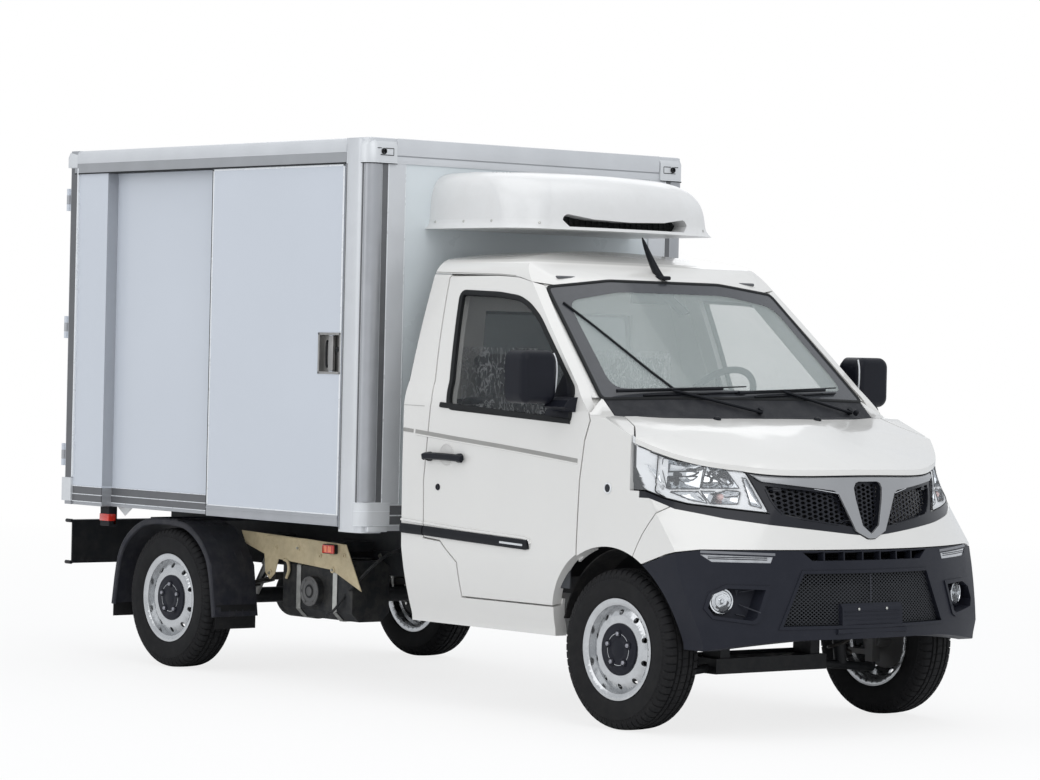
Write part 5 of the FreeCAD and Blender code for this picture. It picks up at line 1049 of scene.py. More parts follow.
for knob in range(3):
    turned_into(vents, ((0, 0), (0.017, 0), (0.015, 0.014), (0, 0.015)),
                from_axle(-0.458, -0.06 + knob * 0.06, 1.008), (-1, 0, 0), 20)
placed("dash_vents", vents, screen_dark)
boss = bmesh.new()
column = Vector((-math.cos(math.radians(38)), 0, math.sin(math.radians(38))))
turned_into(boss, ((0, -0.004), (0.052, -0.004), (0.055, 0.01), (0.046, 0.022), (0.02, 0.027), (0, 0.028)),
            from_axle(-0.697, 0.37, 1.234) - column * 0.004, column, 40)
placed("steering_wheel_pad", boss, dash_light, "steering_wheel_body")
inner_mirror = bmesh.new()
box_in(inner_mirror, (FRONT_AXLE - 0.7, -0.115, 1.64), (FRONT_AXLE - 0.68, 0.115, 1.7), 0.009, 4)
tube_in(inner_mirror, [from_axle(-0.678, 0, 1.675), from_axle(-0.655, 0, 1.7), from_axle(-0.618, 0, 1.712)],
        0.007)
placed("inside_mirror", inner_mirror, dash_grain)
visor = bmesh.new()
for side in (-1, 1):
    side_box(visor, side, (FRONT_AXLE - 0.79, FRONT_AXLE - 0.655), (0.16, 0.54), (1.728, 1.741), 0.006, 3)
placed("sun_visors", visor, dash_light)
lining = box_in(bmesh.new(), (FRONT_AXLE - 1.264, -0.6, 0.95), (FRONT_AXLE - 1.2625, 0.6, 1.235), 0.0005, 1)
placed("rear_lining", lining, dash_light)

# ---- Seats --------------------------------------------------------------------------------------
# Two foam seats on steel pans, covered in grey woven cloth with sewn seams.  New, they still wear thin
# crinkled clear film over the backrest and headrest.

def weave(name, colour, dark):
    """Woven cloth: two crossing sets of threads that colour and lift the surface, with a soft sheen."""
    material = coat(name, colour, 0.85, vary=0.1, patch=14)
    tree = material.node_tree
    shader = tree.nodes["Principled BSDF"]
    place = added(tree, "TexCoord").outputs["Object"]
    across, up = [added(tree, "TexWave", {"Scale": 260, "Distortion": 0.4, "Vector": place},
                        bands_direction=way) for way in ("X", "Z")]
    cross = added(tree, "Math", {0: across.outputs["Fac"], 1: up.outputs["Fac"]},
                  operation="MULTIPLY").outputs[0]
    plain = shader.inputs["Base Color"].links[0].from_socket
    mix = added(tree, "Mix", {"A": (*dark, 1), "B": plain, "Factor": cross}, data_type="RGBA")
    bump = added(tree, "Bump", {"Strength": 0.5, "Distance": 0.0006, "Height": cross})
    plug(tree, shader, {"Sheen Weight": 0.35, "Base Color": mix.outputs["Result"],
                        "Normal": bump.outputs["Normal"]})
    return material


seat_cloth = weave("seat_cloth", (0.085, 0.09, 0.1), (0.04, 0.042, 0.048))
seat_pans = coat("seat_pans", (0.03, 0.03, 0.033), 0.55, vary=0.15, relief=(0.3, 200))
SEAT_OUT, SWELL_FRAMES = 0.37, 20
# Each pad: its middle ahead and up, its size, tilt in degrees, greatest swelling and filling.
PADS = (
    ("cushion", (-0.915, 0.835), (0.52, 0.46, 0.128), -4, 0.01, 0.75),
    ("backrest", (-1.156, 1.04), (0.112, 0.45, 0.44), -6.5, 0.008, 0.75),
    ("headrest", (-1.188, 1.34), (0.098, 0.27, 0.17), -6.5, 0.004, 0.85),
)


def crowned(name, size, cap):
    """A stuffed pad: a rounded block that is inflated as cloth, then sewn along its edges."""
    deep, wide, tall = size
    shape = bmesh.new()
    box_in(shape, (-deep / 2 + cap, -wide / 2 + cap, -tall / 2 + cap),
           (deep / 2 - cap, wide / 2 - cap, tall / 2 - cap), min(size) * 0.28, 4)
    mesh = bpy.data.meshes.new(name)
    shape.to_mesh(mesh)
    shape.free()
    pad = add_object(name, mesh)
    pad.select_set(False)
    remesh = pad.modifiers.new("even_mesh", "REMESH")
    remesh.mode = "VOXEL"
    remesh.voxel_size = 0.0085
    graph = bpy.context.evaluated_depsgraph_get()
    pad.data = bpy.data.meshes.new_from_object(pad.evaluated_get(graph))
    pad.modifiers.clear()
    rest = [vert.co.copy() for vert in pad.data.vertices]
    cloth = pad.modifiers.new("stuffing", "CLOTH")
    cloth.settings.use_pressure = True
    cloth.settings.uniform_pressure_force = 4
    cloth.settings.effector_weights.gravity = 0
    cloth.settings.quality = 4
    cloth.point_cache.frame_start, cloth.point_cache.frame_end = 1, SWELL_FRAMES
    for step in range(1, SWELL_FRAMES + 1):
        scene.frame_set(step)
    graph = bpy.context.evaluated_depsgraph_get()
    swollen = bpy.data.meshes.new_from_object(pad.evaluated_get(graph))
    pad.modifiers.clear()
    for vert, start in zip(pad.data.vertices, rest):
        move = swollen.vertices[vert.index].co - start
        if move.length > cap:
            move *= cap / move.length
        vert.co = start + move
    scene.frame_set(1)
    lying, long = tall < deep, max(deep, tall)
    face = UP if lying else AHEAD
    for vert in pad.data.vertices:
        along = vert.co.x if lying else vert.co.z
        crown = (1 - (2 * vert.co.y / wide) ** 2) * (1 - (2 * along / long) ** 2)
        seam = 0.0
        if name != "headrest":
            for line in (-0.29, 0.29):
                seam += math.exp(-((vert.co.y - line * wide) / 0.006) ** 2)
            share = along / (deep if lying else tall)
            for line in (-0.18, 0.06, 0.3):
                if abs(vert.co.y) < 0.29 * wide:
                    seam += 0.7 * math.exp(-((share - line) * long / 0.006) ** 2)
        lift = crown * 0.004 - min(seam, 1) * 0.0055
        out = vert.co.dot(face)
        if abs(out) > 0.2 * min(deep, tall):
            vert.co += face * math.copysign(lift, out)
    return pad


for part, (ahead, up), size, tilt, cap, fill in PADS:
    first = crowned(part, size, cap)
    second = add_object("left_" + part, first.data.copy())
    for pad, side, label in ((first, -1, "right"), (second, 1, "left")):
        pad.name = label + "_seat_" + part
        place = Matrix.Translation(from_axle(ahead, side * SEAT_OUT,
                                             up)) @ Matrix.Rotation(math.radians(tilt), 4, "Y")
        pad.data.transform(place)
        pad.data.materials.clear()
        pad.data.materials.append(seat_cloth)
        smooth(pad.data)
        soft = pad.modifiers.new("soft", "SUBSURF")
        soft.levels = soft.render_levels = 1
        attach(pad, "vehicle")
        if side < 0 and part == "cushion":
            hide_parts("seats")
frames = bmesh.new()
for side in (-1, 1):
    middle = side * SEAT_OUT
    box_in(frames, (FRONT_AXLE - 1.2, middle - 0.21, 0.7175), (FRONT_AXLE - 0.68, middle + 0.21, 0.768),
           0.008, 3)
    for across in (-0.055, 0.055):
        tube_in(frames, [from_axle(-1.172, middle + across, 1.235),
                         from_axle(-1.184, middle + across, 1.285)], 0.006)
    box_in(frames, (FRONT_AXLE - 1.19, middle - 0.235, 0.77), (FRONT_AXLE - 1.1, middle - 0.222, 0.9), 0.004)
    box_in(frames, (FRONT_AXLE - 1.19, middle + 0.222, 0.77), (FRONT_AXLE - 1.1, middle + 0.235, 0.9), 0.004)
placed("seat_frames", frames, seat_pans)

film, tree, shader = blank_material("crinkled_film")
place = added(tree, "TexCoord").outputs["Object"]
crinkle = added(tree, "TexNoise", {"Scale": 24, "Detail": 5, "Distortion": 1.2})
drawn_out = added(tree, "Mapping", {"Scale": (1.0, 1.5, 0.55), "Vector": place})
plug(tree, crinkle, {"Vector": drawn_out.outputs["Vector"]})
centred = added(tree, "Math", {0: crinkle.outputs["Fac"], 1: 0.5}, operation="SUBTRACT")
folded = added(tree, "Math", {0: centred.outputs[0]}, operation="ABSOLUTE")
# Along its folds the film is drawn opaque white, a painted highlight for the glints on its creases; elsewhere
# it is nearly clear.
crease_painted_highlight = added(tree, "MapRange", {"From Min": 0.0, "From Max": 0.052, "To Min": 1.0, "To Max": 0.14,
                                   "Value": folded.outputs[0]})
bump = added(tree, "Bump", {"Strength": 1.0, "Distance": 0.01, "Height": crinkle.outputs["Fac"]})
plug(tree, shader, {"Base Color": (0.93, 0.94, 0.95, 1), "Roughness": 0.12,
                    "Alpha": crease_painted_highlight.outputs["Result"], "Normal": bump.outputs["Normal"]})
ROWS, STEPS, FILM_FOOT, FILM_TALL = 48, 60, 0.845, 0.605
for side, label in SIDES:
    cover = bmesh.new()
    rows = []
    for k in range(ROWS + 1):
        share = k / ROWS
        row = []
        for j in range(STEPS + 1):
            spread = j / STEPS * 2.8 - 1.4
            up = FILM_FOOT + share * FILM_TALL
            wide = 0.245 if up < 1.22 else 0.16
            past = max(0, abs(spread) - 1)
            ahead = -1.072 - (up - FILM_FOOT) * 0.115 - 0.03 * min(1, abs(spread)) ** 4 - past * 0.3
            wave = noise.noise(Vector((spread * 7 + side * 9, share * 13, 3))) * 0.01
            wave += noise.noise(Vector((spread * 17, share * 31, side))) * 0.006
            reach = max(-1, min(1, spread)) * wide + wave * (past > 0)
            row.append(cover.verts.new(from_axle(ahead + 0.014 + wave, side * SEAT_OUT + reach, up)))
        rows.append(row)
    for low, high in zip(rows, rows[1:]):
        for j in range(STEPS):
            cover.faces.new((low[j], low[j + 1], high[j + 1], high[j]))
    film_area = sum(face.calc_area() for face in cover.faces)
    sheeting = placed(label + "_seat_film", cover, film)

# ---- Cooling unit and evaporator ----------------------------------------------------------------
# A moulded white shell on the box's front wall, with a dark air slot over the cab and rows of small
# vents in its top.  Inside the box its evaporator hangs under the roof.

unit_gelcoat = coat("unit_gelcoat", (0.72, 0.72, 0.715), 0.34, vary=0.025, patch=3, relief=(0.12, 120),
                    clear=0.15, dust=(0.5, 0.49, 0.46, 0.15))
finished("cooling_unit", unit_gelcoat, 0.006, segments=3)
DOWN, BACK = Vector((0, 0, -1)), Vector((-1, 0, 0))
SCREW = ((0, 0), (0.006, 0), (0.0055, 0.002), (0.003, 0.0032), (0, 0.0032))
dark_mesh = coat("dark_mesh", (0.02, 0.021, 0.022), 0.55, vary=0.2, relief=(1.0, 500))


def skin_of(*nodes):
    """The surface of some CAD pieces, to lay trim on."""
    verts, faces = [], []
    for node in nodes:
        body = frame["nodes"][node]
        start = len(verts)
        verts += [body.matrix_world @ vert.co for vert in body.data.vertices]
        faces += [[start + i for i in face.vertices] for face in body.data.polygons]
    return BVHTree.FromPolygons(verts, faces)


def laid(shape, skin, points, direction, section, lift=0.0, step=0.012, closed=False, times=0, even=2):
    """Sweeps a strip along a line dropped onto a surface in one direction."""
    line = resampled(rounded(points, times, closed) if times else points, step, closed)
    spots, normals = [], []
    for point in line:
        spot, normal, _, _ = skin.ray_cast(point, Vector(direction), 6.0)
        if spot is None:
            continue
        if normal.dot(Vector(direction)) > 0:
            normal = -normal
        spots.append(spot)
        normals.append(normal)
    count = len(spots)
    calm = []
    for i in range(count):
        total = Vector()
        for k in range(-even, even + 1):
            j = (i + k) % count if closed else min(max(i + k, 0), count - 1)
            total += normals[j]
        calm.append(total.normalized())
    spots = [spot + normal * lift for spot, normal in zip(spots, calm)]
    return swept_in(shape, spots, calm, section, closed)


unit_skin = skin_of("cooling_unit")
slot_back = bmesh.new()
rim = [(-0.338, 1.975), (-0.318, 1.994), (-0.29, 1.998), (-0.255, 1.995), (-0.19, 1.982), (-0.1, 1.977),
       (0.0, 1.976), (0.1, 1.977), (0.19, 1.982), (0.255, 1.995), (0.29, 1.998), (0.318, 1.994),
       (0.338, 1.975), (0.322, 1.95), (0.0, 1.9475), (-0.322, 1.95)]
slot_back.faces.new([slot_back.verts.new((0.7165, y, z)) for y, z in rim])
placed("air_slot_gauze", slot_back, dark_mesh)
bars = bmesh.new()
for count in range(-10, 11):
    box_in(bars, (0.716, count * 0.031 - 0.0018, 1.946),
           (0.7215, count * 0.031 + 0.0018, 1.998 if abs(count) > 7 else 1.98), 0.0005, 1)
for up in (1.956, 1.9665, 1.977):
    box_in(bars, (0.716, -0.33, up - 0.0012), (0.72, 0.33, up + 0.0012), 0.0004, 1)
placed("air_slot_bars", bars, dark_mesh)
vents = bmesh.new()
for row in range(7):
    for column in range(-24, 25):
        ahead, wide = 0.3 + row * 0.034, 0.4 - abs(row - 3) * 0.02
        across = (column + (row % 2) * 0.5) * 0.0175
        if abs(across) > wide:
            continue
        spot, normal, _, _ = unit_skin.ray_cast(Vector((ahead, across, 3.0)), DOWN)
        if spot is None:
            continue
        turned_into(vents, ((0.0, 0.0004), (0.0052, 0.0004), (0.0052, -0.002), (0, -0.002)), spot, normal, 6)
placed("top_vents", vents, dark_mesh)
swells = bmesh.new()
for row in (0.285, 0.52):
    laid(swells, unit_skin, [Vector((row, -0.42, 3)), Vector((row + 0.02, 0, 3)), Vector((row, 0.42, 3))],
         DOWN, raised(0.004, -0.001, 0.003, 0.002), times=2, step=0.03)
placed("top_ridges", swells, unit_gelcoat)
screws = bmesh.new()
for side in (-1, 1):
    for ahead in (0.215, 0.4, 0.58):
        spot, normal, _, _ = unit_skin.ray_cast(Vector((ahead, side * 2, 1.965)), Vector((0, -side, 0)))
        if spot:
            turned_into(screws, SCREW, spot, normal, 14)
for across in (-0.45, 0.45):
    spot, normal, _, _ = unit_skin.ray_cast(Vector((3, across, 1.958)), BACK)
    if spot:
        turned_into(screws, SCREW, spot, normal, 14)
placed("unit_screws", screws, zinc_bolt)
finished("evaporator", unit_gelcoat, 0.012, segments=4)
grilles = bmesh.new()
for centre in (-0.24, 0.24):
    for radius in (0.03, 0.05, 0.07, 0.09):
        turned_into(grilles, ((radius - 0.0018, 0), (radius + 0.0018, 0), (radius + 0.0018, 0.004),
                              (radius - 0.0018, 0.004)), Vector((-0.1805, centre, 2.13)), BACK, 40,
                    closed=True)
    for spoke in range(8):
        across, up = spun(0.09, spoke, 8)
        tube_in(grilles, [(-0.1825, centre, 2.13), (-0.1825, centre + across, 2.13 + up)], 0.0016, 6)
placed("evaporator_grilles", grilles, dark_mesh)

# ---- Cab shell ----------------------------------------------------------------------------------
# Pressed steel panels welded and bolted together, sprayed warm white under clear lacquer.  The drip
# seams and pressed grooves are drawn as thin grey strips: painted shade.

warm_white = coat("warm_white", (0.725, 0.715, 0.69), 0.24, vary=0.01, patch=2.2, relief=(0.03, 900),
                  clear=0.7, dust=(0.6, 0.58, 0.54, 0.05))
for node, ease in (("cab_sides", 0.0016), ("cab_roof", 0.0016), ("cab_rear_wall", 0.0016),
                   ("front_wings", 0.0016), ("front_panel", 0.0016), ("bonnet", 0.0022),
                   ("right_door_panel", 0.0016), ("left_door_panel", 0.0016)):
    finished(node, warm_white, ease, angle=50)
cowl_grain = coat("cowl_grain", (0.022, 0.023, 0.027), 0.55, vary=0.12, relief=(0.6, 600),
                  dust=(0.12, 0.12, 0.12, 0.2))
finished("cowl_panel", cowl_grain, 0.0012)

CAB_HALF = 0.8
# Cross-section of the cab's side as arcs through three points: inset from the widest point, height.
SIDE_ARCS = (((0.067, 0.361), (0.039, 0.452), (0.003, 0.636)), ((0.003, 0.636), (0.0, 0.9), (0.002, 1.207)),
             ((0.002, 1.207), (0.012, 1.262), (0.03, 1.309)), ((0.03, 1.309), (0.081, 1.514), (0.145, 1.73)),
             ((0.145, 1.73), (0.173, 1.778), (0.22, 1.808)))


def side_inset(up):
    """How far the cab's side lies inside its widest point at a height."""
    for low, middle, high in SIDE_ARCS:
        if up <= high[1] or high[1] > 1.8:
            break
    (y1, z1), (y2, z2), (y3, z3) = low, middle, high
    det = 2 * (y1 * (z2 - z3) + y2 * (z3 - z1) + y3 * (z1 - z2))
    a1, a2, a3 = y1 ** 2 + z1 ** 2, y2 ** 2 + z2 ** 2, y3 ** 2 + z3 ** 2
    cy = (a1 * (z2 - z3) + a2 * (z3 - z1) + a3 * (z1 - z2)) / det
    cz = (a1 * (y3 - y2) + a2 * (y1 - y3) + a3 * (y2 - y1)) / det
    radius = math.hypot(y2 - cy, z2 - cz)
    reach = math.sqrt(max(radius ** 2 - (up - cz) ** 2, 0))
    return cy - reach if y2 < cy else cy + reach


def on_side(ahead, up, side, lift=0.0):
    """A place on the cab's side and the outward normal there."""
    slope = (side_inset(up + 0.004) - side_inset(up - 0.004)) / 0.008
    normal = Vector((0, side, slope)).normalized()
    return from_axle(ahead, side * (CAB_HALF - side_inset(up)), up) + normal * lift, normal


def side_strip(shape, points, side, section, lift=0.0, step=0.012, closed=False, corner=0.0):
    """Sweeps a strip along an (ahead, up) line on the cab's side."""
    flat = [Vector((ahead, up, 0)) for ahead, up in points]
    line = resampled(eased(flat, corner, closed) if corner else flat, step, closed)
    spots = [on_side(p.x, p.y, side, lift) for p in line]
    return swept_in(shape, [spot for spot, _ in spots], [normal for _, normal in spots], section, closed)


# A grey for thin strips along seams and pressed grooves: painted shade.
seam_painted_shade = coat("seam_painted_shade", (0.3, 0.295, 0.28), 0.5, vary=0.08)
moulding_black = coat("moulding_black", (0.009, 0.01, 0.013), 0.34, vary=0.12, relief=(0.15, 500))
SCREEN_EDGE = ((-0.707, 1.26), (-0.35, 1.268), (0.35, 1.268), (0.707, 1.26), (0.612, 1.694), (0.3, 1.727),
               (-0.3, 1.727), (-0.612, 1.694))
SCREEN_BOW, SCREEN_RAKE = 2.885, 1.096


def on_screen(across, up, lift=0.0):
    """A place on the windscreen's curved face and its outward normal."""
    bow = SCREEN_BOW - math.sqrt(SCREEN_BOW ** 2 - across ** 2)
    normal = Vector((1, across / SCREEN_BOW, SCREEN_RAKE)).normalized()
    return from_axle(1.2846 - SCREEN_RAKE * up - bow, across, up) + normal * lift, normal


def screen_strip(shape, points, section, lift=0.0, step=0.02, closed=False, corner=0.0):
    """Sweeps a strip along an (across, up) line on the windscreen."""
    flat = [Vector((across, up, 0)) for across, up in points]
    line = resampled(eased(flat, corner, closed) if corner else flat, step, closed)
    spots = [on_screen(p.x, p.y, lift) for p in line]
    return swept_in(shape, [spot for spot, _ in spots], [normal for _, normal in spots], section, closed)


side_skin = skin_of("cab_sides", "cab_roof")
for side, label in SIDES:
    # The drip seam and the post grooves are grey strips of painted shade.
    drip = bmesh.new()
    drip_line = [Vector((FRONT_AXLE + ahead, side * 2, up))
                 for ahead, up in ((-1.298, 1.753), (-0.885, 1.744), (-0.78, 1.738))]
    laid(drip, side_skin, drip_line, (0, -side, 0), raised(0.0016, 0.0001, 0.0012, 0.0012))
    placed(label + "_drip_seam", drip, seam_painted_shade)
    step = bmesh.new()
    side_strip(step, [(-1.298, 1.2085), (-1.165, 1.2065)], side, raised(0.001, 0, 0.0008, 0.0008))
    side_strip(step, [(-1.298, 1.1085), (-1.2325, 1.104)], side, raised(0.0075, 0.0002, 0.007, 0.001))
    placed(label + "_post_grooves", step, seam_painted_shade)

# ---- Windscreen and rear window -----------------------------------------------------------------
# Laminated glass bonded to the body, with a black baked-on border, a rubber lip round it and a green
# tint.

def tinted(name, colour, alpha):
    """Glass that lets light through and mirrors the sky, a little dusty in patches."""
    glass, tree, shader = blank_material(name)
    place = added(tree, "TexCoord").outputs["Object"]
    dust = added(tree, "TexNoise", {"Scale": 2.4, "Detail": 8, "Vector": place})
    film = added(tree, "MapRange", {"From Min": 0.35, "From Max": 0.75, "To Min": alpha * 0.9,
                                    "To Max": min(1, alpha * 1.15), "Value": dust.outputs["Fac"]})
    plug(tree, shader, {"Base Color": (*colour, 1), "Roughness": 0.02, "IOR": 1.5,
                        "Alpha": film.outputs["Result"]})
    return glass


screen_glass = tinted("screen_glass", (0.5, 0.56, 0.55), 0.34)
door_glass = tinted("door_glass", (0.03, 0.036, 0.04), 0.22)
finished("cab_glass", screen_glass, 0.0005)
baked = coat("baked_border", (0.05, 0.053, 0.06), 0.22, vary=0.06, patch=30, clear=0.4)
screen_seal = screen_strip(bmesh.new(), SCREEN_EDGE,
                           [(-0.0075, -0.003), (0.0075, -0.003), (0.008, 0.001), (0.0045, 0.0045),
                            (-0.0045, 0.0045), (-0.008, 0.001)], step=0.012, closed=True, corner=0.022)
placed("screen_seal", screen_seal, seal_rubber)
border = bmesh.new()
outer = [(-0.705, 1.262), (-0.35, 1.27), (0.35, 1.27), (0.705, 1.262), (0.61, 1.693), (0.3, 1.726),
         (-0.3, 1.726), (-0.61, 1.693)]
inner = [(-0.63, 1.302), (-0.35, 1.3), (0.35, 1.3), (0.63, 1.302), (0.562, 1.64), (0.29, 1.682),
         (-0.29, 1.682), (-0.562, 1.64)]


def stations(points, corner):
    """The same number of places on each run of an outline, so that two outlines can be joined."""
    line = eased([Vector((x, z, 0)) for x, z in points], corner, True)
    return [line[i].lerp(line[(i + 1) % len(line)], k / 6) for i in range(len(line)) for k in range(6)]


strips = []
for a, b in zip(stations(outer, 0.02), stations(inner, 0.055)):
    strips.append([border.verts.new(on_screen(*(a.lerp(b, k / 6))[:2], 0.0004)[0]) for k in range(7)])
for near, far in zip(strips, strips[1:] + strips[:1]):
    for k in range(6):
        border.faces.new((near[k], far[k], far[k + 1], near[k + 1]))
placed("screen_border", border, baked)
mirror_stalk_cover = screen_strip(bmesh.new(), [(-0.05, 1.728), (-0.03, 1.68), (0.005, 1.612)],
                                  raised(0.03, -0.02, 0.022, -0.008), corner=0.02)
placed("mirror_stalk_cover", mirror_stalk_cover, moulding_black)
screen_rubber_strip = screen_strip(bmesh.new(), [(-0.59, 1.63), (-0.53, 1.55), (-0.47, 1.46), (-0.41, 1.37),
                                                 (-0.355, 1.3)],
                                   [(-0.0042, 0.0005), (0.0042, 0.0005), (0.0048, 0.006), (0.0015, 0.009),
                                    (-0.0015, 0.009), (-0.0048, 0.006)], corner=0.03)
placed("screen_rubber_strip", screen_rubber_strip, moulding_black)
rear_trim = bmesh.new()
window = [from_axle(-1.3002, y, z) for y, z in ((-0.43, 1.27), (0.43, 1.27), (0.405, 1.6), (-0.405, 1.6))]
path = resampled(eased(window, 0.05, True), 0.02, True)
swept_in(rear_trim, path, [BACK] * len(path), raised(0.012, 0, 0.009, 0.005), True)
placed("rear_window_seal", rear_trim, seal_rubber)

# ---- Cab doors ----------------------------------------------------------------------------------
# Each door's window is framed in thick black rubber, with a belt strip at its foot and a black sail
# that carries the mirror.  The pull handle has a dished recess; a groove and a moulding run along it.
# The recess and the groove are coloured darker than the paint: painted shade.

WINDOW = ((-1.096, 1.671), (-0.852, 1.663), (-0.721, 1.648), (-0.649, 1.62), (-0.569, 1.569), (-0.392, 1.406),
          (-0.262, 1.284), (-0.262, 1.1705), (-1.014, 1.206))
MOULDING = ((-0.02, 0.0002), (0.02, 0.0002), (0.018, 0.008), (0.009, 0.0115), (-0.012, 0.0105),
            (-0.019, 0.006))
# A grey a little darker than the paint: painted shade in the handle's dished recess.
recess_painted_shade = coat("recess_painted_shade", (0.64, 0.63, 0.61), 0.4, vary=0.05, patch=20)
trim_fabric = coat("trim_fabric", (0.075, 0.078, 0.085), 0.8, vary=0.1, relief=(0.7, 400))
mirror_black = coat("mirror_black", (0.01, 0.011, 0.016), 0.38, vary=0.12, relief=(0.35, 800))
mirror_face = coat("mirror_face", (0.72, 0.74, 0.76), 0.03, metallic=1, vary=0.02)
for side, label in SIDES:
    body = label + "_cab_door"
    finished(label + "_door_glass", door_glass, 0.0004)
    finished(label + "_door_mirror", mirror_black, 0.01, segments=4, angle=20)
    window_rubber = side_strip(bmesh.new(), WINDOW, side,
                               [(-0.0105, -0.014), (0.0105, -0.014), (0.0105, 0.0015), (0.007, 0.0035),
                                (-0.007, 0.0035), (-0.0105, 0.0015)], closed=True, corner=0.03)
    placed(label + "_window_rubber", window_rubber, seal_rubber, body)
    belt_strip = side_strip(bmesh.new(), [(-1.062, 1.2145), (-0.262, 1.1705)], side,
                            [(-0.011, -0.002), (0.011, -0.002), (0.0105, 0.004), (0.006, 0.0075),
                             (-0.007, 0.0075), (-0.0105, 0.004)])
    placed(label + "_belt_strip", belt_strip, seal_rubber, body)
    sail = bmesh.new()
    corners = [(-0.262, 1.176), (-0.262, 1.284), (-0.345, 1.366), (-0.42, 1.186)]
    outer_ring, inner_ring = [], []
    for ahead, up in corners:
        outer_ring.append(sail.verts.new(on_side(ahead, up, side, 0.0015)[0]))
        inner_ring.append(sail.verts.new(on_side(ahead, up, side, -0.012)[0]))
    sail.faces.new(outer_ring)
    sail.faces.new(inner_ring)
    joined(sail, (outer_ring, inner_ring))
    placed(label + "_mirror_sail", sail, mirror_black, body)
    # The waist groove is a thin grey strip: painted shade in the crease.
    waist_groove = side_strip(bmesh.new(), [(-1.2185, 1.103), (-0.955, 1.0815), (-0.68, 1.061), (-0.43, 1.04),
                                            (-0.2115, 1.0205)], side, raised(0.008, 0.0002, 0.007, 0.001))
    placed(label + "_waist_groove", waist_groove, seam_painted_shade, body)
    ridges = bmesh.new()
    side_strip(ridges, [(-1.2185, 1.0915), (-0.955, 1.07), (-0.68, 1.0495), (-0.43, 1.0285),
                        (-0.2115, 1.009)], side, raised(0.0035, 0.0002, 0.002, 0.0024))
    side_strip(ridges, [(-1.1475, 0.735), (-0.9, 0.721), (-0.52, 0.7075), (-0.488, 0.7), (-0.484, 0.686)],
               side, raised(0.006, 0.0002, 0.004, 0.006), corner=0.03)
    placed(label + "_door_ridges", ridges, warm_white, body)
    side_moulding = side_strip(bmesh.new(), [(-1.148, 0.7035), (-0.9, 0.6935), (-0.515, 0.68),
                                             (-0.494, 0.6835)], side, MOULDING)
    placed(label + "_side_moulding", side_moulding, moulding_black, body)
    tip = side_strip(bmesh.new(), [(-0.66, 0.6835), (-0.52, 0.679)], side,
                     raised(0.0045, 0.0105, 0.0035, 0.0124))
    placed(label + "_moulding_tip", tip, cast_light, body)
    handle = bmesh.new()
    grip_line = [(-1.141, 1.003), (-1.125, 1.0065), (-1.06, 1.0075), (-0.98, 1.0065), (-0.915, 1.0045),
                 (-0.897, 1.001)]
    side_strip(handle, grip_line, side, [(-0.013, 0.012), (0.0, 0.0085), (0.013, 0.012), (0.0145, 0.02),
                                         (0.0095, 0.0285), (-0.0095, 0.0285), (-0.0145, 0.02)], corner=0.02)
    for ahead in (-1.118, -0.925):
        spot, normal = on_side(ahead, 1.0045, side)
        turned_into(handle, ((0.019, 0.0), (0.0185, 0.012), (0.016, 0.0185), (0.0, 0.019)), spot, normal, 28)
    placed(label + "_door_handle", handle, mirror_black, body)
    cup = bmesh.new()
    spot, normal = on_side(-1.015, 1.0145, side)
    turned_into(cup, ((0.0, 0.0004), (0.036, 0.0004), (0.0405, 0.001), (0.0425, 0.0022), (0.0445, 0.001),
                      (0.045, 0.0002)), spot, normal, 48)
    placed(label + "_handle_recess_shade", cup, recess_painted_shade, body)
    key = bmesh.new()
    spot, normal = on_side(-1.065, 0.883, side)
    turned_into(key, ((0.0, 0.0045), (0.0028, 0.0045), (0.006, 0.0058), (0.011, 0.005), (0.013, 0.002),
                      (0.0135, 0.0)), spot, normal, 28)
    placed(label + "_key_barrel", key, mirror_black, body)
    card = bmesh.new()
    side_box(card, side, (FRONT_AXLE - 1.1, FRONT_AXLE - 0.3), (0.742, 0.75), (0.52, 1.14), 0.006, 3)
    side_box(card, side, (FRONT_AXLE - 0.96, FRONT_AXLE - 0.5), (0.705, 0.744), (0.88, 0.93), 0.012, 4)
    placed(label + "_door_card", card, trim_fabric, body)
    rim_line = bmesh.new()
    glass_ring = [from_axle(-0.4205, side * y, z) for y, z in ((0.838, 1.262), (0.962, 1.262), (0.978, 1.28),
                                                               (0.978, 1.402), (0.96, 1.42), (0.842, 1.42),
                                                               (0.824, 1.402), (0.824, 1.28))]
    face = [rim_line.verts.new(p + Vector((-0.0008, 0, 0))) for p in glass_ring]
    rim_line.faces.new(face)
    placed(label + "_mirror_glass", rim_line, mirror_face, body)
    piping = bmesh.new()
    ring = [from_axle(-0.42, side * y, z) for y, z in ((0.832, 1.256), (0.968, 1.256), (0.984, 1.276),
                                                       (0.984, 1.406), (0.966, 1.426), (0.836, 1.426),
                                                       (0.818, 1.406), (0.818, 1.276))]
    tube_in(piping, resampled(eased(ring, 0.015, True), 0.01, True), 0.0035, 8, True)
    placed(label + "_mirror_piping", piping, mirror_black, body)
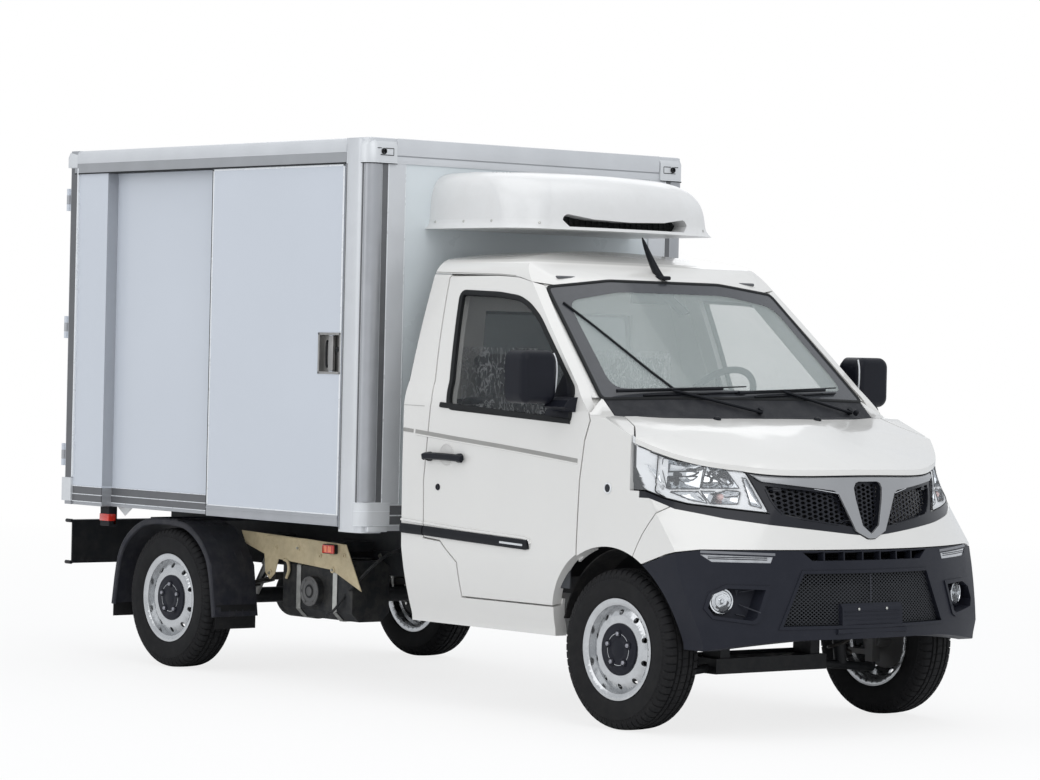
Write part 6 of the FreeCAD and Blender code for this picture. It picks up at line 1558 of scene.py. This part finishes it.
    # A light grey line along the black mirror's edge: a painted highlight.
    mirror_edge_highlight = tube_in(bmesh.new(), resampled(rounded([from_axle(-0.334, side * 0.8262, 1.262),
                                                          from_axle(-0.318, side * 0.8262, 1.3),
                                                          from_axle(-0.314, side * 0.8262, 1.395),
                                                          from_axle(-0.33, side * 0.832, 1.432)], 2), 0.01),
                          0.0035, 8)
    placed(label + "_mirror_edge_highlight", mirror_edge_highlight, cast_light, body)
    post_moulding = side_strip(bmesh.new(), [(-1.2985, 0.7075), (-1.1545, 0.7035)], side, MOULDING)
    placed(label + "_post_moulding", post_moulding, moulding_black)
    ridge = side_strip(bmesh.new(), [(-1.2985, 0.742), (-1.1545, 0.735)], side,
                       raised(0.006, 0.0002, 0.004, 0.006))
    placed(label + "_post_ridge", ridge, warm_white)

# ---- Headlamps ----------------------------------------------------------------------------------
# Clear moulded lenses over a white housing, with a dark bezel round a chromed bowl and its bulb, and a
# ribbed turn-signal bowl beside it.  Each lamp bolts to the wing behind the bumper's corner.

LAMP = ((-0.442, 0.848), (-0.518, 1.04), (-0.8, 1.17), (-0.88, 1.17), (-0.88, 0.979), (-0.815, 0.935),
        (-0.76, 0.898), (-0.7, 0.878), (-0.56, 0.861))
chrome = coat("chrome", (0.72, 0.74, 0.76), 0.08, metallic=1, vary=0.03)
lamp_white = coat("lamp_white", (0.74, 0.75, 0.76), 0.3, vary=0.05)
bezel_dark = coat("bezel_dark", (0.025, 0.027, 0.032), 0.25, vary=0.1)
bulb_glass = coat("bulb_glass", (0.62, 0.42, 0.4), 0.12, vary=0.04, clear=0.5)
lamp_skin = skin_of("front_lamps")
moved = bmesh.new()
source = frame["nodes"]["front_lamps"]
moved.from_mesh(source.data)
bmesh.ops.transform(moved, matrix=source.matrix_world, verts=moved.verts)
bmesh.ops.remove_doubles(moved, verts=moved.verts, dist=2e-5)
islands, seen_faces = [], set()
for face in moved.faces:
    if face in seen_faces:
        continue
    heap, island = [face], []
    seen_faces.add(face)
    while heap:
        one = heap.pop()
        island.append(one)
        for edge in one.edges:
            for other in edge.link_faces:
                if other not in seen_faces:
                    seen_faces.add(other)
                    heap.append(other)
    islands.append(island)


def lamp_island(island, name, material, outer_only=False):
    """One of the lamps' shells; outer_only keeps the face that looks ahead and outwards."""
    shape = bmesh.new()
    copies = {}
    for face in island:
        side = 1 if face.calc_center_median().y > 0 else -1
        if outer_only and face.normal.dot(Vector((0.8, side * 0.5, 0.35))) < 0.05:
            continue
        for vert in face.verts:
            if vert not in copies:
                copies[vert] = shape.verts.new(vert.co)
        shape.faces.new([copies[vert] for vert in face.verts])
    return placed(name, shape, material)


strip_lens = coat("strip_lens", (0.42, 0.43, 0.45), 0.12, vary=0.15, patch=40, clear=0.8)
lens_clear = tinted("lens_clear", (0.92, 0.94, 0.96), 0.13)
first_piece = None
for island in sorted(islands, key=lambda faces: -sum(face.calc_area() for face in faces)):
    middle = sum((face.calc_center_median() * face.calc_area() for face in island), Vector())
    middle /= sum(face.calc_area() for face in island)
    label = "right" if middle.y < 0 else "left"
    if middle.z > 0.8:
        piece = lamp_island(island, label + "_headlamp_lens", lens_clear, True)
    elif middle.z > 0.63:
        piece = lamp_island(island, label + "_light_strip", strip_lens)
    else:
        piece = lamp_island(island, label + "_fog_body", bezel_dark)
    first_piece = first_piece or piece
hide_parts("front_lamps")


def behind_lens(side, across, up, back=0.0):
    """A place a little behind the lens, across counted outwards from the middle of the truck."""
    spot = lamp_skin.ray_cast(Vector((3.0, side * across, up)), BACK, 3.0)[0]
    if spot is None:
        spot = lamp_skin.find_nearest(Vector((1.95, side * across, up)))[0]
    return spot - Vector((back, 0, 0))


def inside(across, up, outline):
    """Whether a place lies within an outline."""
    found = False
    for (y1, z1), (y2, z2) in zip(outline, outline[1:] + outline[:1]):
        if (z1 > up) != (z2 > up) and across < (y2 - y1) * (up - z1) / (z2 - z1) + y1:
            found = not found
    return found


# Chambers of the lamp: outline across and up, depth, and how much narrower the chamber is at its back.
CHAMBERS = (
    (((0.734, 1.046), (0.622, 1.022), (0.652, 0.934), (0.742, 0.932)), 0.06, 0.72),
    (((0.615, 1.02), (0.562, 1.01), (0.53, 0.94), (0.646, 0.937)), 0.045, 0.66),
    (((0.738, 0.922), (0.658, 0.924), (0.64, 0.882), (0.69, 0.893)), 0.018, 0.8),
    (((0.65, 0.926), (0.606, 0.926), (0.632, 0.88)), 0.016, 0.7),
    (((0.628, 0.88), (0.605, 0.918), (0.57, 0.93), (0.528, 0.926), (0.545, 0.88)), 0.04, 0.55),
    (((0.512, 0.975), (0.502, 0.978), (0.462, 0.866), (0.5, 0.876)), 0.012, 0.8),
    (((0.772, 1.022), (0.748, 1.0), (0.752, 0.95)), 0.006, 0.75),
)
LAMP_IN = [(-y, z) for y, z in LAMP]
for side, label in SIDES:
    housing = bmesh.new()
    rim = resampled([Vector((y, z, 0)) for y, z in LAMP_IN], 0.008, True)
    heart = Vector((0.665, 0.985, 0))
    rings = []
    for k in range(34):
        share = 0.985 - 0.97 * k / 33
        ring = []
        for spot in rim:
            place = heart.lerp(spot, share)
            deep = 0.006 if k else 0.0015
            for outline, depth, _ in CHAMBERS:
                if inside(place.x, place.y, outline):
                    deep = depth + 0.014
            ring.append(housing.verts.new(behind_lens(side, place.x, place.y, deep)))
        rings.append(ring)
    joined(housing, rings)
    placed(label + "_lamp_housing", housing, lamp_white)
    bowls, bezels = bmesh.new(), bmesh.new()
    for outline, depth, narrow in CHAMBERS:
        line = [Vector((y, z, 0)) for y, z in outline]
        middle = sum(line, Vector()) / len(line)
        mouth = resampled(eased(line, 0.006, True), 0.006, True)
        steps = []
        for share, back in ((1.0, 0.004), (0.97, 0.25 * depth), (0.9, 0.6 * depth), (narrow, depth),
                            (narrow * 0.6, depth * 1.12), (0.15, depth * 1.15)):
            steps.append([bowls.verts.new(behind_lens(side, *(middle.lerp(spot, share))[:2], back))
                          for spot in mouth])
        joined(bowls, steps)
        bowls.faces.new(steps[-1])
        if depth > 0.008:
            tube_in(bezels, [behind_lens(side, spot.x, spot.y, 0.004) for spot in mouth], 0.0018, 6, True)
    placed(label + "_lamp_bowls", bowls, chrome)
    placed(label + "_lamp_bezels", bezels, bezel_dark)
    bars = bmesh.new()
    for start, end, back, radius in (((0.718, 0.995), (0.64, 1.0), 0.02, 0.0035),
                                     ((0.722, 0.976), (0.638, 0.98), 0.024, 0.0025),
                                     ((0.612, 1.0), (0.552, 0.945), 0.02, 0.003),
                                     ((0.6, 1.008), (0.575, 0.94), 0.016, 0.003),
                                     ((0.735, 1.062), (0.79, 1.088), 0.002, 0.0022),
                                     ((0.628, 1.03), (0.58, 1.022), 0.003, 0.002)):
        tube_in(bars, [behind_lens(side, *start, back), behind_lens(side, *end, back)], radius, 8)
    for across, up, back, reach in ((0.685, 0.985, 0.05, 0.034), (0.715, 1.02, 0.03, 0.012),
                                    (0.705, 0.95, 0.034, 0.01)):
        turned_into(bars, ((0, 0), (reach * 0.32, 0), (reach * 0.28, reach * 0.5), (reach * 0.16, reach),
                           (0, reach)), behind_lens(side, across, up, back + 0.004), AHEAD, 20)
    placed(label + "_lamp_fittings", bars, bezel_dark)
    turn_bulb = turned_into(bmesh.new(), ((0, 0), (0.011, 0), (0.0145, 0.01), (0.013, 0.02), (0.007, 0.027),
                                          (0, 0.029)), behind_lens(side, 0.582, 0.905, 0.04),
                            (1, side * 0.2, 0), 24)
    placed(label + "_turn_bulb", turn_bulb, bulb_glass)
    main_bulb = turned_into(bmesh.new(), ((0, 0), (0.007, 0), (0.0085, 0.016), (0.006, 0.026), (0, 0.028)),
                            behind_lens(side, 0.672, 0.975, 0.056), AHEAD, 20)
    placed(label + "_main_bulb", main_bulb, clear_lens)
    edge = bmesh.new()
    lip = resampled(eased([Vector((y, z, 0)) for y, z in LAMP_IN], 0.01, True), 0.008, True)
    tube_in(edge, [behind_lens(side, *(heart.lerp(spot, 0.99))[:2], -0.0004) for spot in lip], 0.0019, 6,
            True)
    placed(label + "_lamp_gasket", edge, seal_rubber)

# ---- Grille -------------------------------------------------------------------------------------
# A black moulded frame with two pierced windows, snapped behind the bonnet's edge, and a satin grey
# bar in the shape of wings with a shield, bright along its lower edge.

grille_black = coat("grille_black", (0.013, 0.014, 0.019), 0.34, vary=0.1, relief=(0.1, 700), clear=0.25)
satin_bar = coat("satin_bar", (0.34, 0.345, 0.355), 0.3, metallic=0.55, vary=0.03, clear=0.4)
# The next two: a near-black for the core as painted shade behind the intake, and a grey a little lighter than
# the bumper for the mesh as painted highlight.
core_painted_shade = coat("core_painted_shade", (0.006, 0.006, 0.008), 0.5, vary=0.1)
mesh_painted_highlight = coat("mesh_painted_highlight", (0.036, 0.038, 0.043), 0.4, vary=0.1)
finished("grille", grille_black, 0.0008, segments=1)
finished("grille_bar", satin_bar, 0.0022, segments=3)
bar_skin = skin_of("grille_bar")
BAR_EDGE = ((-0.497, 0.981), (-0.47, 0.9725), (-0.455, 0.961), (-0.17, 0.93), (-0.154, 0.921),
            (-0.084, 0.779))
bright_bar = coat("bright_bar", (0.74, 0.75, 0.77), 0.14, metallic=0.9, vary=0.02)
edges = bmesh.new()
for side in (-1, 1):
    line = [Vector((3.0, -side * y, z + 0.003)) for y, z in BAR_EDGE]
    laid(edges, bar_skin, line, BACK, raised(0.0022, -0.001, 0.0012, 0.0014))
placed("bar_bright_edge", edges, bright_bar)
MESH_WINDOW = ((-0.084, 0.796), (-0.118, 0.917), (-0.44, 0.95), (-0.416, 0.88), (-0.375, 0.838))
grille_skin = skin_of("grille")
lips = bmesh.new()
for side in (-1, 1):
    outline = [(-side * y, z) for y, z in MESH_WINDOW]
    middle = Vector((sum(y for y, _ in outline) / 5, sum(z for _, z in outline) / 5))
    ring = []
    for y, z in outline:
        away = (Vector((y, z)) - middle).normalized() * 0.006
        ring.append(Vector((3.0, y + away.x, z + away.y)))
    laid(lips, grille_skin, ring, BACK, raised(0.0035, -0.001, 0.002, 0.003), closed=True, times=1)
placed("grille_window_lips", lips, grille_black)

# ---- Front bumper -------------------------------------------------------------------------------
# One moulding in grained black plastic, with pockets for the light strips and fog lamps, a fine
# diamond mesh across its intake and a ribbed step.  It clips to the wings and screws to the beam.

bumper_grain = coat("bumper_grain", (0.015, 0.0165, 0.024), 0.44, vary=0.06, relief=(0.3, 900),
                    dust=(0.035, 0.036, 0.045, 0.15))
brow_grey = coat("brow_grey", (0.17, 0.175, 0.19), 0.4, vary=0.05)
fog_grey = coat("fog_grey", (0.05, 0.052, 0.062), 0.5, vary=0.06, relief=(0.3, 700))
finished("front_bumper", bumper_grain, 0.002)
bumper_skin = skin_of("front_bumper")


def nose_x(across, up):
    """How far ahead the bumper's outer form reaches at a place."""
    spot, _, _, _ = bumper_skin.ray_cast(Vector((3.0, across, up)), BACK, 3.0)
    return spot.x if spot else None


def intake_face(across, up, back):
    """The bumper's outer form across the intake, worked back a little."""
    return Vector((2.2555 - 0.05 * (up - 0.577) - 0.322 * across ** 2 - back, across, up))


# The diamond mesh is coloured a little lighter than the bumper's black plastic: painted highlight.
diamonds = bmesh.new()
for direction in (-1, 1):
    for count in range(-50, 51):
        line = []
        for k in range(0, 23):
            up = 0.427 + k * 0.0088
            across = count * 0.019 + direction * (up - 0.524) * 1.35
            limit = 0.43 - (up - 0.425) * (0.097 / 0.197)
            if abs(across) < limit and up < 0.621:
                line.append(intake_face(across, up, 0.014))
            elif line:
                break
        if len(line) > 1:
            swept_in(diamonds, line, [AHEAD] * len(line), raised(0.0014, -0.002, 0.0014, 0.002))
placed("intake_mesh", diamonds, mesh_painted_highlight)
post = bmesh.new()
for count in range(13):
    turned_into(post, ((0.0042, 0), (0.0042, 0.0022), (0.003, 0.0036), (0, 0.0036)),
                intake_face(0, 0.516 + count * 0.0082, 0.012), AHEAD, 10)
placed("intake_bar", post, fog_grey)
# The core behind the openings: flat tubes with folded fins between them, in a black frame, all coloured
# near-black as painted shade behind the intake.
core = bmesh.new()
for count in range(30):
    up = 0.442 + count * 0.0092
    box_in(core, (2.098, -0.33, up), (2.106, 0.33, up + 0.002), 0.0004, 1)
for count in range(67):
    across = -0.33 + count * 0.01
    box_in(core, (2.099, across, 0.44), (2.105, across + 0.0008, 0.716), 0.0002, 1)
for low, high in (((2.09, -0.345, 0.432), (2.11, -0.33, 0.722)), ((2.09, 0.33, 0.432), (2.11, 0.345, 0.722)),
                  ((2.09, -0.345, 0.716), (2.11, 0.345, 0.728)), ((2.09, -0.345, 0.428), (2.11, 0.345, 0.44)),
                  ((2.094, -0.34, 0.405), (2.096, 0.34, 0.72)),
                  ((2.139, -0.435, 0.408), (2.142, -0.3, 0.503)),
                  ((2.139, 0.3, 0.408), (2.142, 0.435, 0.503)), ((2.139, -0.435, 0.581), (2.142, -0.3, 0.76)),
                  ((2.139, 0.3, 0.581), (2.142, 0.435, 0.76))):
    box_in(core, low, high, 0.001, 1)
placed("cooling_core", core, core_painted_shade)
lines = bmesh.new()
for up in (0.428, 0.444, 0.46, 0.476):
    box_in(lines, (FRONT_AXLE + 0.596, -0.15, up - 0.0016), (FRONT_AXLE + 0.608, 0.15, up + 0.0016), 0.0006,
           1)
placed("step_lines", lines, bumper_grain)
for side, label in SIDES:
    centre = Vector((3.0, side * 0.634, 0.519))
    spot, _, _, _ = lamp_skin.ray_cast(centre, BACK, 3.0)
    look = Vector((1, side * 0.36, 0)).normalized()
    fog_ring = turned_into(bmesh.new(), ((0.04, -0.014), (0.04, 0.003), (0.0425, 0.0065), (0.0475, 0.006),
                                         (0.05, 0.001), (0.05, -0.014)), spot, look, 56)
    placed(label + "_fog_ring", fog_ring, chrome)
    bowl = bmesh.new()
    turned_into(bowl, ((0.0, 0.001), (0.012, 0.0012), (0.013, 0.003), (0.024, 0.0032), (0.025, 0.001),
                       (0.0325, 0.0022), (0.0335, 0.0045), (0.04, 0.0048)), spot, look, 12)
    turned_into(bowl, ((0.0, 0.014), (0.0055, 0.013), (0.0075, 0.008), (0.0075, 0.001)), spot, look, 18)
    placed(label + "_fog_bowl", bowl, chrome, flat=True)
    fog_glass = turned_into(bmesh.new(), ((0.0, 0.017), (0.012, 0.0163), (0.024, 0.014), (0.034, 0.01),
                                          (0.0405, 0.005)), spot, look, 40)
    placed(label + "_fog_glass", fog_glass, lens_clear)
    fin = bmesh.new()
    for low, high in (((0.555, 0.552), (0.5, 0.56)), ((0.575, 0.47), (0.54, 0.462)),
                      ((0.56, 0.505), (0.52, 0.478))):
        ends = []
        for across, up in (low, high):
            reach = nose_x(side * across, up)
            ends.append(Vector(((reach or 2.05) + 0.003, side * across, up)))
        tube_in(fin, ends, 0.0025, 6)
    triangle = [Vector((3.0, side * y, z)) for y, z in ((0.572, 0.56), (0.505, 0.552), (0.545, 0.47))]
    hits = [bumper_skin.ray_cast(p, BACK, 3.0)[0] for p in triangle]
    if all(hits):
        deep = min(hit.x for hit in hits)
        fin.faces.new([fin.verts.new(Vector((deep + 0.006, p.y, p.z))) for p in triangle])
    placed(label + "_fog_fin", fin, fog_grey)
    lines = bmesh.new()
    for low, high in ((0.674, 0.6785), (0.681, 0.6845)):
        line = [Vector((3.0, side * y, low + (high - low) * (y - 0.475) / 0.215))
                for y in (0.475, 0.58, 0.69)]
        laid(lines, lamp_skin, line, BACK, raised(0.0016, 0.0001, 0.0016, 0.0008))
    placed(label + "_strip_lines", lines, bezel_dark)
    over = bmesh.new()
    line = [Vector((3.0, side * y, z)) for y, z in ((0.445, 0.6945), (0.59, 0.6995), (0.716, 0.7035))]
    laid(over, bumper_skin, line, BACK, raised(0.005, 0.0002, 0.004, 0.0014))
    placed(label + "_strip_brow", over, brow_grey)
plate_screws = bmesh.new()
for across in (-0.075, 0.075):
    turned_into(plate_screws, ((0.0055, 0), (0.0055, 0.002), (0.003, 0.004), (0, 0.004)),
                Vector((FRONT_AXLE + 0.6055, across, 0.485)), AHEAD, 20)
placed("plate_screws", plate_screws, zinc_bolt)

# ---- Wipers, washers, antenna and side repeaters ------------------------------------------------
# Two black wiper arms with sprung blades, two washer nozzles on the cowl, a short fin antenna on the
# roof's right-hand edge and a round repeater on each wing.

finished("wipers", moulding_black, 0.0015)
extras = bmesh.new()
for across in (0.0, 0.55):
    turned_into(extras, ((0.011, -0.012), (0.011, 0.005), (0.008, 0.009), (0.0, 0.01)),
                from_axle(-0.052, across, 1.221), (0.74, 0, 0.67), 28)
placed("wiper_caps", extras, moulding_black)
springs = bmesh.new()
for across in (0.0, 0.55):
    line = [on_screen(across - share * 0.52, 1.3 - share * 0.018, 0.022)[0]
            for share in (0.0, 0.25, 0.5, 0.75, 1.0)]
    tube_in(springs, line, 0.0028, 8)
    rubber_line = [on_screen(across - share * 0.52, 1.289 - share * 0.018, 0.004)
                   for share in [k / 12 for k in range(13)]]
    swept_in(springs, [p for p, _ in rubber_line], [n for _, n in rubber_line],
             raised(0.0012, -0.003, 0.003, 0.006))
placed("wiper_springs", springs, moulding_black)
cowl_skin = skin_of("cowl_panel", "bonnet")
jets = bmesh.new()
for side in (-1, 1):
    spot, normal, _, _ = cowl_skin.ray_cast(Vector((FRONT_AXLE + 0.004, side * 0.273, 2.2)), DOWN, 2.0)
    if spot:
        turned_into(jets, ((0.016, -0.004), (0.016, 0.003), (0.0125, 0.009), (0.006, 0.012), (0.0, 0.0125)),
                    spot, normal, 28)
        turned_into(jets, ((0.0035, 0), (0.0035, 0.0035), (0.0015, 0.0045), (0, 0.0045)),
                    spot + Vector((-0.01, 0, 0.0075)), (-1, 0, 0.4), 14)
placed("washer_jets", jets, moulding_black)
roof_skin = skin_of("cab_roof", "cab_sides")
fin = bmesh.new()
base, normal, _, _ = roof_skin.ray_cast(from_axle(-0.636, -0.004, 2.6), DOWN, 2.0)
rings = []
for share in [k / 12 for k in range(13)]:
    spot = Vector((base.x - 0.121 * share ** 0.8, base.y, base.z + 0.168 * share))
    deep, wide = 0.026 * (1 - share) ** 0.6 + 0.0035, 0.0075 * (1 - share) + 0.002
    ring = [(spun(deep, k, 16)[0], spun(wide, k, 16)[1]) for k in range(16)]
    rings.append([fin.verts.new(spot + Vector((ahead, across, 0))) for ahead, across in ring])
joined(fin, rings)
fin.faces.new(rings[-1])
box_in(fin, (base.x - 0.052, base.y - 0.02, base.z - 0.006), (base.x + 0.04, base.y + 0.02, base.z + 0.01),
       0.006, 4)
placed("antenna_fin", fin, moulding_black)
for side, label in SIDES:
    spot, normal = on_side(-0.031, 0.923, side)
    repeater_ring = turned_into(bmesh.new(), ((0.0155, 0.0), (0.0215, 0.0), (0.0215, 0.003), (0.0185, 0.0055),
                                              (0.0155, 0.004)), spot, normal, 40, True)
    placed(label + "_repeater_ring", repeater_ring, lamp_white)
    repeater_shape = turned_into(bmesh.new(), ((0.0, 0.0048), (0.008, 0.0044), (0.015, 0.0026),
                                               (0.0155, 0.0)), spot, normal, 32)
    placed(label + "_repeater", repeater_shape, bezel_dark)
